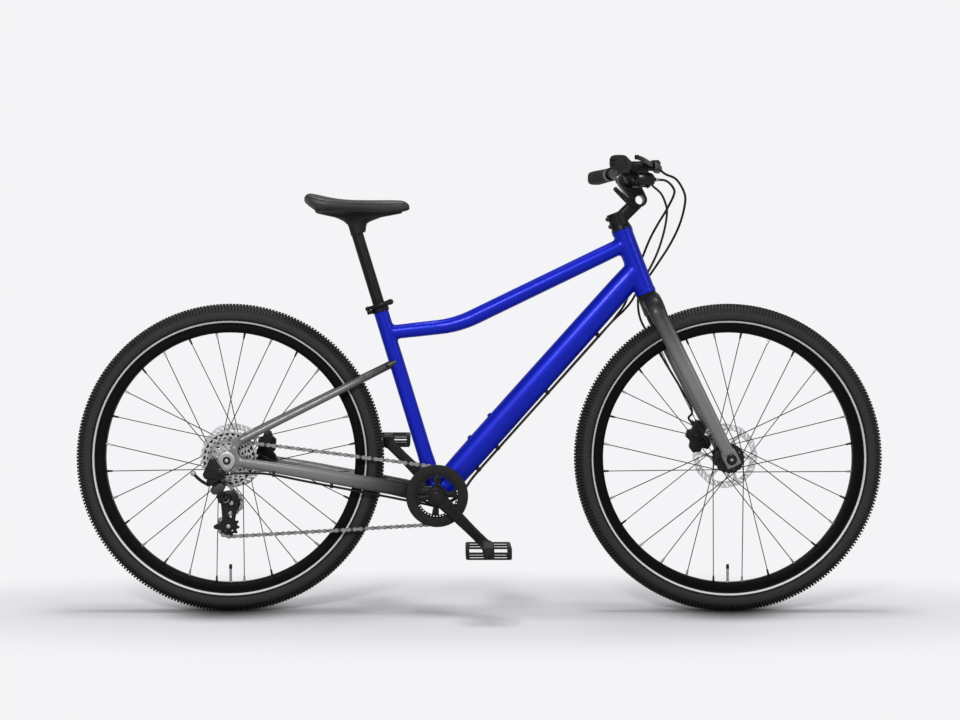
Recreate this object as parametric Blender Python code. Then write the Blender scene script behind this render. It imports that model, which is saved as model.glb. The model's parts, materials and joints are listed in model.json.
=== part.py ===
"""Kids mountain bike with disc brakes, an eight-speed cassette and a folding-angle stem.

Everything is in metres, with +X forward, +Y to the rider's left and +Z up. The origin is on the
ground, midway between the axles. The drive side is on the right, towards -Y.
"""

import math

import bmesh
import bpy
from mathutils import Matrix, Vector

# Clearances
GAP = 0.0003
RUN = 0.0004

# Driving dimensions of the whole bike
WHEELBASE = 1.067
TYRE_DIAMETER = 0.660
CHAINSTAY_LENGTH = 0.450
BOTTOM_BRACKET_DROP = 0.0777
HEAD_ANGLE = math.radians(69.2)
SEAT_ANGLE = math.radians(72.9)
FORK_RAKE = 0.039

# Frame tubes
HEAD_LOW = 0.3914
HEAD_LENGTH = 0.1465
HEAD_DIAMETER = 0.043
HEAD_LIP = 0.001
HEAD_BORE = 0.037
TUBE_WALL = 0.002
TOP_TUBE_SEAT_HEIGHT = 0.361
TOP_TUBE_HEAD_HEIGHT = 0.507
TOP_TUBE_BEND = Vector((-0.0467, 0.0, 0.6141))
TOP_TUBE_BEND_REACH = 0.040
TOP_TUBE_REAR = (0.030, 0.031)
TOP_TUBE_FRONT = (0.038, 0.0346)
DOWN_TUBE_HEAD_HEIGHT = 0.446
DOWN_TUBE_DEPTH = 0.0565
DOWN_TUBE_WIDTH = 0.046
DOWN_TUBE_HEAD_DEPTH = 0.050
DOWN_TUBE_TAPER = 0.090
SEAT_TUBE_DIAMETER = 0.0326
SEAT_TUBE_FOOT_DIAMETER = 0.036
SEAT_TUBE_LENGTH = 0.4214
SHELL_DIAMETER = 0.042
SHELL_WIDTH = 0.068
SHELL_BORE = 0.034
STAY_DIAMETER = 0.0165
BOSS_SPACING = 0.064
BOSS_FIRST = 0.1365
BOSS_DIAMETER = 0.012
BOSS_HEIGHT = 0.0035
CLIP_PLACES = (0.098, 0.160, 0.320, 0.4835)

# Dropouts and axles
DROPOUT_INNER = 0.0675
DROPOUT_THICKNESS = 0.006
DROPOUT_RADIUS = 0.017
AXLE_DIAMETER = 0.0118
HANGER_THICKNESS = 0.005
HANGER_PIVOT = Vector((-0.0133, 0.0, -0.0276))
FORK_DROPOUT_INNER = 0.0503
FORK_DROPOUT_OUTER = 0.060
FORK_DROPOUT_RADIUS = 0.0165

# Fork
CROWN_HEIGHT = 0.334
CROWN_SPREAD = 0.0465
CROWN_AHEAD = 0.005
CROWN_RISE = 0.040
STEERER_DIAMETER = 0.0286
STEERER_BORE = 0.023
RACE_DIAMETER = 0.041
RACE_SPIGOT = 0.036
BLADE_TOP = (0.026, 0.036)
BLADE_FOOT = (0.016, 0.026)

# Stem and cockpit
STEM_CLAMP_DIAMETER = 0.040
STEM_CLAMP_HEIGHT = 0.0391
STEM_CONE_DIAMETER = 0.045
STEM_CONE_HEIGHT = 0.0096
STEM_PIVOT_AHEAD = 0.0571
STEM_PIVOT_RISE = 0.0459
STEM_RING_DIAMETER = 0.031
STEM_RING_WIDTH = 0.038
STEM_SLEEVE_DIAMETER = 0.025
STEM_SLEEVE_BORE = 0.0196
STEM_ARM_WIDTH = 0.034
STEM_ARM_DEPTH = 0.029
CHEEK_THICKNESS = 0.0045
BAR_FROM_PIVOT = Vector((-0.025508, 0.0, 0.042318))
BAR_DIAMETER = 0.0222
BAR_BULGE_DIAMETER = 0.0318
BAR_CLAMP_DIAMETER = 0.041
GRIP_START = 0.175
GRIP_DIAMETER = 0.031
LEVER_PIN = 0.004
MOUNT_PLACE = 0.160
BELL_PLACE = 0.070
SHIFTER_PLACE = 0.110

# Wheels
TYRE_WIDTH = 0.0504
TYRE_HEIGHT = 0.0505
RIM_SEAT_DIAMETER = TYRE_DIAMETER - 2 * TYRE_HEIGHT
RIM_WIDTH = 0.027
RIM_FLANGE = 0.006
RIM_DEPTH = 0.0115
RIM_BED_DIAMETER = RIM_SEAT_DIAMETER - 2 * RIM_DEPTH
SPOKES = 28
SPOKE_THICKNESS = 0.0018
SPOKE_CIRCLE = 0.058
SPOKE_END_GAP = 0.00055
SPOKE_FIRST = math.radians(83.571)
SPOKE_LEAN = math.radians(77.14)
FLANGE_DIAMETER = 0.064
ROTOR_DIAMETER = 0.140
ROTOR_THICKNESS = 0.002
FRONT_ROTOR_PLACE = 0.0365
REAR_ROTOR_PLACE = 0.0528
WHEEL_STEPS = 32
ROUND = 16

# Drivetrain
CHAIN_PITCH = 0.0127
CHAIN_LINE = -0.0433
CHAIN_WIDTH = 0.0066
CHAIN_HEIGHT = 0.0078
CHAINRING_TEETH = 30
CASSETTE_TEETH = (30, 26, 23, 20, 17, 15, 13, 11)
CHOSEN_SPROCKET = 3
SPROCKET_STEP = 0.0048
SPROCKET_THICKNESS = 0.0018
PULLEY_TEETH = 11
CRANK_LENGTH = 0.150
CRANK_ANGLE = math.radians(-44.5)
SPINDLE_DIAMETER = 0.017
CRANK_INNER = 0.052
CRANK_THICKNESS = 0.014
PEDAL_AXLE_DIAMETER = 0.008
PEDAL_INNER = 0.084
PEDAL_WIDTH = 0.092
PEDAL_LENGTH = 0.095
PEDAL_THICKNESS = 0.026
GUARD_DIAMETER = 0.132
GUARD_BORE = 0.092

# Derailleur
LINK_ANGLE = math.radians(62.0)
LINK_LENGTH = 0.0359
LINK_PLACE = -0.066
KNUCKLE_RADIUS = 0.0125
CAGE_LENGTH = 0.050
GUIDE_PULLEY = Vector((-0.5266, 0.0, 0.2374))
TENSION_PULLEY_LEAN = math.radians(-97.3)
LINK_TOP = Vector((-0.560, LINK_PLACE, 0.2895))
CAGE_PIVOT = Vector((-0.5385, 0.0, 0.248))
LINK_DOWN = Vector((math.cos(LINK_ANGLE), 0.0, -math.sin(LINK_ANGLE)))
LINK_PIN = Vector((math.sin(LINK_ANGLE), 0.0, math.cos(LINK_ANGLE)))
LINK_FOOT = LINK_TOP + LINK_DOWN * LINK_LENGTH
PIN_RADIUS = 0.0025
LINK_NEAR = -0.011
LINK_FAR = 0.005
EAR_THICKNESS = 0.003

# Seat
POST_DIAMETER = 0.0254
POST_WALL = 0.002
POST_INSERTION = 0.150
POST_TOP = 0.590
COLLAR_LOW = 0.408
COLLAR_HEIGHT = 0.017
COLLAR_DIAMETER = 0.037
CLAMP_PIVOT = (-0.0245, -0.014)
SADDLE_RISE = 0.04078

LEFT = Vector((0.0, 1.0, 0.0))
UP = Vector((0.0, 0.0, 1.0))
FORWARD = Vector((1.0, 0.0, 0.0))
SIDES = (("right", -1), ("left", 1))

AXLE_HEIGHT = TYRE_DIAMETER / 2
REAR_AXLE = Vector((-WHEELBASE / 2, 0.0, AXLE_HEIGHT))
FRONT_AXLE = Vector((WHEELBASE / 2, 0.0, AXLE_HEIGHT))
REACH_BACK = math.sqrt(CHAINSTAY_LENGTH ** 2 - BOTTOM_BRACKET_DROP ** 2)
BOTTOM_BRACKET = REAR_AXLE + Vector((REACH_BACK, 0.0, -BOTTOM_BRACKET_DROP))
STEER_UP = Vector((-math.cos(HEAD_ANGLE), 0.0, math.sin(HEAD_ANGLE)))
STEER_AHEAD = Vector((math.sin(HEAD_ANGLE), 0.0, math.cos(HEAD_ANGLE)))
STEER_FOOT = FRONT_AXLE - STEER_AHEAD * FORK_RAKE
SEAT_UP = Vector((-math.cos(SEAT_ANGLE), 0.0, math.sin(SEAT_ANGLE)))
SEAT_AHEAD = Vector((math.sin(SEAT_ANGLE), 0.0, math.cos(SEAT_ANGLE)))
HEAD_TOP = HEAD_LOW + HEAD_LENGTH
STEM_PIVOT = STEER_FOOT + STEER_AHEAD * STEM_PIVOT_AHEAD + STEER_UP * (HEAD_TOP + STEM_PIVOT_RISE)
BAR_CENTRE = STEM_PIVOT + BAR_FROM_PIVOT
BAR_BEND = BAR_CENTRE + Vector((-0.0160, 0.137, 0.0226))
BAR_END = BAR_CENTRE + Vector((-0.0408, 0.285, 0.0205))
LEVER_PIVOT = BAR_CENTRE + Vector((0.0324, 0.148, 0.0220))
LEVER_TIP = BAR_CENTRE + Vector((-0.0076, 0.262, 0.0325))
SHIFTER_CENTRE = BAR_CENTRE + Vector((0.0271, -0.110, -0.0056))
SHIFTER_PIVOT = BAR_CENTRE + Vector((0.0324, -0.106, -0.0165))
SADDLE_FOOT = BOTTOM_BRACKET + SEAT_UP * POST_TOP
SADDLE_PARTING = SADDLE_FOOT.z + SADDLE_RISE
DROPOUT_OUTER = DROPOUT_INNER + DROPOUT_THICKNESS
CRANK_REACH = Vector((math.cos(CRANK_ANGLE), 0.0, math.sin(CRANK_ANGLE))) * CRANK_LENGTH

BODIES = {}


def steer(ahead, side, height):
    """Point given along and square to the steering axis."""
    return STEER_FOOT + STEER_AHEAD * ahead + LEFT * side + STEER_UP * height


def seat(ahead, side, height):
    """Point given along and square to the seat tube."""
    return BOTTOM_BRACKET + SEAT_AHEAD * ahead + LEFT * side + SEAT_UP * height


def moved_to(point, side):
    """The same place in the side view, at another distance to the left."""
    return Vector((point.x, side, point.z))


def mirrored(point, side):
    """A point of the left half, on the side asked for."""
    return Vector((point.x, point.y * side, point.z))


# Mesh tools

def finished(bm):
    bmesh.ops.recalc_face_normals(bm, faces=bm.faces)
    mesh = bpy.data.meshes.new("solid")
    bm.to_mesh(mesh)
    bm.free()
    return mesh


def loft(rings, closed=False):
    """Solid through rings of points, capped at both ends or running back to its first ring."""
    bm = bmesh.new()
    rows = [[bm.verts.new(point) for point in ring] for ring in rings]
    pairs = list(zip(rows, rows[1:]))
    if closed:
        pairs.append((rows[-1], rows[0]))
    for low, high in pairs:
        for index in range(len(low)):
            following = (index + 1) % len(low)
            bm.faces.new((low[index], low[following], high[following], high[index]))
    if not closed:
        bm.faces.new(list(reversed(rows[0])))
        bm.faces.new(rows[-1])
    return finished(bm)


def combined(first, second, operation):
    """Boolean of two meshes."""
    target = bpy.data.objects.new("target", first)
    tool = bpy.data.objects.new("tool", second)
    bpy.context.scene.collection.objects.link(target)
    bpy.context.scene.collection.objects.link(tool)
    boolean = target.modifiers.new("Boolean", "BOOLEAN")
    boolean.operation = operation
    boolean.solver = "EXACT"
    boolean.object = tool
    graph = bpy.context.evaluated_depsgraph_get()
    result = bpy.data.meshes.new_from_object(target.evaluated_get(graph))
    bpy.data.objects.remove(target)
    bpy.data.objects.remove(tool)
    return result


def cut(mesh, *tools):
    for tool in tools:
        mesh = combined(mesh, tool, "DIFFERENCE")
    return mesh


def fuse(mesh, *others):
    for other in others:
        mesh = combined(mesh, other, "UNION")
    return mesh


def turned(foot, axis, profile, count=ROUND, hollow=True):
    """Solid of revolution. The profile lists (distance along the axis, radius)."""
    axis = axis.normalized()
    hint = -UP if abs(axis.y) > 0.5 else LEFT
    side = (hint - axis * hint.dot(axis)).normalized()
    other = axis.cross(side)
    rings = []
    for along, radius in profile:
        ring = []
        for step in range(count):
            angle = 2 * math.pi * step / count
            ring.append(foot + axis * along + (side * math.cos(angle) + other * math.sin(angle)) * radius)
        rings.append(ring)
    return loft(rings, closed=hollow)


def rod(start, end, radius, count=ROUND):
    return turned(start, end - start, [(0.0, radius), ((end - start).length, radius)], count, hollow=False)


def cross_rod(place, near, far, radius, count=ROUND):
    """Rod across the bike, between two distances to the left."""
    return rod(moved_to(place, near), moved_to(place, far), radius, count)


def section(centre, across, up, width, depth, count, square):
    """Ring between an ellipse (square 2) and a rounded box (square 4 and more)."""
    ring = []
    for step in range(count):
        angle = 2 * math.pi * step / count
        x = math.copysign(abs(math.cos(angle)) ** (2 / square), math.cos(angle)) * width / 2
        y = math.copysign(abs(math.sin(angle)) ** (2 / square), math.sin(angle)) * depth / 2
        ring.append(centre + across * x + up * y)
    return ring


def swept(path, sizes, side, count=12, square=2.0, wall=0.0, ends=None):
    """Tube along a path. Each size is (width along the side vector, depth across it)."""
    outer = []
    inner = []
    for index, point in enumerate(path):
        before = point - path[max(index - 1, 0)]
        after = path[min(index + 1, len(path) - 1)] - point
        ahead = before.normalized() + after.normalized()
        if ends and index in (0, len(path) - 1):
            ahead = ends[0] if index == 0 else ends[1]
        ahead.normalize()
        across = (side - ahead * side.dot(ahead)).normalized()
        up = ahead.cross(across)
        width, depth = sizes[index]
        outer.append(section(point, across, up, width, depth, count, square))
        if wall:
            inner.append(section(point, across, up, width - 2 * wall, depth - 2 * wall, count, square))
    if wall:
        return loft(outer + inner[::-1], closed=True)
    return loft(outer)


def plate(outline, near, far):
    """Flat piece with an outline of (x, z) points, between two distances to the left."""
    return loft([[Vector((x, near, z)) for x, z in outline], [Vector((x, far, z)) for x, z in outline]])


def box(low, high):
    corners = ((low.x, low.z), (high.x, low.z), (high.x, high.z), (low.x, high.z))
    return plate(corners, low.y, high.y)


def beam(start, end, width, depth, side=LEFT):
    """Straight square bar: width along the side vector, depth across it."""
    ahead = (end - start).normalized()
    across = (side - ahead * side.dot(ahead)).normalized() * (width / 2)
    up = ahead.cross(across).normalized() * (depth / 2)
    return loft([[point - across - up, point + across - up, point + across + up, point - across + up]
                 for point in (start, end)])


def arc(centre, radius, start, end, steps):
    """Points (x, z) along an arc in the side view, with angles in degrees."""
    points = []
    for step in range(steps + 1):
        angle = math.radians(start + (end - start) * step / steps)
        points.append((centre.x + radius * math.cos(angle), centre.z + radius * math.sin(angle)))
    return points


def hull(circles, count=16):
    """Outline of (x, z) points stretched round circles of (centre, radius)."""
    points = []
    for centre, radius in circles:
        points += arc(centre, radius, 0, 360 - 360 / count, count - 1)
    points = sorted(set(points))

    def chain(ordered):
        line = []
        for point in ordered:
            while len(line) > 1:
                (ax, az), (bx, bz) = line[-2], line[-1]
                if (bx - ax) * (point[1] - az) - (bz - az) * (point[0] - ax) > 1e-12:
                    break
                line.pop()
            line.append(point)
        return line[:-1]

    return chain(points) + chain(points[::-1])


def cells(columns, rows, filled, low, high, place, wrap=False):
    """Plate made of the filled cells of a grid. place(column, row, level) gives each point."""
    bm = bmesh.new()
    known = {}

    def vertex(i, j, level):
        if wrap:
            j %= len(rows)
        key = (i, j, level)
        if key not in known:
            known[key] = bm.verts.new(place(columns[i], rows[j], level))
        return known[key]

    across = len(columns) - 1
    along = len(rows) if wrap else len(rows) - 1

    def solid(i, j):
        if wrap:
            j %= along
        return 0 <= i < across and 0 <= j < along and filled(i, j)

    for i in range(across):
        for j in range(along):
            if not solid(i, j):
                continue
            corners = ((i, j), (i + 1, j), (i + 1, j + 1), (i, j + 1))
            bm.faces.new([vertex(a, b, low) for a, b in corners])
            bm.faces.new([vertex(a, b, high) for a, b in reversed(corners)])
            neighbours = ((i, j - 1), (i + 1, j), (i, j + 1), (i - 1, j))
            for side, neighbour in enumerate(neighbours):
                if not solid(*neighbour):
                    first = corners[side]
                    second = corners[(side + 1) % 4]
                    upper = (vertex(*second, high), vertex(*first, high))
                    bm.faces.new((vertex(*first, low), vertex(*second, low), *upper))
    return finished(bm)


def ring_plate(centre, radii, count, filled, near, far):
    """Flat ring in the side view, made of the filled cells between its radii."""
    def place(radius, angle, level):
        return Vector((centre.x + radius * math.sin(angle), level, centre.z - radius * math.cos(angle)))

    angles = [2 * math.pi * step / count for step in range(count)]
    return cells(radii, angles, filled, near, far, place, wrap=True)


def rounded(points, reach, steps=3):
    """Path with its inner corners drawn as short curves."""
    path = [points[0]]
    for before, corner, after in zip(points, points[1:], points[2:]):
        start = corner + (before - corner).normalized() * reach
        end = corner + (after - corner).normalized() * reach
        for step in range(steps + 1):
            t = step / steps
            path.append(start * (1 - t) ** 2 + corner * (2 * t * (1 - t)) + end * t ** 2)
    path.append(points[-1])
    return path


def smooth(points, steps):
    """Curve through all points."""
    ends = [points[0] * 2 - points[1], *points, points[-1] * 2 - points[-2]]
    route = []
    for a, b, c, d in zip(ends, ends[1:], ends[2:], ends[3:]):
        for step in range(steps):
            t = step / steps
            bend = (a * 2 - b * 5 + c * 4 - d) * t ** 2 + (b * 3 - a - c * 3 + d) * t ** 3
            route.append((b * 2 + (c - a) * t + bend) * 0.5)
    route.append(points[-1])
    return route


def spread(first, last, steps):
    """Sizes that change evenly from the first pair to the last."""
    return [tuple(a + (b - a) * step / (steps - 1) for a, b in zip(first, last)) for step in range(steps)]


# Materials and objects

def material(name, colour, roughness, metallic=0.0):
    made = bpy.data.materials.new(name)
    made.use_nodes = True
    shader = made.node_tree.nodes["Principled BSDF"]
    shader.inputs["Base Color"].default_value = (*colour, 1.0)
    shader.inputs["Roughness"].default_value = roughness
    shader.inputs["Metallic"].default_value = metallic
    return made


def body(name, place, parent=None):
    """Empty on a joint's axis, which carries the pieces of one moving body."""
    empty = bpy.data.objects.new(name + "_body", None)
    bpy.context.scene.collection.objects.link(empty)
    start = Vector((0.0, 0.0, 0.0))
    if parent:
        empty.parent, start = BODIES[parent]
    empty.location = place - start
    BODIES[name] = (empty, place)


def carried(name, data, finish, carrier):
    thing = bpy.data.objects.new(name, data)
    bpy.context.scene.collection.objects.link(thing)
    thing.parent = BODIES[carrier][0]
    data.name = name
    data.materials.clear()
    data.materials.append(finish)
    return thing


def add(name, mesh, finish, carrier):
    mesh.transform(Matrix.Translation(-BODIES[carrier][1]))
    mesh.shade_smooth()
    mesh.set_sharp_from_angle(angle=math.radians(32))
    return carried(name, mesh, finish, carrier)


def hose(name, upper, lower, radius, finish, carrier):
    """Round cord through points, with a finer curve along its upper stretch."""
    route = smooth([Vector(point) for point in upper], 2)[:-1] + [Vector(point) for point in lower]
    curve = bpy.data.curves.new(name, "CURVE")
    curve.dimensions = "3D"
    curve.resolution_u = 1
    curve.render_resolution_u = 0
    curve.bevel_depth = radius
    curve.bevel_resolution = 2
    curve.use_fill_caps = True
    spline = curve.splines.new("POLY")
    spline.points.add(len(route) - 1)
    for point, place in zip(spline.points, route):
        point.co = (*(place - BODIES[carrier][1]), 1.0)
    length = sum((b - a).length for a, b in zip(route, route[1:]))
    print(f"{name} is {length:.3f} m long")
    return carried(name, curve, finish, carrier)


# Frame

def head_outline(grow=0.0):
    plain = HEAD_DIAMETER / 2 + grow
    lip = plain + HEAD_LIP
    return [(HEAD_LOW - grow, lip), (HEAD_LOW + 0.008, lip), (HEAD_LOW + 0.013, plain),
            (HEAD_TOP - 0.013, plain), (HEAD_TOP - 0.008, lip), (HEAD_TOP + grow, lip)]


def head_tube():
    bore = [(HEAD_TOP, HEAD_BORE / 2), (HEAD_LOW, HEAD_BORE / 2)]
    return turned(STEER_FOOT, STEER_UP, head_outline() + bore)


def head_blank():
    return turned(STEER_FOOT, STEER_UP, head_outline(GAP), hollow=False)


def seat_tube_outline(grow=0.0):
    plain = SEAT_TUBE_DIAMETER / 2 + grow
    foot = SEAT_TUBE_FOOT_DIAMETER / 2 + grow
    return [(0.0, foot), (0.050, foot), (0.090, plain), (SEAT_TUBE_LENGTH + grow, plain)]


def seat_blank():
    return turned(BOTTOM_BRACKET, SEAT_UP, seat_tube_outline(GAP), hollow=False)


def shell_blank():
    return cross_rod(BOTTOM_BRACKET, -SHELL_WIDTH, SHELL_WIDTH, SHELL_DIAMETER / 2 + GAP)


def seat_tube():
    bore = POST_DIAMETER / 2 + GAP
    profile = seat_tube_outline() + [(SEAT_TUBE_LENGTH, bore), (0.0, bore)]
    return cut(turned(BOTTOM_BRACKET, SEAT_UP, profile), shell_blank())


def bottom_bracket_shell():
    half = SHELL_WIDTH / 2
    radius = SHELL_DIAMETER / 2
    seat_radius = SPINDLE_DIAMETER / 2 + RUN
    cup = half - 0.008
    profile = [(-half, seat_radius), (-half, radius), (half, radius), (half, seat_radius),
               (cup, seat_radius), (cup, SHELL_BORE / 2), (-cup, SHELL_BORE / 2), (-cup, seat_radius)]
    return turned(BOTTOM_BRACKET, LEFT, profile)


def top_tube():
    rear = seat(0.0, 0.0, TOP_TUBE_SEAT_HEIGHT)
    front = steer(0.0, 0.0, TOP_TUBE_HEAD_HEIGHT)
    path = rounded([rear, TOP_TUBE_BEND, front], TOP_TUBE_BEND_REACH)
    sizes = spread(TOP_TUBE_REAR, TOP_TUBE_FRONT, len(path))
    tube = swept(path, sizes, LEFT, 12, 2.2, TUBE_WALL)
    return cut(tube, seat_blank(), head_blank())


def down_tube_place(along, below, side=0.0):
    """Point beside the down tube's centre line, given from the bottom bracket."""
    line = (steer(0.0, 0.0, DOWN_TUBE_HEAD_HEIGHT) - BOTTOM_BRACKET).normalized()
    return BOTTOM_BRACKET + line * along + LEFT.cross(line) * below + LEFT * side


def down_tube():
    length = (steer(0.0, 0.0, DOWN_TUBE_HEAD_HEIGHT) - BOTTOM_BRACKET).length
    places = (0.0, DOWN_TUBE_TAPER, length - DOWN_TUBE_TAPER, length)
    sizes = ((DOWN_TUBE_WIDTH, SHELL_DIAMETER), (DOWN_TUBE_WIDTH, DOWN_TUBE_DEPTH),
             (DOWN_TUBE_WIDTH, DOWN_TUBE_DEPTH - 0.002), (DOWN_TUBE_WIDTH - 0.004, DOWN_TUBE_HEAD_DEPTH))
    path = [down_tube_place(place, 0.0) for place in places]
    tube = swept(path, sizes, LEFT, 12, 2.3, TUBE_WALL)
    tube = cut(tube, shell_blank(), seat_blank(), head_blank())
    surface = DOWN_TUBE_DEPTH / 2
    for place in (BOSS_FIRST, BOSS_FIRST + BOSS_SPACING):
        foot = down_tube_place(place, 0.001 - surface)
        head = down_tube_place(place, -surface - BOSS_HEIGHT)
        tube = fuse(tube, rod(foot, head, BOSS_DIAMETER / 2, 10))
    for place in CLIP_PLACES:
        foot = down_tube_place(place, surface - 0.0018)
        clip = beam(foot, down_tube_place(place, surface + 0.0004), 0.014, 0.008)
        tube = fuse(tube, clip)
    return tube


def chainstay_blank(side, grow=0.0):
    places = ((-0.098, 0.022, 0.2565), (-0.124, 0.024, 0.258), (-0.158, 0.030, 0.264),
              (-0.215, 0.0405, 0.2747), (-0.300, 0.051, 0.290), (-0.380, 0.0605, 0.305),
              (-0.508, 0.070, 0.326))
    sizes = ((0.017, 0.030), (0.017, 0.030), (0.017, 0.032), (0.0165, 0.031), (0.015, 0.0285),
             (0.0135, 0.026), (0.010, 0.020))
    path = [Vector((x, y * side, z)) for x, y, z in places]
    path[-1] += (path[-1] - path[-2]).normalized() * grow
    grown = [(width + 2 * grow, depth + 2 * grow) for width, depth in sizes]
    return swept(path, grown, LEFT, 8, 2.4)


def seatstay_blank(side, grow=0.0):
    rise = math.tan(math.radians(26.6))
    places = ((-0.176, 0.0087), (-0.200, 0.0102), (-0.222, 0.0165), (-0.245, 0.029),
              (-0.265, 0.038), (-0.380, 0.0523), (-0.5064, 0.068))
    path = [Vector((x, y * side, 0.3712 + (x + 0.5064) * rise)) for x, y in places]
    path[-1] += (path[-1] - path[-2]).normalized() * grow
    size = STAY_DIAMETER + 2 * grow
    return swept(path, [(size, size)] * len(path), LEFT, 10)


def dropout_outline():
    """Plate round the axle, with a window between the stays."""
    low = [(0.020, -0.0135), (0.034, -0.013), (0.034, 0.004)]
    window = [(0.0275, 0.0085), (0.0240, 0.0145), (0.0227, 0.021), (0.0245, 0.028), (0.033, 0.036)]
    top = [(0.034, 0.047), (0.024, 0.050), (0.015, 0.044)]
    return low + window + top


def chainstay(side):
    outline = [(REAR_AXLE.x + x, REAR_AXLE.z + z) for x, z in dropout_outline()]
    outline += arc(REAR_AXLE, DROPOUT_RADIUS, 75, 290, 6)
    near, far = sorted((side * DROPOUT_INNER, side * DROPOUT_OUTER))
    stay = fuse(chainstay_blank(side), plate(outline, near, far))
    hole = cross_rod(REAR_AXLE, side * 0.060, side * 0.090, AXLE_DIAMETER / 2 + GAP, 12)
    return cut(stay, hole, shell_blank(), seat_blank(), seatstay_blank(side, GAP))


def seatstay(side):
    return cut(seatstay_blank(side), seat_blank())


def derailleur_hanger():
    pivot = REAR_AXLE + HANGER_PIVOT
    near = -DROPOUT_OUTER - GAP
    blade = plate(hull([(REAR_AXLE, 0.020), (pivot, 0.009)], 14), near - HANGER_THICKNESS, near)
    axle_hole = cross_rod(REAR_AXLE, -0.1, -0.06, 0.008 + GAP)
    pivot_hole = cross_rod(pivot, -0.1, -0.06, 0.004 + RUN, 12)
    return cut(blade, axle_hole, pivot_hole)


def axle(centre, right, left):
    """Through axle with a head at each end. Each side is (dropout face, head end, head radius)."""
    shaft = AXLE_DIAMETER / 2
    profile = [(-right[1], right[2]), (-right[0] - GAP, right[2]), (-right[0] - GAP, shaft),
               (left[0] + GAP, shaft), (left[0] + GAP, left[2]), (left[1], left[2])]
    return turned(centre, LEFT, profile, 12, hollow=False)


def frame_pieces(blue, grey, silver, black):
    add("head_tube", head_tube(), blue, "frame")
    add("top_tube", top_tube(), blue, "frame")
    add("down_tube", down_tube(), blue, "frame")
    add("seat_tube", seat_tube(), blue, "frame")
    add("bottom_bracket_shell", bottom_bracket_shell(), blue, "frame")
    for name, side in SIDES:
        add("chainstay_" + name, chainstay(side), grey, "frame")
        add("seatstay_" + name, seatstay(side), grey, "frame")
    add("derailleur_hanger", derailleur_hanger(), silver, "frame")
    right = (DROPOUT_OUTER, 0.082, 0.008)
    left = (DROPOUT_OUTER, 0.080, 0.010)
    add("rear_axle", axle(REAR_AXLE, right, left), black, "frame")


# Fork

def fork_steerer():
    low = HEAD_LOW - GAP
    spigot = RACE_SPIGOT / 2
    shaft = STEERER_DIAMETER / 2
    top = HEAD_TOP + STEM_CLAMP_HEIGHT - 0.004
    profile = [(low - 0.020, RACE_DIAMETER / 2), (low, RACE_DIAMETER / 2), (low, spigot),
               (low + 0.006, spigot), (low + 0.010, shaft), (top, shaft)]
    column = turned(STEER_FOOT, STEER_UP, profile, hollow=False)
    arch = [(CROWN_SPREAD, 0.0), (CROWN_SPREAD - 0.003, 0.014), (CROWN_SPREAD - 0.011, 0.027),
            (CROWN_SPREAD - 0.026, 0.036), (0.0, CROWN_RISE)]
    arch += [(-side, rise) for side, rise in arch[-2::-1]]
    path = [steer(CROWN_AHEAD, side, CROWN_HEIGHT + rise) for side, rise in arch]
    half = spread((BLADE_TOP[1], BLADE_TOP[0]), (0.042, 0.036), 5)
    crown = swept(path, half + half[-2::-1], STEER_AHEAD, 10, 2.4, ends=(STEER_UP, -STEER_UP))
    fork = fuse(crown, column)
    bore = rod(steer(0.0, 0.0, CROWN_HEIGHT), steer(0.0, 0.0, top + 0.01), STEERER_BORE / 2)
    return cut(fork, bore)


def blade_path(side):
    """Centre line of a fork blade, from the crown to just above the axle."""
    foot_side = (FORK_DROPOUT_INNER + FORK_DROPOUT_OUTER) / 2
    slope = (FORK_RAKE - CROWN_AHEAD) / CROWN_HEIGHT
    path = []
    for height, spread_out in ((CROWN_HEIGHT - GAP, 0.0), (0.290, 0.4), (0.160, 0.75), (0.012, 1.0)):
        ahead = FORK_RAKE - slope * height
        across = CROWN_SPREAD + (foot_side - CROWN_SPREAD) * spread_out
        path.append(steer(ahead, across * side, height))
    return path


def blade_blank(side, grow=0.0):
    sizes = (BLADE_TOP, (0.0235, 0.0345), (0.021, 0.031), BLADE_FOOT)
    grown = [(width + 2 * grow, depth + 2 * grow) for width, depth in sizes]
    down = blade_path(side)
    return swept(down, grown, LEFT, 12, 2.4, ends=(-STEER_UP, (down[3] - down[2]).normalized()))


def fork_blade(side):
    near, far = sorted((side * FORK_DROPOUT_INNER, side * FORK_DROPOUT_OUTER))
    lug = cross_rod(FRONT_AXLE, near, far, FORK_DROPOUT_RADIUS, 20)
    hole = cross_rod(FRONT_AXLE, near - 0.02, far + 0.02, AXLE_DIAMETER / 2 + GAP, 12)
    return cut(fuse(blade_blank(side), lug), hole)


def stem_base():
    low = HEAD_TOP + GAP
    clamp = STEM_CLAMP_DIAMETER / 2
    top = HEAD_TOP + STEM_CLAMP_HEIGHT
    profile = [(low, STEM_CONE_DIAMETER / 2), (HEAD_TOP + STEM_CONE_HEIGHT, clamp), (top, clamp)]
    column = turned(STEER_FOOT, STEER_UP, profile, hollow=False)
    path = [steer(0.004, 0.0, HEAD_TOP + 0.0225), STEM_PIVOT]
    arm = swept(path, [(STEM_ARM_WIDTH, STEM_ARM_DEPTH)] * 2, LEFT, 12, 4.0)
    half = STEM_RING_WIDTH / 2
    ring = cross_rod(STEM_PIVOT, -half, half, STEM_RING_DIAMETER / 2)
    base = fuse(column, arm, ring)
    bore = rod(steer(0.0, 0.0, low - 0.01), steer(0.0, 0.0, top - 0.0037), STEERER_DIAMETER / 2 + GAP)
    hinge = cross_rod(STEM_PIVOT, -0.05, 0.05, STEM_SLEEVE_DIAMETER / 2 + RUN)
    return cut(base, bore, hinge)


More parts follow.
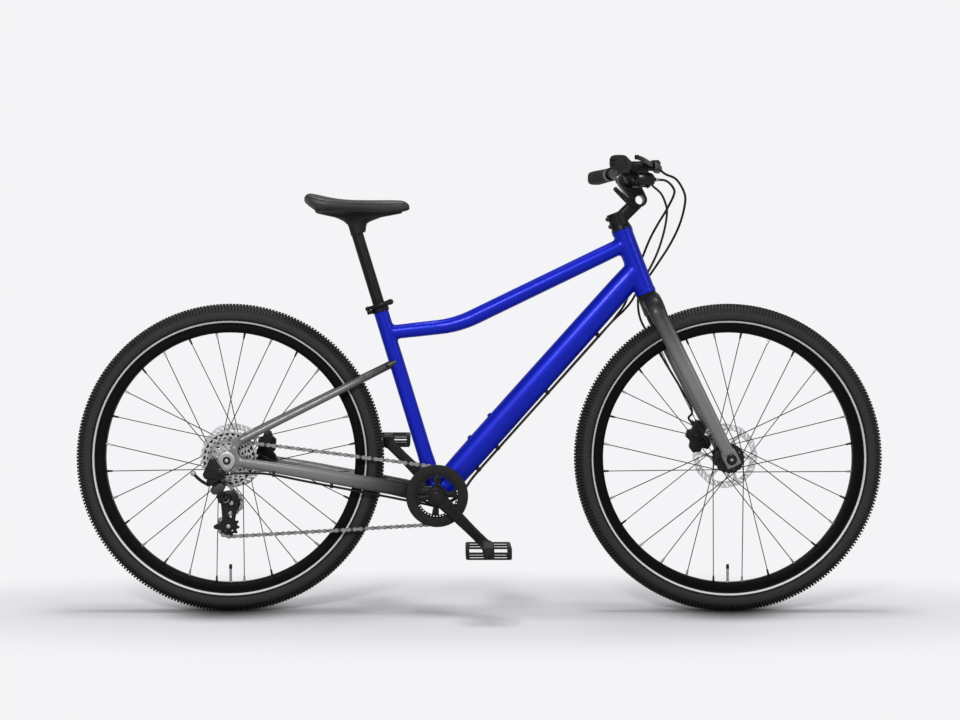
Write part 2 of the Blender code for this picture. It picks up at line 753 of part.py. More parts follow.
def disc_brake(centre, outline_in, outline_out, inner, rotor, outer):
    """Caliper body with a slot for its rotor. Outlines are (x, z) points."""
    slot_low = rotor - ROTOR_THICKNESS / 2 - 0.001
    slot_high = rotor + ROTOR_THICKNESS / 2 + 0.001
    housing = fuse(plate(outline_in, inner, slot_low - 0.0002), plate(outline_out, inner + 0.007, outer))
    slot = cross_rod(centre, slot_low, slot_high, ROTOR_DIAMETER / 2 + 0.001, 32)
    return cut(housing, slot)


def rear_brake_caliper():
    low = [(-0.478, 0.314), (-0.446, 0.314), (-0.439, 0.322), (-0.438, 0.376), (-0.446, 0.384),
           (-0.466, 0.384), (-0.482, 0.368), (-0.483, 0.324)]
    high = [(-0.482, 0.338), (-0.476, 0.334), (-0.446, 0.334), (-0.439, 0.340), (-0.438, 0.376),
            (-0.446, 0.384), (-0.466, 0.384), (-0.482, 0.368)]
    housing = disc_brake(REAR_AXLE, low, high, 0.037, REAR_ROTOR_PLACE, 0.066)
    for place in (-0.477, -0.451):
        housing = fuse(housing, box(Vector((place, 0.0605, 0.318)), Vector((place + 0.008, 0.0655, 0.340))))
    return cut(housing, chainstay_blank(1, GAP), seatstay_blank(1, 0.001))


def front_brake_caliper():
    shape = ((-0.024, 0.030), (0.010, 0.026), (0.020, 0.034), (0.020, 0.090), (0.008, 0.097),
             (-0.016, 0.090), (-0.027, 0.070), (-0.028, 0.040))
    points = [steer(ahead, 0.0, height) for ahead, height in shape]
    outline = [(point.x, point.z) for point in points]
    housing = disc_brake(FRONT_AXLE, outline, outline, 0.026, FRONT_ROTOR_PLACE, 0.0455)
    for height in (0.038, 0.086):
        foot = beam(steer(0.012, 0.038, height), steer(0.019, 0.052, height), 0.010, 0.008, STEER_UP)
        housing = fuse(housing, foot)
    return cut(housing, blade_blank(1, GAP), slot_for_front_rotor())


def slot_for_front_rotor():
    low = FRONT_ROTOR_PLACE - ROTOR_THICKNESS / 2 - 0.001
    high = FRONT_ROTOR_PLACE + ROTOR_THICKNESS / 2 + 0.001
    return cross_rod(FRONT_AXLE, low, high, ROTOR_DIAMETER / 2 + 0.001, 32)


def fork_pieces(grey, black):
    add("fork_steerer", fork_steerer(), grey, "fork")
    for name, side in SIDES:
        add("fork_blade_" + name, fork_blade(side), grey, "fork")
    right = (FORK_DROPOUT_OUTER, 0.064, 0.0105)
    left = (FORK_DROPOUT_OUTER, 0.0625, 0.009)
    add("front_axle", axle(FRONT_AXLE, right, left), black, "fork")
    add("stem_base", stem_base(), black, "fork")
    add("front_brake_caliper", front_brake_caliper(), black, "fork")
    add("rear_brake_caliper", rear_brake_caliper(), black, "frame")


# Cockpit

def stem_arm():
    pivot = STEM_PIVOT
    inner = STEM_RING_WIDTH / 2 + 0.0005
    outer = inner + CHEEK_THICKNESS
    outline = hull([(pivot, STEM_RING_DIAMETER / 2), (BAR_CENTRE, BAR_CLAMP_DIAMETER / 2)], 16)
    arm = plate(outline, -outer, outer)
    toward = (BAR_CENTRE - pivot).normalized()
    square = LEFT.cross(toward)
    reach = STEM_RING_DIAMETER / 2 + 0.001
    corners = []
    for along, across in ((-0.04, -0.04), (reach, -0.04), (reach, 0.04), (-0.04, 0.04)):
        point = pivot + toward * along + square * across
        corners.append((point.x, point.z))
    arm = cut(arm, plate(corners, -inner, inner))
    arm = fuse(arm, cross_rod(pivot, -inner - 0.001, inner + 0.001, STEM_SLEEVE_DIAMETER / 2))
    bar_hole = cross_rod(BAR_CENTRE, -0.05, 0.05, BAR_BULGE_DIAMETER / 2 + GAP)
    hole = cross_rod(pivot, -0.05, 0.05, STEM_SLEEVE_BORE / 2)
    return cut(arm, bar_hole, hole)


def bar_rise_start():
    return BAR_CENTRE + LEFT * 0.050


def bar_on_rise(place):
    """Point on the rising stretch of the bar, by its distance from the middle."""
    share = (place - bar_rise_start().y) / (BAR_BEND.y - bar_rise_start().y)
    return bar_rise_start().lerp(BAR_BEND, share)


def bar_on_grip(place):
    """Point on the straight outer stretch of the bar."""
    return BAR_BEND.lerp(BAR_END, (place - BAR_BEND.y) / (BAR_END.y - BAR_BEND.y))


def handlebar():
    bulge = BAR_BULGE_DIAMETER / 2
    grip = BAR_DIAMETER / 2
    half = rounded([BAR_CENTRE + LEFT * 0.040, bar_rise_start(), BAR_BEND, BAR_END], 0.009, 2)
    left = [BAR_CENTRE, BAR_CENTRE + LEFT * 0.027, BAR_CENTRE + LEFT * 0.031] + half
    radii = [bulge, bulge, grip] + [grip] * len(half)
    path = [mirrored(point, -1) for point in left[:0:-1]] + left
    sizes = [(2 * radius, 2 * radius) for radius in radii[:0:-1] + radii]
    return swept(path, sizes, -UP, 10)


def grip(side):
    """Rubber grip with a flat wing behind for the palm, closed over the bar's end."""
    line = (BAR_END - BAR_BEND).normalized()
    start = bar_on_grip(GRIP_START)
    back = Vector((-line.y, line.x, 0.0)).normalized()
    up = line.cross(-back)
    length = (BAR_END - start).length + 0.003
    rings = []
    for share, wing in ((0.0, 0.0), (0.10, 0.0), (0.30, 0.003), (0.62, 0.009), (0.90, 0.011), (1.0, 0.009)):
        centre = start + line * (length * share) + back * (wing / 2)
        width = GRIP_DIAMETER + wing
        ring = section(centre, back, up, width, GRIP_DIAMETER - wing * 0.25, 12, 2.0 + wing * 30)
        rings.append([mirrored(point, side) for point in ring])
    bore_end = BAR_END + line * GAP
    bore = rod(mirrored(start - line * 0.01, side), mirrored(bore_end, side), BAR_DIAMETER / 2 + GAP)
    return cut(loft(rings), bore)


def bar_ring(place, side, radius, half_width):
    """Clamp round the straight outer stretch of the bar, without its bore."""
    line = (BAR_END - BAR_BEND).normalized()
    centre = bar_on_grip(place)
    start = mirrored(centre - line * half_width, side)
    return rod(start, mirrored(centre + line * half_width, side), radius)


def grip_bore(side):
    line = (BAR_END - BAR_BEND).normalized()
    start = mirrored(BAR_BEND - line * 0.002, side)
    return rod(start, mirrored(BAR_END, side), BAR_DIAMETER / 2 + GAP)


def rise_bore(side):
    line = BAR_BEND - bar_rise_start()
    start = mirrored(bar_rise_start() - line * 0.1, side)
    return rod(start, mirrored(BAR_BEND + line * 0.02, side), BAR_DIAMETER / 2 + GAP)


def brake_mount(side):
    """Bar clamp, reach arm, fluid cylinder and the two ears that hold the lever."""
    clamp = bar_ring(MOUNT_PLACE, side, 0.0155, 0.007)
    start = mirrored(bar_on_grip(MOUNT_PLACE) + FORWARD * 0.006, side)
    knee = mirrored(LEVER_PIVOT + Vector((-0.012, -0.004, 0.0)), side)
    tank = mirrored(LEVER_PIVOT + Vector((0.012, -0.018, 0.001)), side)
    reach = swept([start, knee, tank], [(0.017, 0.014), (0.020, 0.017), (0.021, 0.020)], UP, 8, 4.0)
    cylinder = rod(mirrored(LEVER_PIVOT + Vector((0.010, 0.002, 0.001)), side),
                   mirrored(LEVER_PIVOT + Vector((0.020, -0.036, -0.004)), side), 0.0105, 10)
    mount = fuse(clamp, reach, cylinder)
    pivot = mirrored(LEVER_PIVOT, side)
    slot_low = pivot + Vector((-0.015, -0.026, -0.0055))
    slot_high = pivot + Vector((0.011, 0.026, 0.0055))
    ears = rod(pivot - UP * 0.010, pivot + UP * 0.010, 0.0095, 10)
    mount = cut(fuse(mount, ears), lever_room(slot_low, slot_high, side))
    pin = rod(pivot - UP * 0.009, pivot + UP * 0.009, LEVER_PIN / 2, 12)
    return cut(fuse(mount, pin), grip_bore(side))


def lever_room(low, high, side):
    """Space for the lever's root between the ears, open outwards."""
    if side > 0:
        low.y = high.y - 0.037
    else:
        high.y = low.y + 0.037
    return box(low, high)


def brake_lever(side):
    pivot = mirrored(LEVER_PIVOT, side)
    root = rod(pivot - UP * 0.005, pivot + UP * 0.005, 0.0065, 12)
    points = [LEVER_PIVOT, LEVER_PIVOT + Vector((0.001, 0.018, 0.001)), BAR_CENTRE + Vector((0.0269, 0.190, 0.0245)),
              BAR_CENTRE + Vector((0.0124, 0.230, 0.0285)), LEVER_TIP]
    sizes = [(0.009, 0.008), (0.009, 0.008), (0.010, 0.0065), (0.010, 0.006), (0.009, 0.006)]
    blade = swept([mirrored(point, side) for point in points], sizes, UP, 8, 3.0)
    lever = fuse(root, blade)
    return cut(lever, rod(pivot - UP * 0.02, pivot + UP * 0.02, LEVER_PIN / 2 + RUN, 12))


def shifter_body():
    place = mirrored(bar_on_rise(SHIFTER_PLACE), -1)
    line = mirrored(BAR_BEND - bar_rise_start(), -1).normalized()
    clamp = rod(place - line * 0.006, place + line * 0.006, 0.0152)
    x, z = SHIFTER_CENTRE.x, SHIFTER_CENTRE.z
    outline = [(x - 0.0185, z - 0.006), (x - 0.012, z - 0.0095), (x + 0.016, z - 0.0105),
               (x + 0.0185, z - 0.007), (x + 0.0185, z + 0.008), (x + 0.012, z + 0.0145),
               (x - 0.010, z + 0.0175), (x - 0.0185, z + 0.012)]
    pod = plate(outline, SHIFTER_CENTRE.y - 0.016, SHIFTER_CENTRE.y + 0.018)
    bridge = beam(place, SHIFTER_CENTRE + Vector((-0.010, 0.004, 0.004)), 0.012, 0.018)
    barrel = rod(SHIFTER_CENTRE + Vector((0.012, 0.002, 0.002)),
                 SHIFTER_CENTRE + Vector((0.0226, 0.0037, 0.0016)), 0.0045, 10)
    pin = rod(SHIFTER_PIVOT + UP * 0.004, SHIFTER_PIVOT - UP * 0.006, LEVER_PIN / 2, 12)
    return cut(fuse(clamp, pod, bridge, barrel, pin), rise_bore(-1))


def shift_lever():
    """Thumb lever that swings in under the shifter."""
    height = SHIFTER_CENTRE.z - 0.0105 - GAP
    hub = rod(moved_up(SHIFTER_PIVOT, height), moved_up(SHIFTER_PIVOT, height - 0.004), 0.006, 12)
    places = (Vector((0.0, 0.0, 0.0)), Vector((-0.014, -0.003, 0.0)), Vector((-0.028, -0.015, 0.0)))
    path = [moved_up(SHIFTER_PIVOT + place, height - 0.002) for place in places]
    arm = swept(path, [(0.004, 0.009), (0.004, 0.009), (0.004, 0.013)], UP, 8, 4.0)
    hole = rod(SHIFTER_PIVOT + UP * 0.02, SHIFTER_PIVOT - UP * 0.02, LEVER_PIN / 2 + RUN, 12)
    return cut(fuse(hub, arm), hole)


def moved_up(point, height):
    return Vector((point.x, point.y, height))


def bell_centre():
    return bar_on_rise(BELL_PLACE) + UP * 0.0155


def bell():
    place = bar_on_rise(BELL_PLACE)
    line = (BAR_BEND - bar_rise_start()).normalized()
    clamp = rod(place - line * 0.005, place + line * 0.005, 0.0145)
    foot = bell_centre()
    profile = [(-0.008, 0.006), (0.000, 0.007), (0.0005, 0.013), (0.004, 0.0128), (0.008, 0.0105),
               (0.0105, 0.006)]
    dome = turned(foot, UP, profile, 10, hollow=False)
    pivot = striker_pivot()
    pin = rod(pivot - LEFT * 0.006, pivot + LEFT * 0.006, 0.0012, 10)
    whole = fuse(clamp, dome, pin)
    for side in (-0.0047, 0.0047):
        ear = beam(foot + Vector((0.002, side, -0.004)), pivot + Vector((0.0028, side, 0.0)), 0.0025, 0.005)
        whole = fuse(whole, ear)
    return cut(whole, rise_bore(1))


def striker_pivot():
    return bell_centre() + Vector((0.0185, 0.0, -0.004))


def bell_striker():
    """Small sprung thumb hammer ahead of the dome, on a pin across the bell's foot."""
    pivot = striker_pivot()
    hub = rod(pivot - LEFT * 0.003, pivot + LEFT * 0.003, 0.0032, 10)
    arm = swept([pivot, pivot + Vector((0.0015, 0.0, 0.006)), pivot + Vector((0.0010, 0.0, 0.0125))],
                [(0.005, 0.0035), (0.006, 0.003), (0.008, 0.0042)], LEFT, 8, 3.0)
    hole = rod(pivot - LEFT * 0.01, pivot + LEFT * 0.01, 0.0012 + RUN, 10)
    return cut(fuse(hub, arm), hole)


def cockpit_pieces(black, rubber, silver, bell_black):
    add("stem_arm", stem_arm(), black, "cockpit")
    add("handlebar", handlebar(), black, "cockpit")
    for name, side in SIDES:
        add("grip_" + name, grip(side), rubber, "cockpit")
        add("brake_mount_" + name, brake_mount(side), black, "cockpit")
        add("brake_lever_" + name, brake_lever(side), black, "brake_lever_" + name)
    add("shifter_body", shifter_body(), black, "cockpit")
    add("shift_lever", shift_lever(), black, "shift_lever")
    add("bell", bell(), bell_black, "cockpit")
    add("bell_striker", bell_striker(), silver, "bell_striker")


# Wheels

def tyre(centre):
    half = TYRE_WIDTH / 2
    outer = TYRE_DIAMETER / 2
    seat_radius = RIM_SEAT_DIAMETER / 2 + 0.0005
    bead = RIM_WIDTH / 2 - 0.0027
    middle = (seat_radius + outer) / 2 + 0.002
    wall = 0.0032
    right = [(-bead, seat_radius), (-bead - 0.0001, seat_radius + 0.0062), (-half, middle - 0.004),
             (-half + 0.0060, outer - 0.0085), (-half * 0.27, outer)]
    inside = [(0.0, outer - 0.0065), (-half + wall, middle - 0.002), (-bead + 0.0050, seat_radius)]
    profile = right + [(-side, radius) for side, radius in right[::-1]]
    profile += [(-side, radius) for side, radius in inside[:0:-1]] + inside
    return turned(centre, LEFT, profile, WHEEL_STEPS)


def rim(centre):
    half = RIM_WIDTH / 2
    seat_radius = RIM_SEAT_DIAMETER / 2
    flange = seat_radius + RIM_FLANGE
    bed = RIM_BED_DIAMETER / 2
    inside = half - 0.0023
    right = [(-half + 0.0045, bed), (-half, flange), (-inside, flange), (-inside, seat_radius)]
    return turned(centre, LEFT, right + [(-side, radius) for side, radius in right[::-1]], WHEEL_STEPS)


def bed_radius(angle):
    """Distance from the axle to the rim's inner face, which has flat steps."""
    step = 2 * math.pi / WHEEL_STEPS
    off_middle = (angle + math.pi / 2) % step - step / 2
    return RIM_BED_DIAMETER / 2 * math.cos(step / 2) / math.cos(off_middle)


def spoke_cage(centre, right_flange, left_flange):
    """All spokes of a wheel, laced in pairs that cross three others."""
    bm = bmesh.new()
    half = SPOKE_THICKNESS / 2
    for index in range(SPOKES):
        rim_angle = SPOKE_FIRST - 2 * math.pi * index / SPOKES
        lean = 1 if index % 4 < 2 else -1
        hub_angle = rim_angle + SPOKE_LEAN * lean
        flange = left_flange if index % 2 == 0 else right_flange
        toward = 1 if index % 2 == 0 else -1
        hub_side = flange + toward * lean * 0.0011
        rim_side = toward * (0.0035 + lean * 0.0012)
        rim_radius = bed_radius(rim_angle) - SPOKE_END_GAP
        hub_radius = SPOKE_CIRCLE / 2
        outward = Vector((math.cos(hub_angle), 0.0, math.sin(hub_angle)))
        start = centre + outward * hub_radius + LEFT * hub_side
        outward = Vector((math.cos(rim_angle), 0.0, math.sin(rim_angle)))
        end = centre + outward * rim_radius + LEFT * rim_side
        along = (end - start).normalized()
        across = along.cross(LEFT).normalized()
        other = along.cross(across)
        rows = []
        for point in (start, end):
            corners = ((-half, -half), (half, -half), (0.0, half))
            rows.append([bm.verts.new(point + across * a + other * b) for a, b in corners])
        for step in range(3):
            following = (step + 1) % 3
            bm.faces.new((rows[0][step], rows[0][following], rows[1][following], rows[1][step]))
        bm.faces.new(rows[0][::-1])
        bm.faces.new(rows[1])
    return finished(bm)


def hub(centre, profile, right_flange, left_flange):
    core = turned(centre, LEFT, profile, 12)
    return fuse(core, spoke_cage(centre, right_flange, left_flange))


def hub_profile(right_end, right_flange, left_flange, carrier, left_end):
    """Barrel between two flanges, with a carrier for the rotor on the left."""
    bore = AXLE_DIAMETER / 2 + RUN
    flange = FLANGE_DIAMETER / 2
    half = 0.00225
    return [(right_end, bore), (right_end, 0.0095), (right_flange - half, 0.013),
            (right_flange - half, flange), (right_flange + half, flange),
            (right_flange + half, 0.0145), (left_flange - half, 0.0145),
            (left_flange - half, flange), (left_flange + half, flange), (left_flange + half, 0.0165),
            (carrier - ROTOR_THICKNESS / 2 - GAP, 0.0215), (carrier - ROTOR_THICKNESS / 2 - GAP, 0.0165),
            (carrier + 0.003, 0.0165), (left_end, 0.009), (left_end, bore)]


def rotor(centre, place):
    radius = ROTOR_DIAMETER / 2
    radii = (0.0165 + GAP, 0.0235, radius - 0.0125, radius)

    def filled(ring, step):
        return ring != 1 or step % 4 == 0

    return ring_plate(centre, radii, 16, filled, place - ROTOR_THICKNESS / 2, place + ROTOR_THICKNESS / 2)


def wheel_pieces(name, centre, profile, flanges, rotor_place, rubber, black, steel):
    carrier = name + "_wheel"
    add(name + "_hub", hub(centre, profile, *flanges), black, carrier)
    add(name + "_rim", rim(centre), black, carrier)
    add(name + "_tyre", tyre(centre), rubber, carrier)
    add(name + "_rotor", rotor(centre, rotor_place), steel, carrier)


def both_wheels(rubber, black, steel):
    front_flanges = (-0.03225, 0.02025)
    dropout = FORK_DROPOUT_INNER - 0.0006
    front = hub_profile(-dropout, *front_flanges, FRONT_ROTOR_PLACE, dropout)
    wheel_pieces("front", FRONT_AXLE, front, front_flanges, FRONT_ROTOR_PLACE, rubber, black, steel)
    rear_flanges = (-0.02125, 0.03325)
    rear = hub_profile(cassette_inner() + GAP, *rear_flanges, REAR_ROTOR_PLACE, DROPOUT_INNER - GAP)
    wheel_pieces("rear", REAR_AXLE, rear, rear_flanges, REAR_ROTOR_PLACE, rubber, black, steel)


# Drivetrain

def pitch_radius(teeth):
    return CHAIN_PITCH / (2 * math.sin(math.pi / teeth))


def sprocket_place(index):
    return CHAIN_LINE - SPROCKET_STEP * (index - CHOSEN_SPROCKET)


def cassette_inner():
    return sprocket_place(0) + 0.0024


def cassette():
    """Sprockets on one core, biggest inside, with a lock ring at the outer end."""
    core = 0.0175
    bore = AXLE_DIAMETER / 2 + RUN
    half = SPROCKET_THICKNESS / 2
    profile = [(cassette_inner(), bore), (cassette_inner(), core)]
    for index, teeth in enumerate(CASSETTE_TEETH):
        tip = pitch_radius(teeth) + 0.002
        if index == CHOSEN_SPROCKET:
            tip = pitch_radius(teeth) - CHAIN_HEIGHT / 2 - 0.0009
        place = sprocket_place(index)
        profile += [(place + half, core), (place + half, tip), (place - half, tip), (place - half, core)]
    end = sprocket_place(len(CASSETTE_TEETH) - 1) - 0.0041
    profile += [(end, core - 0.0015), (end, bore)]
    return turned(REAR_AXLE, LEFT, profile, 12)


def belt(circles):
    """Closed route round circles of (centre, radius, turn), with turn +1 or -1, as short pieces."""
    tangents = []
    for (first, r1, s1), (second, r2, s2) in zip(circles, circles[1:] + circles[:1]):
        gap = second - first
        lean = math.asin((s2 * r2 - s1 * r1) / gap.length)
        angle = math.atan2(gap.z, gap.x) - lean
        square = Vector((-math.sin(angle), 0.0, math.cos(angle)))
        tangents.append((first - square * (s1 * r1), second - square * (s2 * r2)))
    pieces = []
    for index, (centre, radius, turn) in enumerate(circles):
        arrive = tangents[index - 1][1] - centre
        leave = tangents[index][0] - centre
        start = math.atan2(arrive.z, arrive.x)
        sweep = (math.atan2(leave.z, leave.x) - start) * turn % (2 * math.pi)
        pieces.append(("arc", radius * sweep, centre, radius, start, turn))
        pieces.append(("line", (tangents[index][1] - tangents[index][0]).length, *tangents[index]))
    return pieces


def along_belt(pieces, distance):
    for piece in pieces:
        if distance <= piece[1]:
            break
        distance -= piece[1]
    if piece[0] == "line":
        return piece[2].lerp(piece[3], distance / piece[1])
    _, _, centre, radius, start, turn = piece
    angle = start + turn * distance / radius
    return centre + Vector((math.cos(angle), 0.0, math.sin(angle))) * radius


def tension_pulley():
    lean = Vector((math.cos(TENSION_PULLEY_LEAN), 0.0, math.sin(TENSION_PULLEY_LEAN)))
    return GUIDE_PULLEY + lean * CAGE_LENGTH


def chain():
    """One band, with a ring of corners at each pin where it bends."""
    pulley = pitch_radius(PULLEY_TEETH)
    circles = [(BOTTOM_BRACKET, pitch_radius(CHAINRING_TEETH), 1),
               (REAR_AXLE, pitch_radius(CASSETTE_TEETH[CHOSEN_SPROCKET]), 1),
               (GUIDE_PULLEY, pulley, -1), (tension_pulley(), pulley, 1)]
    pieces = belt(circles)
    length = sum(piece[1] for piece in pieces)
    links = 2 * round(length / CHAIN_PITCH / 2)
    points = [along_belt(pieces, length * index / links) for index in range(links)]
    rings = []
    for index, point in enumerate(points):
        before = (point - points[index - 1]).normalized()
        after = (points[(index + 1) % links] - point).normalized()
        if before.dot(after) > 0.999999:
            continue
        up = (before + after).normalized().cross(LEFT)
        ring = []
        for side, rise in ((-1, -1), (1, -1), (1, 1), (-1, 1)):
            corner = point + up * (rise * CHAIN_HEIGHT / 2)
            ring.append(moved_to(corner, CHAIN_LINE + side * CHAIN_WIDTH / 2))
        rings.append(ring)
    return loft(rings, closed=True)


def crank_arm(side, reach):
    """Arm from the spindle to the pedal thread, leaning out towards the pedal."""
    inner = side * CRANK_INNER
    outer = side * (CRANK_INNER + CRANK_THICKNESS + 0.001)
    tip = BOTTOM_BRACKET + reach
    boss = cross_rod(BOTTOM_BRACKET, inner, outer, 0.016)
    end = cross_rod(tip, side * 0.060, side * 0.073, 0.0137, 12)
    path = [moved_to(BOTTOM_BRACKET, side * 0.0595), moved_to(BOTTOM_BRACKET + reach * 0.35, side * 0.0605),
            moved_to(tip, side * 0.0665)]
    sizes = [(0.031, 0.014), (0.029, 0.0135), (0.027, 0.012)]
    arm = swept(path, sizes, reach.cross(LEFT).normalized(), 8, 4.0)
    pin_end = side * (PEDAL_INNER + PEDAL_WIDTH - 0.010)
    axle_pin = cross_rod(tip, side * 0.066, pin_end, PEDAL_AXLE_DIAMETER / 2, 12)
    return fuse(arm, boss, end, axle_pin)


def crank_arm_right():
    arm = crank_arm(-1, CRANK_REACH)
    spindle_end = CRANK_INNER + 0.010 - GAP
    spindle = cross_rod(BOTTOM_BRACKET, -CRANK_INNER - 0.002, spindle_end, SPINDLE_DIAMETER / 2)
    shoulder = cross_rod(BOTTOM_BRACKET, -CRANK_INNER - 0.002, -SHELL_WIDTH / 2 - GAP, 0.012)
    return fuse(arm, spindle, shoulder)


def crank_arm_left():
    socket = cross_rod(BOTTOM_BRACKET, CRANK_INNER - 0.01, CRANK_INNER + 0.010, SPINDLE_DIAMETER / 2 + GAP)
    return cut(crank_arm(1, -CRANK_REACH), socket)


def chainring():
    radii = (0.012 + GAP, 0.0235, 0.0430, pitch_radius(CHAINRING_TEETH) - CHAIN_HEIGHT / 2 - 0.0007)

    def filled(ring, step):
        return ring != 1 or step % 6 < 2

    half = SPROCKET_THICKNESS / 2
    return ring_plate(BOTTOM_BRACKET, radii, 24, filled, CHAIN_LINE - half, CHAIN_LINE + half)


def chain_guard():
    """Ring outside the chainring, on four short posts."""
    near = CHAIN_LINE - CHAIN_WIDTH / 2 - 0.0009
    far = near - 0.0035
    outer = GUARD_DIAMETER / 2
    inner = GUARD_BORE / 2
    guard = turned(BOTTOM_BRACKET, LEFT, [(near, inner), (near, outer), (far, outer), (far, inner)], 24)
    for step in range(4):
        angle = math.radians(42) + step * math.pi / 2
        place = BOTTOM_BRACKET + Vector((math.cos(angle), 0.0, math.sin(angle))) * (inner + 0.0055)
        post = cross_rod(place, near - 0.001, CHAIN_LINE - SPROCKET_THICKNESS / 2 - GAP, 0.0033, 6)
        guard = fuse(guard, post)
    return guard


def pedal(side, centre):
    """Platform with four windows round the bearing tube."""
    half = PEDAL_LENGTH / 2
    columns = [centre.x + x for x in (-half, -half + 0.009, -0.0085, 0.0085, half - 0.009, half)]
    rows = [side * (PEDAL_INNER + PEDAL_WIDTH * share) for share in (0.0, 0.11, 0.45, 0.55, 0.89, 1.0)]
    low = centre.z - PEDAL_THICKNESS / 2
    high = centre.z + PEDAL_THICKNESS / 2

    def filled(i, j):
        return i not in (1, 3) or j not in (1, 3)

    platform = cells(columns, rows, filled, low, high, lambda x, y, z: Vector((x, y, z)))
    depth = side * (PEDAL_INNER + PEDAL_WIDTH - 0.010 + GAP)
    return cut(platform, cross_rod(centre, side * 0.070, depth, PEDAL_AXLE_DIAMETER / 2 + RUN))


def drivetrain_pieces(steel, dark, black):
    add("cassette", cassette(), steel, "cassette")
    add("chain", chain(), steel, "frame")
    add("crank_arm_right", crank_arm_right(), black, "crank")
    add("crank_arm_left", crank_arm_left(), black, "crank")
    add("chainring", chainring(), dark, "crank")
    add("chain_guard", chain_guard(), dark, "crank")
    for name, side in SIDES:
        centre = BOTTOM_BRACKET - CRANK_REACH * side
        add("pedal_" + name, pedal(side, centre), black, "pedal_" + name)


# Derailleur

def slab(origin, pin_range, down_range, side_range):
    """Box aligned with the link: ranges along its pins, down its length and to the left."""
    rings = []
    for across in pin_range:
        ring = []
        for down, side in ((0, 0), (1, 0), (1, 1), (0, 1)):
            point = origin + LINK_PIN * across + LINK_DOWN * down_range[down]
            ring.append(moved_to(point, side_range[side]))
        rings.append(ring)
    return loft(rings)


def ear_pair(origin, down_range, side_range):
    """Two ears that hold a link pin, each with its hole."""
    low = LINK_NEAR - GAP
    high = LINK_FAR + GAP
    first = slab(origin, (low - EAR_THICKNESS, low), down_range, side_range)
    second = slab(origin, (high, high + EAR_THICKNESS), down_range, side_range)
    hole = rod(origin + LINK_PIN * -0.03, origin + LINK_PIN * 0.03, PIN_RADIUS + RUN, 12)
    return cut(first, hole), cut(second, hole)


def derailleur_b_knuckle():
    """Fixed knuckle on the hanger, with ears for the upper pin of the link."""
    pivot = REAR_AXLE + HANGER_PIVOT
    face = -DROPOUT_OUTER - HANGER_THICKNESS - 2 * GAP
    barrel = cross_rod(pivot, face - 0.014, face, KNUCKLE_RADIUS, 14)
    bolt = cross_rod(pivot, face - 0.001, -DROPOUT_OUTER - GAP, 0.004, 12)
    bridge = slab(LINK_TOP, (LINK_NEAR - 0.004, 0.016), (-0.007, 0.0065), (face - 0.006, face))
    ears = ear_pair(LINK_TOP, (-0.0045, 0.006), (face - 0.001, LINK_PLACE + 0.005))
    stop = rod(moved_to(pivot + Vector((0.008, 0.0, 0.0015)), face - 0.0075),
               moved_to(pivot + Vector((0.020, 0.0, 0.0015)), face - 0.0075), 0.0045, 10)
    return fuse(barrel, bolt, bridge, *ears, stop)


def derailleur_link():
    """Swinging link, drawn as one body with a pin at each end."""
    half = 0.004
    rings = []
    for across in (LINK_NEAR, LINK_FAR):
        ring = []
        for down, turn in ((0.0, 1), (LINK_LENGTH, -1)):
            for step in range(5):
                angle = math.pi * step / 4
                along = down - turn * half * math.sin(angle)
                side = LINK_PLACE + turn * half * math.cos(angle)
                ring.append(moved_to(LINK_TOP + LINK_PIN * across + LINK_DOWN * along, side))
        rings.append(ring)
    link = loft(rings)
    reach = EAR_THICKNESS + GAP
    for end in (LINK_TOP, LINK_FOOT):
        pin = rod(end + LINK_PIN * (LINK_NEAR - reach), end + LINK_PIN * (LINK_FAR + reach), PIN_RADIUS, 12)
        link = fuse(link, pin)
    return link


def derailleur_p_knuckle():
    """Moving knuckle, hung from the link, with the pivot of the cage."""
    inner = CHAIN_LINE - 0.0067
    outer = LINK_PLACE + 0.0058
    barrel = cross_rod(CAGE_PIVOT, outer, inner, KNUCKLE_RADIUS - 0.0003, 14)
    ears = ear_pair(LINK_FOOT, (-0.004, 0.008), (LINK_PLACE - 0.005, outer + 0.001))
    pins = (LINK_NEAR - 0.004, LINK_FAR + 0.004)
    back = slab(LINK_FOOT, pins, (0.0060, 0.0145), (LINK_PLACE - 0.0045, outer + 0.0015))
    bore = cross_rod(CAGE_PIVOT, inner - 0.008, inner + 0.01, 0.004 + RUN)
    return cut(fuse(barrel, back, *ears), bore)


def cage_plate(near, far):
    circles = [(GUIDE_PULLEY, 0.009), (CAGE_PIVOT, 0.0095), (tension_pulley(), 0.009)]
    return plate(hull(circles, 16), near, far)


def derailleur_cage():
    """Two plates joined by the pulley bolts, with a stub in the moving knuckle."""
    outer_face = CHAIN_LINE - 0.0062
    inner_face = CHAIN_LINE + 0.0063
    outer_plate = cage_plate(outer_face, outer_face + 0.0015)
    inner_plate = cage_plate(inner_face - 0.0015, inner_face)
    cage = fuse(outer_plate, cross_rod(CAGE_PIVOT, outer_face - 0.007, outer_face + 0.001, 0.004))
    for centre in (GUIDE_PULLEY, tension_pulley()):
        cage = fuse(cage, cross_rod(centre, outer_face + 0.0005, inner_face - 0.0005, PIN_RADIUS, 12))
    return fuse(cage, inner_plate)


def pulley(centre):
    radius = pitch_radius(PULLEY_TEETH) - CHAIN_HEIGHT / 2 - 0.0014
    bore = PIN_RADIUS + RUN
    low = CHAIN_LINE - 0.002
    high = CHAIN_LINE + 0.002
    return turned(centre, LEFT, [(low, bore), (low, radius), (high, radius), (high, bore)], 16)


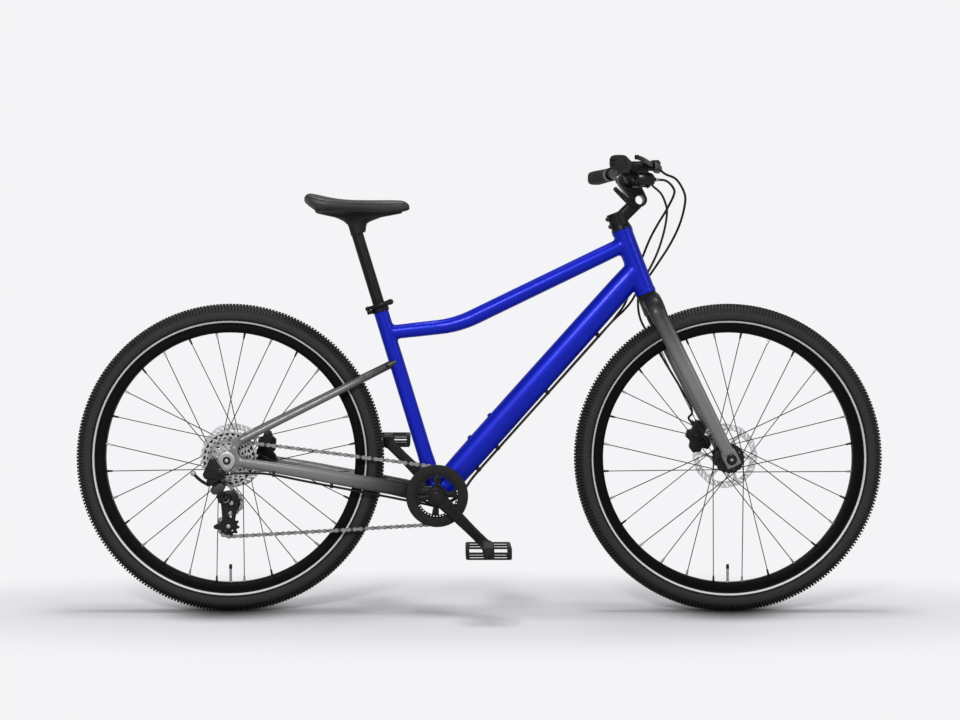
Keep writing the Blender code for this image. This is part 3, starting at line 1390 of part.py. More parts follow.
def derailleur_pieces(black, grey):
    add("derailleur_b_knuckle", derailleur_b_knuckle(), black, "frame")
    add("derailleur_link", derailleur_link(), grey, "derailleur_link")
    add("derailleur_p_knuckle", derailleur_p_knuckle(), black, "derailleur_p_knuckle")
    add("derailleur_cage", derailleur_cage(), black, "derailleur_cage")
    add("pulley_upper", pulley(GUIDE_PULLEY), black, "pulley_upper")
    add("pulley_lower", pulley(tension_pulley()), black, "pulley_lower")


# Seat

def seatpost():
    radius = POST_DIAMETER / 2
    low = SEAT_TUBE_LENGTH - POST_INSERTION
    profile = [(low, radius), (POST_TOP, radius), (POST_TOP, radius - POST_WALL), (low, radius - POST_WALL)]
    return turned(BOTTOM_BRACKET, SEAT_UP, profile)


def seat_clamp_collar():
    outer = COLLAR_DIAMETER / 2
    tube = SEAT_TUBE_DIAMETER / 2 + GAP
    post = POST_DIAMETER / 2 + GAP
    top = COLLAR_LOW + COLLAR_HEIGHT
    step = SEAT_TUBE_LENGTH + GAP
    profile = [(COLLAR_LOW, tube), (COLLAR_LOW, outer), (top, outer), (top, post), (step, post),
               (step, tube)]
    collar = turned(BOTTOM_BRACKET, SEAT_UP, profile)
    ear_height = COLLAR_LOW + 0.0060
    ear_end = seat(-outer - 0.0065, -0.002, ear_height)
    ear = beam(seat(-outer + 0.002, -0.002, ear_height), ear_end, 0.016, 0.0085)
    pin_top = seat(*CLAMP_PIVOT, COLLAR_LOW + 0.020)
    pin = rod(seat(*CLAMP_PIVOT, COLLAR_LOW + 0.003), pin_top, LEVER_PIN / 2, 12)
    knob = rod(seat(*CLAMP_PIVOT, COLLAR_LOW + 0.0025), seat(*CLAMP_PIVOT, COLLAR_LOW + 0.0105), 0.0045, 12)
    link = beam(seat(-outer - 0.003, -0.007, COLLAR_LOW + 0.0060), seat(*CLAMP_PIVOT, COLLAR_LOW + 0.0060),
                0.006, 0.006)
    return fuse(collar, ear, link, knob, pin)


def seat_clamp_lever():
    """Quick-release lever that lies round the right side of the collar."""
    low = COLLAR_LOW + 0.0105 + GAP
    height = low + 0.0040
    hub = rod(seat(*CLAMP_PIVOT, low), seat(*CLAMP_PIVOT, low + 0.008), 0.0058, 12)
    places = ((-0.0212, -0.0172), (-0.014, -0.0215), (0.002, -0.0265), (0.016, -0.0245), (0.0265, -0.0165))
    path = [seat(ahead, side, height) for ahead, side in places]
    sizes = [(0.0078, 0.005), (0.008, 0.0045), (0.0085, 0.0045), (0.010, 0.005), (0.0125, 0.006)]
    lever = fuse(hub, swept(path, sizes, SEAT_UP, 8, 3.0))
    hole = rod(seat(*CLAMP_PIVOT, low - 0.01), seat(*CLAMP_PIVOT, low + 0.02), LEVER_PIN / 2 + RUN, 12)
    return cut(lever, hole)


def saddle_base():
    """Rigid shell under the cover, drawn down into the neck that takes the post."""
    stations = ((-0.0883, 0.0055, 0.036), (-0.0543, 0.0170, 0.040), (-0.0223, 0.0275, 0.024),
                (0.0207, 0.0275, 0.0185), (0.0607, 0.0160, 0.015), (0.0977, 0.0040, 0.011))
    rings = []
    for ahead, depth, half in stations:
        low = SADDLE_PARTING - depth
        ring = []
        for side, height in ((-0.7, low), (0.7, low), (1.0, low + 0.002), (1.0, SADDLE_PARTING),
                             (-1.0, SADDLE_PARTING), (-1.0, low + 0.002)):
            ring.append(Vector((SADDLE_FOOT.x + ahead, side * half, height)))
        rings.append(ring)
    socket = POST_TOP - 0.012
    neck = turned(BOTTOM_BRACKET, SEAT_UP, [(socket, 0.0165), (POST_TOP + 0.032, 0.0185)], 20, hollow=False)
    base = fuse(loft(rings), neck)
    bore = rod(seat(0.0, 0.0, socket - 0.01), seat(0.0, 0.0, POST_TOP + GAP), POST_DIAMETER / 2 + GAP, 20)
    low = Vector((SADDLE_FOOT.x - 0.2, -0.2, SADDLE_PARTING))
    above = box(low, Vector((SADDLE_FOOT.x + 0.2, 0.2, SADDLE_PARTING + 0.1)))
    return cut(base, bore, above)


def saddle_cover():
    """Padded top: wide and kicked up behind, crowned, with drawn-in sides and a narrow nose."""
    stations = ((-0.1108, 0.0160, 0.024), (-0.1078, 0.0270, 0.045), (-0.1003, 0.0365, 0.060),
                (-0.0843, 0.0360, 0.069), (-0.0543, 0.0290, 0.070), (-0.0193, 0.0243, 0.060),
                (0.0157, 0.0233, 0.044), (0.0507, 0.0233, 0.029), (0.0787, 0.0235, 0.0235),
                (0.0997, 0.0225, 0.0205), (0.1107, 0.0170, 0.0155), (0.1152, 0.0095, 0.009))
    low = SADDLE_PARTING + GAP
    rings = []
    for ahead, rise_to, half in stations:
        top = SADDLE_PARTING + rise_to
        waist = low + (top - low) * 0.45
        ring = []
        for step in range(14):
            angle = 2 * math.pi * step / 14
            side = math.copysign(abs(math.cos(angle)) ** 0.72, math.cos(angle)) * half
            rise = math.sin(angle)
            if rise >= 0:
                height = waist + (top - waist) * rise ** 0.8
            else:
                height = max(low, waist + (waist - low) * rise * 1.5)
                side *= 1.0 + rise * 0.10
            ring.append(Vector((SADDLE_FOOT.x + ahead, side, height)))
        rings.append(ring)
    return loft(rings)


def seat_pieces(black, dark, silver):
    add("seat_clamp_collar", seat_clamp_collar(), black, "frame")
    add("seat_clamp_lever", seat_clamp_lever(), black, "seat_clamp_lever")
    add("seatpost", seatpost(), black, "seatpost")
    add("saddle_base", saddle_base(), black, "seatpost")
    add("saddle_cover", saddle_cover(), dark, "seatpost")


# Hoses and housing

def hoses(black):
    rear_upper = [(0.3748, -0.1309, 0.9383), (0.3850, -0.1290, 0.9305), (0.4091, -0.120, 0.9196),
                  (0.4281, -0.098, 0.8931), (0.4317, -0.078, 0.8690), (0.4254, -0.040, 0.8284),
                  (0.4094, -0.008, 0.7877), (0.3870, 0.0155, 0.7488), (0.3685, 0.0285, 0.7201),
                  (0.3520, 0.0310, 0.7000)]
    rear_lower = [(0.3520, 0.0310, 0.7000), (0.3400, 0.0300, 0.6820), (0.3290, 0.0260, 0.6640),
                  (0.3110, 0.0165, 0.6440), (0.2663, 0.0042, 0.6035), (0.1297, 0.0042, 0.4508),
                  (-0.0017, 0.0042, 0.3038), (-0.0290, 0.0060, 0.2680), (-0.0540, 0.0100, 0.2400),
                  (-0.0850, 0.0165, 0.2265), (-0.1200, 0.0235, 0.2330), (-0.2150, 0.0405, 0.2535),
                  (-0.3000, 0.0510, 0.2705), (-0.3800, 0.0600, 0.2870),
                  (-0.4200, 0.0560, 0.2925), (-0.4430, 0.0480, 0.2975), (-0.4555, 0.0440, 0.3115)]
    hose("rear_brake_hose", rear_upper, rear_lower, 0.0025, black, "frame")
    shift_upper = [(0.3676, -0.1062, 0.9204), (0.3896, -0.1020, 0.9180), (0.4060, -0.090, 0.9038),
                   (0.4085, -0.078, 0.8894), (0.3955, -0.052, 0.8581), (0.3800, -0.026, 0.8285),
                   (0.3660, 0.004, 0.7965), (0.3520, 0.0240, 0.7572), (0.3420, 0.0290, 0.7350)]
    shift_lower = [(0.3420, 0.0290, 0.7350), (0.3310, 0.0290, 0.7030), (0.3240, 0.0260, 0.6810),
                   (0.3140, 0.0135, 0.6590), (0.2985, 0.0015, 0.6385), (0.2663, -0.0042, 0.6035),
                   (0.1297, -0.0042, 0.4508), (-0.0017, -0.0042, 0.3038), (-0.0290, -0.0060, 0.2680),
                   (-0.0540, -0.0100, 0.2400), (-0.0850, -0.0165, 0.2265), (-0.1200, -0.0235, 0.2330),
                   (-0.2150, -0.0405, 0.2535), (-0.3000, -0.0510, 0.2705), (-0.3800, -0.0605, 0.2870),
                   (-0.4350, -0.0690, 0.2990), (-0.4700, -0.0790, 0.3035), (-0.5261, -0.0870, 0.3039)]
    hose("shift_cable_housing", shift_upper, shift_lower, 0.0025, black, "frame")
    front_upper = [(0.3735, 0.1305, 0.9365), (0.3850, 0.1295, 0.9215), (0.4052, 0.1220, 0.9013),
                   (0.4147, 0.1080, 0.8737), (0.4146, 0.0980, 0.8530), (0.4066, 0.0780, 0.8187),
                   (0.3930, 0.0580, 0.7802), (0.3783, 0.0450, 0.7491), (0.3600, 0.0390, 0.7150)]
    front_lower = [(0.3600, 0.0390, 0.7150), (0.3440, 0.0375, 0.6830), (0.3370, 0.0365, 0.6560),
                   (0.3430, 0.0365, 0.6300), (0.3585, 0.0370, 0.6050), (0.3945, 0.0375, 0.5480),
                   (0.4590, 0.0385, 0.4380), (0.4545, 0.0362, 0.4125),
                   (0.4613, 0.0357, 0.4035)]
    hose("front_brake_hose", front_upper, front_lower, 0.0025, black, "fork")


def bodies():
    body("frame", Vector((0.0, 0.0, 0.0)))
    body("fork", steer(0.0, 0.0, HEAD_LOW), "frame")
    body("cockpit", STEM_PIVOT, "fork")
    for name, side in SIDES:
        body("brake_lever_" + name, mirrored(LEVER_PIVOT, side), "cockpit")
    body("shift_lever", SHIFTER_PIVOT, "cockpit")
    body("bell_striker", striker_pivot(), "cockpit")
    body("front_wheel", FRONT_AXLE, "fork")
    body("rear_wheel", REAR_AXLE, "frame")
    body("cassette", REAR_AXLE, "frame")
    body("crank", BOTTOM_BRACKET, "frame")
    for name, side in SIDES:
        body("pedal_" + name, BOTTOM_BRACKET - CRANK_REACH * side, "crank")
    body("derailleur_link", LINK_TOP, "frame")
    body("derailleur_p_knuckle", LINK_FOOT, "derailleur_link")
    body("derailleur_cage", CAGE_PIVOT, "derailleur_p_knuckle")
    body("pulley_upper", GUIDE_PULLEY, "derailleur_cage")
    body("pulley_lower", tension_pulley(), "derailleur_cage")
    body("seatpost", seat(0.0, 0.0, SEAT_TUBE_LENGTH), "frame")
    body("seat_clamp_lever", seat(*CLAMP_PIVOT, COLLAR_LOW), "frame")


def main():
    for thing in list(bpy.data.objects):
        bpy.data.objects.remove(thing)
    blue = material("blue paint", (0.012, 0.020, 0.55), 0.28, 0.1)
    grey = material("grey paint", (0.16, 0.16, 0.17), 0.45, 0.4)
    silver = material("bare aluminium", (0.62, 0.62, 0.64), 0.42, 1.0)
    steel = material("plated steel", (0.42, 0.42, 0.43), 0.38, 1.0)
    black = material("black metal", (0.012, 0.012, 0.013), 0.42, 0.2)
    dark = material("dark plastic", (0.030, 0.029, 0.029), 0.60)
    rubber = material("rubber", (0.018, 0.018, 0.018), 0.80)
    bodies()
    frame_pieces(blue, grey, silver, black)
    fork_pieces(grey, black)
    cockpit_pieces(black, rubber, silver, dark)
    both_wheels(rubber, black, steel)
    drivetrain_pieces(steel, dark, black)
    derailleur_pieces(black, grey)
    seat_pieces(black, dark, silver)
    hoses(black)


main()
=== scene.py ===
"""Looks of a kids mountain bike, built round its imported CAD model.

Everything is in metres, with +X forward, +Y to the rider's left and +Z up, as in the CAD.
Each operator models one piece, or one group of like pieces, and the main function calls them all.
"""

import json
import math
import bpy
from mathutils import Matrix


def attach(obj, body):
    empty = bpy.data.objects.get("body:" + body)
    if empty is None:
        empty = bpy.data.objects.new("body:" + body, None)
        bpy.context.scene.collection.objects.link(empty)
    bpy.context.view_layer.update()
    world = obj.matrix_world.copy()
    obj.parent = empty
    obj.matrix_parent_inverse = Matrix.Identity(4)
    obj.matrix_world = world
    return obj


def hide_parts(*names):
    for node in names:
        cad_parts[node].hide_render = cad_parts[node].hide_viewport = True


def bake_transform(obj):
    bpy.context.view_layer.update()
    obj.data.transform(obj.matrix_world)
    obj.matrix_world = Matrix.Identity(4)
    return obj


bl_info = {
    "name": "Kids mountain bike looks",
    "version": (1, 0, 0),
    "blender": (4, 5, 0),
    "location": "View3D > Sidebar > Bike",
    "description": "Models the visible pieces, finishes and stage of a kids mountain bike",
    "category": "Object",
}

import bpy
from mathutils import Matrix, Vector

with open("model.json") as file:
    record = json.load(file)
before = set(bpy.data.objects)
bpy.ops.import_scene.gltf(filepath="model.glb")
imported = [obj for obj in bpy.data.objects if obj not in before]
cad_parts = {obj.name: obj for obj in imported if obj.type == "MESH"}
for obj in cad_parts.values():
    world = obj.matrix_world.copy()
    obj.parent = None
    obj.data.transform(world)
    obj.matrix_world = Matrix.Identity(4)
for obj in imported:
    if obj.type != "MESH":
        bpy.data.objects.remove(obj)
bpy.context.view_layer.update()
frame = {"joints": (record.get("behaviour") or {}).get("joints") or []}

LEFT = Vector((0.0, 1.0, 0.0))
UP = Vector((0.0, 0.0, 1.0))
FORWARD = Vector((1.0, 0.0, 0.0))
FULL_TURN = 2 * math.pi
SHARP_ANGLE = math.radians(30)
SIDES = (("right", -1), ("left", 1))

# Places that the CAD model fixes
JOINTS = {joint["name"]: joint for joint in frame["joints"]}


def pivot(name):
    return Vector(JOINTS[name]["pos_m"])


FRONT_AXLE = pivot("front_wheel_spin")
REAR_AXLE = pivot("rear_wheel_spin")
CRANK = pivot("crank_spin")
STEM_HINGE = pivot("stem_tilt")
STEER_UP = Vector(JOINTS["steering"]["axis"]).normalized()
STEER_AHEAD = LEFT.cross(STEER_UP)
SEAT_UP = Vector(JOINTS["seatpost_height"]["axis"]).normalized()
SEAT_AHEAD = LEFT.cross(SEAT_UP)
HEAD_FOOT = 0.3914
HEAD_TOP = 0.5379
SEAT_TUBE_TOP = 0.4214
HANGER_BOLT = REAR_AXLE + Vector((-0.0133, 0.0, -0.0276))
STEER_FOOT = pivot("steering") - STEER_UP * HEAD_FOOT


def steer(ahead, side, height):
    """Point given along and square to the steering axis."""
    return STEER_FOOT + STEER_AHEAD * ahead + LEFT * side + STEER_UP * height


def seat(ahead, side, height):
    """Point given along and square to the seat tube."""
    return CRANK + SEAT_AHEAD * ahead + LEFT * side + SEAT_UP * height


def moved_to(point, side):
    """The same place in the side view, at another distance to the left."""
    return Vector((point.x, side, point.z))


def mirrored(point, side):
    """A point of the left half, on the side asked for."""
    return Vector((point.x, point.y * side, point.z))


# Settings

def length(name, description, default):
    return bpy.props.FloatProperty(name=name, description=description, default=default, unit="LENGTH",
        min=0.0, precision=4)


def colour(name, description, default):
    return bpy.props.FloatVectorProperty(name=name, description=description, default=default,
        subtype="COLOR", size=3, min=0.0, max=1.0)


class BikePaintSettings(bpy.types.PropertyGroup):
    frame: colour("Frame", "Gloss paint of the main frame", (0.0025, 0.0135, 0.5))
    forks: colour("Fork and stays", "Satin paint of the fork and rear stays", (0.185, 0.185, 0.188))
    metal: colour("Black metal", "Anodised cockpit, cranks and seatpost", (0.0062, 0.0062, 0.0066))
    plastic: colour("Black plastic", "Moulded parts", (0.0065, 0.0065, 0.0068))
    tread: colour("Tread", "Rubber of the tread's blocks", (0.023, 0.023, 0.023))
    sidewall: colour("Sidewall", "Rubber of the tyre's sides", (0.032, 0.032, 0.032))
    steel: colour("Steel", "Sprockets, chain and rotors", (0.5, 0.5, 0.51))
    alloy: colour("Bare alloy", "Hanger, rings and bolts", (0.4, 0.4, 0.41))


class BikeTubeSettings(bpy.types.PropertyGroup):
    weld_voxel: length("Weld fineness", "Voxel that blends the tubes into each other", 0.002)
    stay_voxel: length("Stay fineness", "Voxel that blends the stays and dropouts", 0.0014)
    hose_diameter: length("Hose diameter", "Outer diameter of hoses and housing", 0.005)


class BikeWheelSettings(bpy.types.PropertyGroup):
    tyre_diameter: length("Tyre diameter", "Over the knobs", 0.66)
    tyre_width: length("Tyre width", "Over the sidewalls", 0.0504)
    knob_height: length("Knob height", "Height of a tread block", 0.0024)
    stripe_radius: length("Stripe radius", "Radius of the reflecting stripe's middle", 0.2915)
    spoke_diameter: length("Spoke diameter", "Plain gauge spokes", 0.002)
    spokes: bpy.props.IntProperty(name="Spokes", description="Spokes in a wheel", default=28, min=4, max=48)
    pitches: bpy.props.IntProperty(name="Tread pitches", description="Repeats of the tread pattern",
        default=144, min=8, max=300)


class BikeStageSettings(bpy.types.PropertyGroup):
    distance: length("Camera distance", "From the middle plane to the camera", 4.1)
    height: length("Camera height", "Above the ground", 0.7)
    across: bpy.props.FloatProperty(name="Camera across", description="Along the bike",
        default=-0.084, unit="LENGTH")
    lens: bpy.props.FloatProperty(name="Lens", description="Focal length", default=71.6, unit="CAMERA")
    paper: colour("Backdrop", "Pale floor and backdrop", (0.86, 0.86, 0.88))


def settings(name):
    return getattr(bpy.context.scene, name)


# Mesh tools

def fresh():
    """Nothing selected and object mode, so that the next operator meets the next piece alone."""
    if bpy.context.object and bpy.context.object.mode != "OBJECT":
        bpy.ops.object.mode_set(mode="OBJECT")
    bpy.ops.object.select_all(action="DESELECT")


def only(piece):
    fresh()
    piece.select_set(True)
    bpy.context.view_layer.objects.active = piece


def settled(piece):
    """Place, turn and scale move into the mesh."""
    only(piece)
    bpy.ops.object.transform_apply(location=True, rotation=True, scale=True)
    return piece


def edited(piece, *steps):
    """Edit-mode operators, each on the whole mesh."""
    only(piece)
    bpy.ops.object.mode_set(mode="EDIT")
    for step in steps:
        bpy.ops.mesh.select_all(action="SELECT")
        step()
    bpy.ops.object.mode_set(mode="OBJECT")
    return piece


def merged():
    bpy.ops.mesh.remove_doubles(threshold=0.00001)


def loose_gone():
    """Edges that lie along an axis of revolution go."""
    bpy.ops.mesh.delete_loose()


def outward():
    bpy.ops.mesh.normals_make_consistent(inside=False)


def drum(centre, axis, radius, length, sides, tip=None):
    """Cylinder about its middle, or a cone where tip gives the far radius."""
    fresh()
    turn = Vector(axis).to_track_quat("Z", "Y").to_euler()
    if tip is None:
        bpy.ops.mesh.primitive_cylinder_add(vertices=sides, radius=radius, depth=length,
            location=centre, rotation=turn)
    else:
        bpy.ops.mesh.primitive_cone_add(vertices=sides, radius1=radius, radius2=tip, depth=length,
            location=centre, rotation=turn)
    return settled(bpy.context.object)


def rod(start, end, radius, sides=24, tip=None):
    return drum((start + end) / 2, end - start, radius, (end - start).length, sides, tip)


def cross_rod(place, near, far, radius, sides=32):
    """Rod across the bike, between two distances to the left."""
    return rod(moved_to(place, near), moved_to(place, far), radius, sides)


def shaped(piece, corners):
    """Moves a primitive's corners to their places."""
    for vertex, corner in zip(piece.data.vertices, corners):
        vertex.co = corner
    return piece


def turned(centre, axis, profile, steps=64):
    """Solid of revolution. The closed profile lists (distance along the axis, radius)."""
    fresh()
    axis = Vector(axis).normalized()
    side = LEFT if abs(axis.y) < 0.5 else UP
    side = (side - axis * side.dot(axis)).normalized()
    bpy.ops.mesh.primitive_circle_add(vertices=len(profile), fill_type="NOTHING")
    ring = shaped(bpy.context.object, [centre + axis * along + side * radius for along, radius in profile])
    return edited(ring, lambda: bpy.ops.mesh.spin(steps=steps, angle=FULL_TURN, center=centre, axis=axis),
        merged, loose_gone, outward)


def repeated(piece, count, centre):
    """Even copies of a piece round an axle, in one mesh."""
    return edited(piece, lambda: bpy.ops.mesh.spin(steps=count - 1, dupli=True, center=centre, axis=LEFT,
        angle=FULL_TURN * (count - 1) / count))


def section(centre, across, up, width, depth, count, square):
    """Ring between an ellipse (square 2) and a rounded box (square 4 and more)."""
    ring = []
    for step in range(count):
        angle = FULL_TURN * step / count
        x = math.copysign(abs(math.cos(angle)) ** (2 / square), math.cos(angle)) * width / 2
        y = math.copysign(abs(math.sin(angle)) ** (2 / square), math.sin(angle)) * depth / 2
        ring.append(centre + across * x + up * y)
    return ring


def skinned(rings):
    """Skin through rings of points, from a grid that is wrapped round and closed."""
    fresh()
    count = len(rings[0])
    bpy.ops.mesh.primitive_grid_add(x_subdivisions=count, y_subdivisions=len(rings) - 1)
    corners = [corner for ring in rings for corner in (*ring, ring[0])]
    skin = shaped(bpy.context.object, corners)
    return edited(skin, merged, lambda: bpy.ops.mesh.fill_holes(sides=0), outward)


def tube(path, sizes, side=LEFT, count=24, square=2.0, ends=None):
    """Rod along a path. Each size is (width along the side vector, depth across it)."""
    rings = []
    for index, point in enumerate(path):
        before = point - path[max(index - 1, 0)]
        after = path[min(index + 1, len(path) - 1)] - point
        ahead = before.normalized() + after.normalized()
        if ends and index in (0, len(path) - 1):
            ahead = ends[0] if index == 0 else ends[1]
        ahead.normalize()
        across = (side - ahead * side.dot(ahead)).normalized()
        width, depth = sizes[index]
        rings.append(section(point, across, ahead.cross(across), width, depth, count, square))
    return skinned(rings)


def plate(outline, near, far, edge=0.0, segments=2):
    """Flat piece with an outline of (x, z) points between two distances to the left."""
    fresh()
    bpy.ops.mesh.primitive_circle_add(vertices=len(outline), fill_type="NGON")
    piece = shaped(bpy.context.object, [Vector((x, near, z)) for x, z in outline])
    thick = {"value": (0.0, far - near, 0.0)}
    edited(piece, lambda: bpy.ops.mesh.extrude_region_move(TRANSFORM_OT_translate=thick), outward)
    return softened(piece, edge, segments) if edge else piece


def block(low, high, edge=0.0, segments=2):
    """Box between two corners, with rounded edges."""
    fresh()
    centre = (Vector(low) + Vector(high)) / 2
    bpy.ops.mesh.primitive_cube_add(size=1, location=centre, scale=Vector(high) - Vector(low))
    piece = settled(bpy.context.object)
    return softened(piece, edge, segments) if edge else piece


def with_modifier(piece, kind, **values):
    only(piece)
    modifier = piece.modifiers.new(kind.title(), kind)
    for key, value in values.items():
        setattr(modifier, key, value)
    bpy.ops.object.modifier_apply(modifier=modifier.name)
    return piece


def softened(piece, width, segments=2):
    """Sharp edges get rounded."""
    return with_modifier(piece, "BEVEL", width=width, segments=segments, limit_method="ANGLE",
        angle_limit=SHARP_ANGLE, use_clamp_overlap=True)


def carved(piece, *cutters):
    for cutter in cutters:
        with_modifier(piece, "BOOLEAN", operation="DIFFERENCE", object=cutter, solver="EXACT")
        bpy.data.objects.remove(cutter)
    return piece


def joined(first, *others):
    only(first)
    for other in others:
        other.select_set(True)
    bpy.ops.object.join()
    return first


def blended(piece, voxel, soft_places, soft_radius, soft_steps):
    """One skin over all that is joined, smoothed most at its welds."""
    with_modifier(piece, "REMESH", mode="VOXEL", voxel_size=voxel)
    welds = piece.vertex_groups.new(name="welds")
    for vertex in piece.data.vertices:
        near = min((vertex.co - place).length for place in soft_places)
        if near < soft_radius:
            welds.add([vertex.index], 1 - (near / soft_radius) ** 2, "REPLACE")
    with_modifier(piece, "SMOOTH", factor=0.5, iterations=soft_steps, vertex_group=welds.name)
    return with_modifier(piece, "SMOOTH", factor=0.5, iterations=3)


def remeshed(piece, voxel, steps):
    """One even skin over all that is joined."""
    with_modifier(piece, "REMESH", mode="VOXEL", voxel_size=voxel)
    return with_modifier(piece, "SMOOTH", factor=0.5, iterations=steps)


def copy_of(piece, matrix):
    """A copy with its own mesh, moved."""
    twin = piece.copy()
    twin.data = piece.data.copy()
    twin.data.transform(matrix)
    bpy.context.scene.collection.objects.link(twin)
    return twin


def finished(piece, name, look, body=None, replaces=(), smooth=35):
    """Name, finish and body of a piece that has its final shape."""
    settled(piece)
    bpy.ops.object.shade_smooth_by_angle(angle=math.radians(smooth))
    piece.name = name
    piece.data.name = name
    piece.data.materials.clear()
    piece.data.materials.append(finish(look))
    if body:
        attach(piece, body)
    if replaces:
        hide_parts(*replaces)
    return piece


# How far a cutter reaches to both sides of a thin disc
CUT_REACH = 0.01


def about(place, half):
    """Two distances to the left, evenly to both sides of a place."""
    return place - half, place + half


def ray(angle):
    """Unit vector in the side view, by its angle from straight ahead."""
    return Vector((math.cos(angle), 0.0, math.sin(angle)))


def side_view(points):
    """Points as (x, z)."""
    return [(point.x, point.z) for point in points]


def arc(centre, radius, start, end, steps):
    """Points (x, z) along an arc in the side view, with angles in degrees."""
    points = []
    for step in range(steps + 1):
        angle = math.radians(start + (end - start) * step / steps)
        points.append((centre.x + radius * math.cos(angle), centre.z + radius * math.sin(angle)))
    return points


def hull(circles, count=48):
    """Outline of (x, z) points stretched round circles of (centre, radius)."""
    points = []
    for centre, radius in circles:
        points += arc(centre, radius, 0, 360 - 360 / count, count - 1)
    points = sorted(set(points))

    def half(ordered):
        line = []
        for point in ordered:
            while len(line) > 1:
                (ax, az), (bx, bz) = line[-2], line[-1]
                if (bx - ax) * (point[1] - az) - (bz - az) * (point[0] - ax) > 1e-12:
                    break
                line.pop()
            line.append(point)
        return line[:-1]

    return half(points) + half(points[::-1])


def smooth_path(points, steps):
    """Curve through all points."""
    points = [Vector(point) for point in points]
    ends = [points[0] * 2 - points[1], *points, points[-1] * 2 - points[-2]]
    route = []
    for a, b, c, d in zip(ends, ends[1:], ends[2:], ends[3:]):
        for step in range(steps):
            t = step / steps
            bend = (a * 2 - b * 5 + c * 4 - d) * t ** 2 + (b * 3 - a - c * 3 + d) * t ** 3
            route.append((b * 2 + (c - a) * t + bend) * 0.5)
    route.append(points[-1])
    return route


def smooth_sizes(sizes, steps):
    """Sizes that go with smooth_path."""
    return [tuple(point)[:2] for point in smooth_path([(*size, 0.0) for size in sizes], steps)]


def rounded_path(points, reach, steps=8):
    """Path with its inner corners drawn as short curves."""
    path = [points[0]]
    for before, corner, after in zip(points, points[1:], points[2:]):
        start = corner + (before - corner).normalized() * reach
        end = corner + (after - corner).normalized() * reach
        for step in range(steps + 1):
            t = step / steps
            path.append(start * (1 - t) ** 2 + corner * (2 * t * (1 - t)) + end * t ** 2)
    path.append(points[-1])
    return path


def even(first, last, steps):
    """Sizes that change evenly from the first pair to the last."""
    return [tuple(a + (b - a) * step / (steps - 1) for a, b in zip(first, last)) for step in range(steps)]


# Finishes

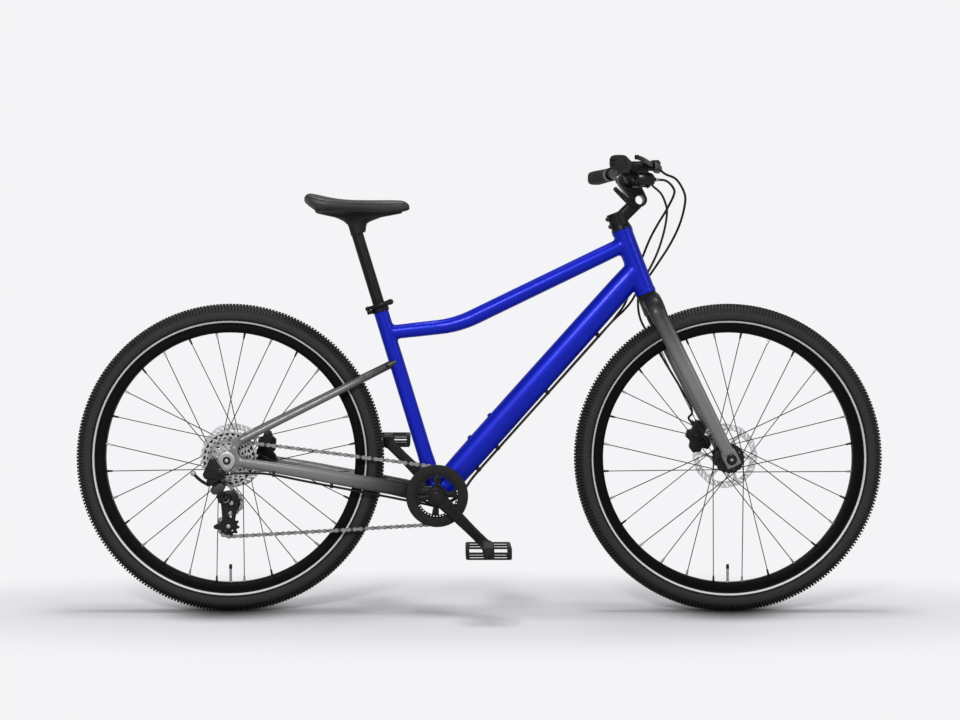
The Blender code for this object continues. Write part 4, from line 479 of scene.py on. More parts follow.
class Finish:
    """A material under construction: its shader, and nodes chained by name."""

    def __init__(self, name, tint, roughness, metallic=0.0, **sockets):
        self.material = bpy.data.materials.new(name)
        self.material.use_nodes = True
        self.nodes = self.material.node_tree.nodes
        self.shader = self.nodes["Principled BSDF"]
        self.shader.inputs["Base Color"].default_value = (*tint, 1.0)
        self.shader.inputs["Roughness"].default_value = roughness
        self.shader.inputs["Metallic"].default_value = metallic
        for socket, value in sockets.items():
            self.shader.inputs[socket.replace("_", " ").title().replace("Ior", "IOR")].default_value = value
        self.tint = tint
        self.place = self.nodes.new("ShaderNodeTexCoord").outputs["Object"]
        self.normal = None

    def link(self, output, target):
        self.material.node_tree.links.new(output, target)

    def noise(self, scale, detail=3.0):
        node = self.nodes.new("ShaderNodeTexNoise")
        node.inputs["Scale"].default_value = scale
        node.inputs["Detail"].default_value = detail
        self.link(self.place, node.inputs["Vector"])
        return node.outputs["Fac"]

    def cells(self, scale):
        node = self.nodes.new("ShaderNodeTexVoronoi")
        node.inputs["Scale"].default_value = scale
        self.link(self.place, node.inputs["Vector"])
        return node.outputs["Distance"]

    def maths(self, operation, *values):
        node = self.nodes.new("ShaderNodeMath")
        node.operation = operation
        for value, socket in zip(values, node.inputs):
            if isinstance(value, (int, float)):
                socket.default_value = value
            else:
                self.link(value, socket)
        return node.outputs["Value"]

    def ramp(self, factor, *stops):
        """Colours over a factor. Each stop is (position, colour)."""
        node = self.nodes.new("ShaderNodeValToRGB")
        points = node.color_ramp.elements
        while len(points) < len(stops):
            points.new(0.5)
        for point, (position, tint) in zip(points, stops):
            point.position = position
            point.color = (*tint, 1.0)
        self.link(factor, node.inputs["Fac"])
        return node.outputs["Color"]

    def spread(self, factor, low, high):
        """The factor's middle range, mapped from low to high."""
        node = self.nodes.new("ShaderNodeMapRange")
        for socket, value in zip(("From Min", "From Max", "To Min", "To Max"), (0.3, 0.7, low, high)):
            node.inputs[socket].default_value = value
        self.link(factor, node.inputs["Value"])
        return node.outputs["Result"]

    def faded(self, factor, start, end):
        """Nothing before the start, all of it after the end."""
        node = self.nodes.new("ShaderNodeMapRange")
        node.interpolation_type = "SMOOTHSTEP"
        node.inputs["From Min"].default_value = start
        node.inputs["From Max"].default_value = end
        self.link(factor, node.inputs["Value"])
        return node.outputs["Result"]

    def split(self, offset=(0.0, 0.0, 0.0)):
        """Separate coordinates about a point."""
        move = self.nodes.new("ShaderNodeMapping")
        move.inputs["Location"].default_value = [-value for value in offset]
        self.link(self.place, move.inputs["Vector"])
        parts = self.nodes.new("ShaderNodeSeparateXYZ")
        self.link(move.outputs["Vector"], parts.inputs["Vector"])
        return [parts.outputs[key] for key in ("X", "Y", "Z")]

    def far_from(self, first, second):
        """Length of the vector with these two parts."""
        squares = [self.maths("MULTIPLY", part, part) for part in (first, second)]
        return self.maths("SQRT", self.maths("ADD", *squares))

    def mottle(self, scale, amount):
        """Soft changes of colour over the surface."""
        low = [value * (1 - amount) for value in self.tint]
        high = [min(1.0, value * (1 + amount)) for value in self.tint]
        self.link(self.ramp(self.noise(scale), (0.3, low), (0.7, high)), self.shader.inputs["Base Color"])
        return self

    def uneven(self, scale, low, high):
        """Soft changes of gloss."""
        self.link(self.spread(self.noise(scale, 5.0), low, high), self.shader.inputs["Roughness"])
        return self

    def bump(self, height, distance, strength=1.0):
        node = self.nodes.new("ShaderNodeBump")
        node.inputs["Distance"].default_value = distance
        node.inputs["Strength"].default_value = strength
        self.link(height, node.inputs["Height"])
        if self.normal:
            self.link(self.normal, node.inputs["Normal"])
        self.normal = node.outputs["Normal"]
        self.link(self.normal, self.shader.inputs["Normal"])
        return self

    def grained(self, scale, distance):
        return self.bump(self.noise(scale, 4.0), distance)


FINISHES = {}


def finish(look):
    """A finish by name, made when it is first asked for."""
    if look not in FINISHES:
        FINISHES[look] = LOOKS[look][0]().material
    return FINISHES[look]


def gloss_paint():
    """Deep clear-coated colour over fine flakes."""
    paint = Finish("gloss frame paint", settings("bike_paint").frame, 0.38, 0.3, coat_weight=0.12,
        coat_roughness=0.16, specular_ior_level=0.16)
    return paint.mottle(9.0, 0.06).uneven(40.0, 0.37, 0.44).grained(2600.0, 0.000008)


# Painted shade and painted light of the satin paint: heights where the fork blades grow brighter away from
# the crown, places where the stays grow brighter away from the seat tube, and the darkest and brightest
# shares of the paint's colour
BLADE_PAINTED_SHADE = (0.68, 0.5)
STAY_PAINTED_SHADE = (-0.15, -0.33)
FLAKE_SHARE = 0.25
SATIN_PAINTED_SHADE = 0.07
SATIN_PAINTED_LIGHT = 1.22


def satin_paint():
    """Grey satin with metal flakes, with painted shade that makes it darker at the crown and at the seat
    tube, and painted light further away.
    """
    paint = Finish("satin grey paint", settings("bike_paint").forks, 0.36, 0.45, coat_weight=0.12,
        coat_roughness=0.18, specular_ior_level=0.2)
    x, _, z = paint.split()
    # Painted shade: share of painted light, none at the crown and at the seat tube's end of the stays
    blade = paint.maths("MULTIPLY", paint.faded(z, *BLADE_PAINTED_SHADE), paint.maths("GREATER_THAN", x, 0.0))
    share = paint.maths("MAXIMUM", blade, paint.faded(x, *STAY_PAINTED_SHADE))
    share = paint.maths("MULTIPLY", share, 1 - FLAKE_SHARE)
    speckled = paint.maths("MULTIPLY_ADD", paint.noise(3200.0, 2.0), FLAKE_SHARE, share)
    # Painted shade and painted light: the darkest and the brightest colour of the ramp
    dark, bright = ([value * amount for value in paint.tint] for amount in (SATIN_PAINTED_SHADE, SATIN_PAINTED_LIGHT))
    paint.link(paint.ramp(speckled, (0.08, dark), (0.92, bright)), paint.shader.inputs["Base Color"])
    return paint.uneven(55.0, 0.36, 0.47).grained(2400.0, 0.00002)


def black_metal():
    """Black anodised alloy with a faint brushed grain and rubbed spots."""
    metal = Finish("black anodised metal", settings("bike_paint").metal, 0.36, 0.2, specular_ior_level=0.24)
    return metal.mottle(120.0, 0.35).uneven(260.0, 0.3, 0.46).grained(1500.0, 0.00002)


def gloss_black():
    """Shiny black coating of small machined parts."""
    metal = Finish("gloss black coating", settings("bike_paint").metal, 0.25, 0.1, coat_weight=0.12,
        specular_ior_level=0.26)
    return metal.mottle(60.0, 0.25).uneven(90.0, 0.2, 0.32).grained(900.0, 0.00001)


def rim_black():
    """Matt anodised rim, with faint turning lines."""
    rim = Finish("matt black rim", (0.0014, 0.0014, 0.0015), 0.46, specular_ior_level=0.08)
    return rim.mottle(40.0, 0.25).uneven(120.0, 0.44, 0.58).grained(1800.0, 0.000015)


def moulded_plastic():
    """Fine spark-eroded grain of moulded plastic."""
    plastic = Finish("moulded plastic", settings("bike_paint").plastic, 0.5, specular_ior_level=0.26)
    plastic.mottle(150.0, 0.25).uneven(300.0, 0.48, 0.64)
    return plastic.bump(plastic.cells(1900.0), 0.00005)


def guard_plastic():
    """Dark grey matt plastic of the chain guard."""
    plastic = Finish("matt guard plastic", (0.0125, 0.0125, 0.0128), 0.6, specular_ior_level=0.22)
    plastic.mottle(90.0, 0.18).uneven(200.0, 0.56, 0.7)
    return plastic.bump(plastic.cells(1500.0), 0.00006)


def grip_rubber():
    """Soft rubber with small raised dots."""
    rubber = Finish("ribbed grip rubber", (0.011, 0.011, 0.011), 0.7, specular_ior_level=0.28)
    rubber.mottle(200.0, 0.2).uneven(300.0, 0.68, 0.82)
    return rubber.bump(rubber.cells(420.0), 0.0004, 0.6)


def steel():
    """Nickel-plated steel with rolling marks."""
    metal = Finish("plated steel", settings("bike_paint").steel, 0.26, 1.0)
    return metal.mottle(300.0, 0.25).uneven(420.0, 0.24, 0.42).grained(2200.0, 0.00002)


def rotor_steel():
    """Ground stainless steel of the brake discs."""
    metal = Finish("ground stainless", (0.74, 0.74, 0.75), 0.34, 0.9)
    return metal.mottle(260.0, 0.12).uneven(420.0, 0.28, 0.42).grained(2200.0, 0.00002)


def chain_steel():
    """Duller steel of the chain's outer plates."""
    metal = Finish("chain steel", (0.27, 0.27, 0.275), 0.34, 0.9)
    return metal.mottle(500.0, 0.3).uneven(600.0, 0.3, 0.46).grained(2500.0, 0.00002)


def inner_link_steel():
    """Darker steel between the chain's outer plates."""
    metal = Finish("dark chain steel", (0.085, 0.085, 0.088), 0.38, 0.9)
    return metal.mottle(500.0, 0.3).uneven(600.0, 0.32, 0.46).grained(2500.0, 0.00002)


def spoke_steel():
    """Black-oxide spokes that still shine."""
    metal = Finish("dark spoke steel", (0.016, 0.016, 0.017), 0.34, 0.6)
    return metal.mottle(200.0, 0.2).uneven(300.0, 0.28, 0.38)


def bare_alloy():
    """Blasted alloy with a fine sandy grain."""
    metal = Finish("blasted alloy", settings("bike_paint").alloy, 0.42, 0.9)
    return metal.mottle(600.0, 0.16).uneven(700.0, 0.36, 0.5).grained(1800.0, 0.00005)


def hose_cover():
    """Smooth extruded sleeve."""
    cover = Finish("hose sleeve", (0.006, 0.006, 0.006), 0.4, specular_ior_level=0.25)
    return cover.mottle(80.0, 0.25).uneven(150.0, 0.36, 0.48).grained(700.0, 0.00003)


def saddle_skin():
    """Synthetic leather: small pebbles, softer gloss on the ridges."""
    skin = Finish("synthetic leather", (0.024, 0.024, 0.0245), 0.4, sheen_weight=0.02,
        specular_ior_level=0.55)
    skin.mottle(25.0, 0.18).uneven(60.0, 0.42, 0.54)
    return skin.bump(skin.cells(750.0), 0.00022, 0.7).grained(90.0, 0.0003)


def link_grey():
    """Mid grey composite of the derailleur link."""
    plastic = Finish("grey composite", (0.05, 0.05, 0.052), 0.42, 0.3, specular_ior_level=0.3)
    return plastic.mottle(200.0, 0.2).uneven(300.0, 0.4, 0.52).grained(1300.0, 0.00004)


def pale_reflector():
    """Pale grey facets at the pedal's ends."""
    plastic = Finish("pale lens plastic", (0.42, 0.42, 0.43), 0.3)
    plastic.mottle(200.0, 0.15).uneven(200.0, 0.24, 0.36)
    return plastic.bump(plastic.cells(500.0), 0.0002)


TYRE_DEPTH = 0.05
STRIPE_HALF = 0.0013
STRIPE_WHITE = (0.88, 0.88, 0.88)
TYRE_SHADE = (0.0035, 0.0035, 0.0035)


def tyre_rubber(axle, name):
    """Tread, sidewall and reflecting stripe by the distance from the axle."""
    wheel = settings("bike_wheels")
    paint = settings("bike_paint")
    rubber = Finish(name + " tyre rubber", paint.tread, 0.68, specular_ior_level=0.24)
    x, _, z = rubber.split(axle)
    inner = wheel.tyre_diameter / 2 - TYRE_DEPTH
    share = rubber.maths("DIVIDE", rubber.maths("SUBTRACT", rubber.far_from(x, z), inner), TYRE_DEPTH)
    stripe = wheel.stripe_radius
    wall = paint.sidewall
    rings = ((stripe - 0.0022, TYRE_SHADE), (stripe - STRIPE_HALF, STRIPE_WHITE),
        (stripe + STRIPE_HALF, STRIPE_WHITE), (stripe + 0.0019, TYRE_SHADE), (stripe + 0.004, TYRE_SHADE),
        (stripe + 0.0075, wall), (0.312, wall), (0.3165, TYRE_SHADE))
    tints = rubber.ramp(share, *(((radius - inner) / TYRE_DEPTH, tint) for radius, tint in rings))
    rubber.link(tints, rubber.shader.inputs["Base Color"])
    rubber.uneven(180.0, 0.64, 0.8)
    angle = rubber.maths("ARCTAN2", z, x)
    ribs = rubber.maths("SINE", rubber.maths("MULTIPLY", angle, wheel.pitches * 2))
    rubber.bump(ribs, 0.00012, 0.5)
    return rubber.bump(rubber.cells(900.0), 0.0001)


def block_rubber():
    """Lightly worn rubber of the tread's blocks."""
    rubber = Finish("tread block rubber", settings("bike_paint").tread, 0.62, specular_ior_level=0.25)
    rubber.mottle(120.0, 0.25).uneven(200.0, 0.56, 0.74)
    return rubber.bump(rubber.cells(700.0), 0.00012)


# Each finish's maker, and the record's slot that it belongs to
LOOKS = {"gloss paint": (gloss_paint, "blue_paint"), "satin paint": (satin_paint, "grey_paint"),
    "black metal": (black_metal, "black_metal"), "gloss black": (gloss_black, "black_metal"),
    "rim": (rim_black, "rim_black"), "plastic": (moulded_plastic, "dark_plastic"),
    "guard": (guard_plastic, "dark_plastic"), "grip": (grip_rubber, "grip_rubber"),
    "steel": (steel, "plated_steel"), "rotor": (rotor_steel, "plated_steel"),
    "chain": (chain_steel, "plated_steel"), "inner chain": (inner_link_steel, "plated_steel"),
    "spoke": (spoke_steel, "black_metal"), "alloy": (bare_alloy, "bare_alloy"),
    "hose": (hose_cover, "cord_cover"), "saddle": (saddle_skin, "saddle_skin"),
    "link": (link_grey, "dark_plastic"), "pale": (pale_reflector, "bare_alloy"),
    "tread": (block_rubber, "tyre_rubber"),
    "front tyre": (lambda: tyre_rubber(FRONT_AXLE, "front"), "tyre_rubber"),
    "rear tyre": (lambda: tyre_rubber(REAR_AXLE, "rear"), "tyre_rubber"),}


class PieceOperator:
    """What every operator here shares."""

    bl_options = {"REGISTER", "UNDO"}

    def execute(self, context):
        self.build()
        return {"FINISHED"}


# Stage

def aimed_light(name, place, target, size, energy):
    fresh()
    bpy.ops.object.light_add(type="AREA", location=place)
    light = bpy.context.object
    light.name = name
    light.data.size = size
    light.data.energy = energy
    light.rotation_euler = (Vector(target) - Vector(place)).to_track_quat("-Z", "Y").to_euler()


BOWL_PROFILE = ((0.0, 0.0), (0.0, 6.5), (0.5, 8.2), (2.0, 9.2), (7.0, 9.5), (7.0, 9.7),
    (-0.4, 9.7), (-0.4, 0.0))
PAPER_GLOW = (0.905, 0.905, 0.925, 1.0)
GLOSSY_SHARE = 0.62
FLOOR_STRETCH = 0.36
FLOOR_FADE = (0.2, 0.62)
# Painted shadow under each wheel: its reach along the bike and across it, and the share of the floor's
# colour left at its middle
CONTACT_SHADOW_LENGTH = 0.2
CONTACT_SHADOW_WIDTH = 0.17
CONTACT_SHADOW_CORE = 0.1
# Painted shade: share of the floor's colour for all but camera rays, so that less light bounces up onto the
# bike
FLOOR_BOUNCE_SHADE = 0.45
SKY_TINT = (0.94, 0.97, 1.0, 1.0)
SKY_STRENGTH = 0.25
# Each light's name, place, target, size and power
LIGHTS = (("key light", (-0.9, -4.2, 2.3), (0.0, 0.0, 0.45), 0.8, 104),
    ("side light", (3.2, -2.4, 2.2), (0.1, 0.0, 0.5), 1.2, 24),
    ("top light", (0.0, 0.0, 4.6), (0.0, 0.0, 0.4), 1.3, 88))
SENSOR_WIDTH = 36.0
PHOTO_WIDTH = 960
PHOTO_SHIFT = (40, -75)


def backdrop_paper(tint):
    """Floor that takes shadows near the bike and glows evenly away from it. It has a painted shadow under
    each wheel, and its colour is painted darker for light that bounces off it, which shades the bike from
    below.
    """
    paper = Finish("backdrop paper", tint, 0.95)
    paper.grained(400.0, 0.0001)
    glow = paper.nodes.new("ShaderNodeEmission")
    glow.inputs["Color"].default_value = PAPER_GLOW
    rays = paper.nodes.new("ShaderNodeLightPath").outputs
    glossy = paper.maths("MULTIPLY", rays["Is Glossy Ray"], GLOSSY_SHARE)
    seen = paper.maths("MAXIMUM", rays["Is Camera Ray"],
        paper.maths("MAXIMUM", glossy, rays["Is Transmission Ray"]))
    x, y, _ = paper.split()
    away = paper.faded(paper.far_from(paper.maths("MULTIPLY", x, FLOOR_STRETCH), y), *FLOOR_FADE)
    # Painted shadow: the floor's colour darkens towards each wheel's contact with it
    along = paper.maths("SUBTRACT", paper.maths("ABSOLUTE", x), FRONT_AXLE.x)
    reach = paper.far_from(paper.maths("DIVIDE", along, CONTACT_SHADOW_LENGTH),
        paper.maths("DIVIDE", y, CONTACT_SHADOW_WIDTH))
    contact_shadow = paper.maths("MULTIPLY_ADD", paper.faded(reach, 0.0, 1.0), 1 - CONTACT_SHADOW_CORE, CONTACT_SHADOW_CORE)
    # Painted shade: the floor's colour is darker still for light that bounces off it
    shade = paper.maths("MULTIPLY", contact_shadow, paper.maths("MAXIMUM", rays["Is Camera Ray"], FLOOR_BOUNCE_SHADE))
    paper.link(paper.ramp(shade, (0.0, (0.0, 0.0, 0.0)), (1.0, tuple(tint))),
        paper.shader.inputs["Base Color"])
    mix = paper.nodes.new("ShaderNodeMixShader")
    paper.link(paper.maths("MULTIPLY", seen, away), mix.inputs["Fac"])
    paper.link(paper.shader.outputs["BSDF"], mix.inputs[1])
    paper.link(glow.outputs["Emission"], mix.inputs[2])
    paper.link(mix.outputs["Shader"], paper.nodes["Material Output"].inputs["Surface"])
    return paper.material


def backdrop(tint):
    """Wide bowl that is floor and wall in one."""
    bowl = settled(turned(Vector((0.0, 0.0, 0.0)), UP, BOWL_PROFILE, 96))
    bpy.ops.object.shade_smooth_by_angle(angle=math.radians(60))
    bowl.name = "backdrop"
    bowl.data.materials.append(backdrop_paper(tint))


def studio_sky():
    world = bpy.data.worlds.new("studio sky")
    bpy.context.scene.world = world
    world.use_nodes = True
    sky = world.node_tree.nodes["Background"]
    sky.inputs["Color"].default_value = SKY_TINT
    sky.inputs["Strength"].default_value = SKY_STRENGTH


def photo_camera(values):
    fresh()
    bpy.ops.object.camera_add(location=(values.across, -values.distance, values.height),
        rotation=(math.pi / 2, 0.0, 0.0))
    camera = bpy.context.object
    camera.name = "photo camera"
    camera.data.lens = values.lens
    camera.data.sensor_width = SENSOR_WIDTH
    camera.data.shift_x, camera.data.shift_y = (pixels / PHOTO_WIDTH for pixels in PHOTO_SHIFT)
    bpy.context.scene.camera = camera


class BIKE_OT_stage(PieceOperator, bpy.types.Operator):
    """Add the floor, the soft lights, the sky and the camera"""

    bl_idname = "bike.stage"
    bl_label = "Stage"

    def build(self):
        values = settings("bike_stage")
        backdrop(values.paper)
        studio_sky()
        for light in LIGHTS:
            aimed_light(*light)
        photo_camera(values)
        bpy.context.scene.view_settings.view_transform = "Standard"


# Hoses and housing

HOSE_STEPS = 6
HOSE_AT_BARS = 4
HOSE_AT_HEAD = 8


def hose_piece(name, path, node=None):
    size = settings("bike_tubes").hose_diameter
    piece = tube(path, [(size, size)] * len(path), LEFT, 14)
    piece = finished(piece, name, "hose")
    if node:
        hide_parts(node)
    return piece


def declared():
    settings("bike_tubes").hose_diameter


REAR_HOSE = ((0.3748, -0.1309, 0.9383), (0.385, -0.129, 0.9305), (0.4091, -0.12, 0.9196),
    (0.4281, -0.098, 0.8931), (0.4317, -0.078, 0.869), (0.4254, -0.04, 0.8284), (0.4094, -0.008, 0.7877),
    (0.387, 0.0155, 0.7488), (0.3685, 0.0285, 0.7201), (0.352, 0.031, 0.7), (0.34, 0.03, 0.682),
    (0.329, 0.026, 0.664), (0.311, 0.0165, 0.644), (0.2678, 0.0042, 0.6021), (0.1312, 0.0042, 0.4494),
    (-0.0002, 0.0042, 0.3024), (-0.0278, 0.006, 0.2668), (-0.054, 0.01, 0.24), (-0.085, 0.0165, 0.2265),
    (-0.12, 0.0235, 0.233), (-0.215, 0.0405, 0.2535), (-0.3, 0.051, 0.2705), (-0.38, 0.06, 0.287),
    (-0.42, 0.056, 0.2925), (-0.443, 0.048, 0.2975), (-0.4555, 0.044, 0.3115))
SHIFT_HOUSING = ((0.3676, -0.1062, 0.9204), (0.3896, -0.102, 0.918), (0.406, -0.09, 0.9038),
    (0.4085, -0.078, 0.8894), (0.3955, -0.052, 0.8581), (0.38, -0.026, 0.8285), (0.366, 0.004, 0.7965),
    (0.352, 0.024, 0.7572), (0.342, 0.029, 0.735), (0.331, 0.029, 0.703), (0.324, 0.026, 0.681),
    (0.314, 0.0135, 0.659), (0.2985, 0.0015, 0.6385), (0.2678, -0.0042, 0.6021), (0.1312, -0.0042, 0.4494),
    (-0.0002, -0.0042, 0.3024), (-0.0278, -0.006, 0.2668), (-0.054, -0.01, 0.24), (-0.085, -0.0165, 0.2265),
    (-0.12, -0.0235, 0.233), (-0.215, -0.0405, 0.2535), (-0.3, -0.051, 0.2705), (-0.38, -0.0605, 0.287),
    (-0.435, -0.069, 0.299), (-0.47, -0.079, 0.3035), (-0.5261, -0.087, 0.3039))
FRONT_HOSE = ((0.3735, 0.1305, 0.9365), (0.385, 0.1295, 0.9215), (0.4052, 0.122, 0.9013),
    (0.4147, 0.108, 0.8737), (0.4146, 0.098, 0.853), (0.4066, 0.078, 0.8187), (0.393, 0.058, 0.7802),
    (0.3783, 0.045, 0.7491), (0.36, 0.039, 0.715), (0.347, 0.0375, 0.683), (0.345, 0.0365, 0.656),
    (0.349, 0.0365, 0.63), (0.3605, 0.037, 0.605), (0.3945, 0.0375, 0.548), (0.459, 0.0385, 0.438),
    (0.4545, 0.0362, 0.4125), (0.4613, 0.0357, 0.4035))


class BIKE_OT_hoses(PieceOperator, bpy.types.Operator):
    """Add both brake hoses and the shift housing, each split into pieces along its run"""

    bl_idname = "bike.hoses"
    bl_label = "Hoses"

    def build(self):
        for points, names, node in ((REAR_HOSE, ("rear_hose_upper", "rear_hose_lower"), "rear_brake_hose"),
                (SHIFT_HOUSING, ("shift_housing_upper", "shift_housing_lower"), "shift_cable_housing"),
                (FRONT_HOSE, ("front_hose_upper", "front_hose_middle", "front_hose_lower"),
                "front_brake_hose")):
            whole = smooth_path(points, HOSE_STEPS)
            cuts = [0, HOSE_AT_BARS * HOSE_STEPS, HOSE_AT_HEAD * HOSE_STEPS, len(whole) - 1]
            if len(names) == 2:
                cuts.pop(2)
            for index, name in enumerate(names):
                path = whole[cuts[index]:cuts[index + 1] + 1]
                piece = hose_piece(name, path, None if index else node)
                if index == 0:
                    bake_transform(piece)
                elif index == 1:
                    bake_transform(piece)
                else:
                    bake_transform(piece)
                declared()


# Frame

TOP_TUBE_BEND = Vector((-0.0467, 0.0, 0.6141))
DOWN_TUBE_HEAD = 0.446
DOWN_TUBE_DEPTH = 0.0565
DOWN_TUBE_SURFACE = DOWN_TUBE_DEPTH / 2
BOSS_PLACES = (0.1365, 0.2005)
CLIP_PLACES = (0.098, 0.16, 0.32, 0.4835)


def down_tube_place(along, below, side=0.0):
    """Point beside the down tube's centre line, given from the bottom bracket."""
    line = (steer(0.0, 0.0, DOWN_TUBE_HEAD) - CRANK).normalized()
    return CRANK + line * along + LEFT.cross(line) * below + LEFT * side


class BIKE_OT_main_frame(PieceOperator, bpy.types.Operator):
    """Add the welded main frame as one painted skin"""

    bl_idname = "bike.main_frame"
    bl_label = "Main frame"

    def build(self):
        head = turned(STEER_FOOT, STEER_UP,
            [(HEAD_FOOT, 0.0), (HEAD_FOOT, 0.0215), (HEAD_TOP, 0.0215), (HEAD_TOP, 0.0)])
        path = rounded_path([seat(0.0, 0.0, 0.361), TOP_TUBE_BEND, steer(0.0, 0.0, 0.507)], 0.04)
        top = tube(path, even((0.03, 0.031), (0.038, 0.0346), len(path)), LEFT, 48, 2.2)
        whole = (steer(0.0, 0.0, DOWN_TUBE_HEAD) - CRANK).length
        path = smooth_path([down_tube_place(along, 0.0) for along in (0.0, 0.09, whole - 0.09, whole)], 8)
        sizes = smooth_sizes(((0.046, 0.042), (0.046, DOWN_TUBE_DEPTH),
            (0.046, DOWN_TUBE_DEPTH - 0.002), (0.042, 0.05)), 8)
        down = tube(path, sizes, LEFT, 48, 2.3)
        post = turned(CRANK, SEAT_UP,
            [(0.0, 0.0), (0.0, 0.018), (0.05, 0.018), (0.09, 0.0163), (SEAT_TUBE_TOP, 0.0163),
            (SEAT_TUBE_TOP, 0.0)])
        shell = cross_rod(CRANK, -0.034, 0.034, 0.021, 64)
        skin = joined(head, top, down, post, shell)
        welds = [steer(0.018, 0.0, 0.478), steer(-0.025, 0.0, 0.482), steer(-0.025, 0.0, 0.52),
            steer(-0.025, 0.0, 0.44), seat(0.02, 0.0, 0.345), seat(0.024, 0.0, 0.385),
            down_tube_place(0.03, 0.0), seat(0.02, 0.0, 0.035)]
        skin = blended(skin, settings("bike_tubes").weld_voxel, welds, 0.04, 30)
        finished(skin, "main_frame", "gloss paint", "frame",
            ("head_tube", "top_tube", "down_tube", "seat_tube", "bottom_bracket_shell"), 70)
        for name, low in (("lower", HEAD_FOOT), ("upper", HEAD_TOP - 0.009)):
            ring = turned(STEER_FOOT, STEER_UP,
                [(low, 0.0195), (low, 0.022), (low + 0.0008, 0.0226), (low + 0.0078, 0.0226),
                (low + 0.009, 0.0215)])
            finished(ring, "head_lip_" + name, "gloss paint", "frame")


def stay_skin(side):
    """One painted side: chainstay, seatstay and dropout."""
    places = ((-0.098, 0.022, 0.2565), (-0.124, 0.024, 0.258), (-0.158, 0.03, 0.264),
        (-0.215, 0.0405, 0.2747), (-0.3, 0.051, 0.29), (-0.38, 0.0605, 0.305), (-0.508, 0.07, 0.326))
    sizes = ((0.017, 0.03), (0.017, 0.03), (0.017, 0.032), (0.0165, 0.031), (0.015, 0.0285),
        (0.0135, 0.026), (0.01, 0.02))
    path = smooth_path([(x, y * side, z) for x, y, z in places], 5)
    low = tube(path, smooth_sizes(sizes, 5), LEFT, 40, 2.4)
    rise = math.tan(math.radians(26.6))
    places = ((-0.176, 0.0087), (-0.2, 0.0102), (-0.222, 0.0165), (-0.245, 0.029), (-0.265, 0.038),
        (-0.38, 0.0523), (-0.5064, 0.068))
    path = smooth_path([(x, y * side, 0.3712 + (x + 0.5064) * rise) for x, y in places], 5)
    high = tube(path, [(0.0165, 0.0165)] * len(path), LEFT, 32)
    outline = ((0.02, -0.0135), (0.034, -0.013), (0.034, 0.004), (0.0275, 0.0085), (0.024, 0.0145),
        (0.0227, 0.021), (0.0245, 0.028), (0.033, 0.036), (0.034, 0.047), (0.024, 0.05), (0.015, 0.044))
    outline = [(REAR_AXLE.x + x, REAR_AXLE.z + z) for x, z in outline] + arc(REAR_AXLE, 0.017, 75, 290, 24)
    near, far = sorted((side * 0.0675, side * 0.0735))
    skin = joined(low, high, plate(outline, near, far, 0.0008))
    welds = [Vector((-0.506, side * 0.068, 0.372)), Vector((-0.508, side * 0.07, 0.328))]
    return blended(skin, settings("bike_tubes").stay_voxel, welds, 0.022, 14)


class BIKE_OT_stays(PieceOperator, bpy.types.Operator):
    """Add the rear stays with their dropouts"""

    bl_idname = "bike.stays"
    bl_label = "Stays"

    def build(self):
        for name, side in SIDES:
            finished(stay_skin(side), "stays_" + name, "satin paint", "frame",
                ("chainstay_" + name, "seatstay_" + name), 60)


def hex_bolt(place, axis, radius, height, socket=0.5):
    """Round bolt head on a face, with a six-sided socket."""
    axis = Vector(axis).normalized()
    head = drum(place + axis * (height / 2), axis, radius, height, 32)
    head = softened(head, min(radius, height) * 0.25)
    key = drum(place + axis * height, axis, radius * socket, height * 1.2, 6)
    return carved(head, key)


def add_bolt(name, look, body, *shape):
    """Add a bolt as a piece by itself. The shape is what hex_bolt takes."""
    finished(hex_bolt(*shape), name, look, body)


def hanger():
    """Derailleur hanger with its two screws."""
    low, high = -0.0788, -0.0738
    blade = plate(hull([(REAR_AXLE, 0.0186), (HANGER_BOLT, 0.009)], 64), low, high, 0.0012, 3)
    recess = cross_rod(REAR_AXLE, low - 0.001, low + 0.0016, 0.0128, 48)
    hole = cross_rod(REAR_AXLE, low - 0.01, high + 0.01, 0.0084, 48)
    blade = carved(blade, recess, hole)
    finished(blade, "hanger_plate", "alloy", "frame", ("derailleur_hanger",))
    for name, x, z in (("rear", -0.553, 0.3372), ("upper", -0.518, 0.3565)):
        add_bolt("hanger_screw_" + name, "alloy", "frame",
            Vector((x, low + 0.0004 if name == "rear" else -0.0735, z)), -LEFT, 0.003, 0.0016)


def rear_axle():
    """Through axle and its tip."""
    right = turned(REAR_AXLE, LEFT,
        [(-0.082, 0.0035), (-0.082, 0.0072), (-0.0812, 0.008), (-0.074, 0.008), (-0.074, 0.0035)])
    shaft = cross_rod(REAR_AXLE, -0.0815, 0.078, 0.0059, 48)
    left = turned(REAR_AXLE, LEFT,
        [(0.0736, 0.0), (0.0736, 0.01), (0.0788, 0.01), (0.08, 0.0088), (0.08, 0.0045),
        (0.0775, 0.004), (0.0775, 0.0)])
    finished(joined(right, left, shaft), "rear_axle_shaft", "gloss black", "frame", ("rear_axle",))
    tip = cross_rod(REAR_AXLE, -0.0822, -0.074, 0.004, 32)
    finished(softened(tip, 0.0006), "rear_axle_tip", "alloy", "frame")


def bottle_bosses():
    for index, along in enumerate(BOSS_PLACES):
        foot = down_tube_place(along, 0.002 - DOWN_TUBE_SURFACE)
        top = down_tube_place(along, -DOWN_TUBE_SURFACE - 0.0012)
        boss = softened(rod(foot, top, 0.006, 40), 0.0006)
        finished(boss, "bottle_boss_%d" % index, "gloss paint", "frame")
        up = (top - foot).normalized()
        add_bolt("bottle_bolt_%d" % index, "black metal", "frame", top - up * 0.0002, up, 0.0042, 0.0024)


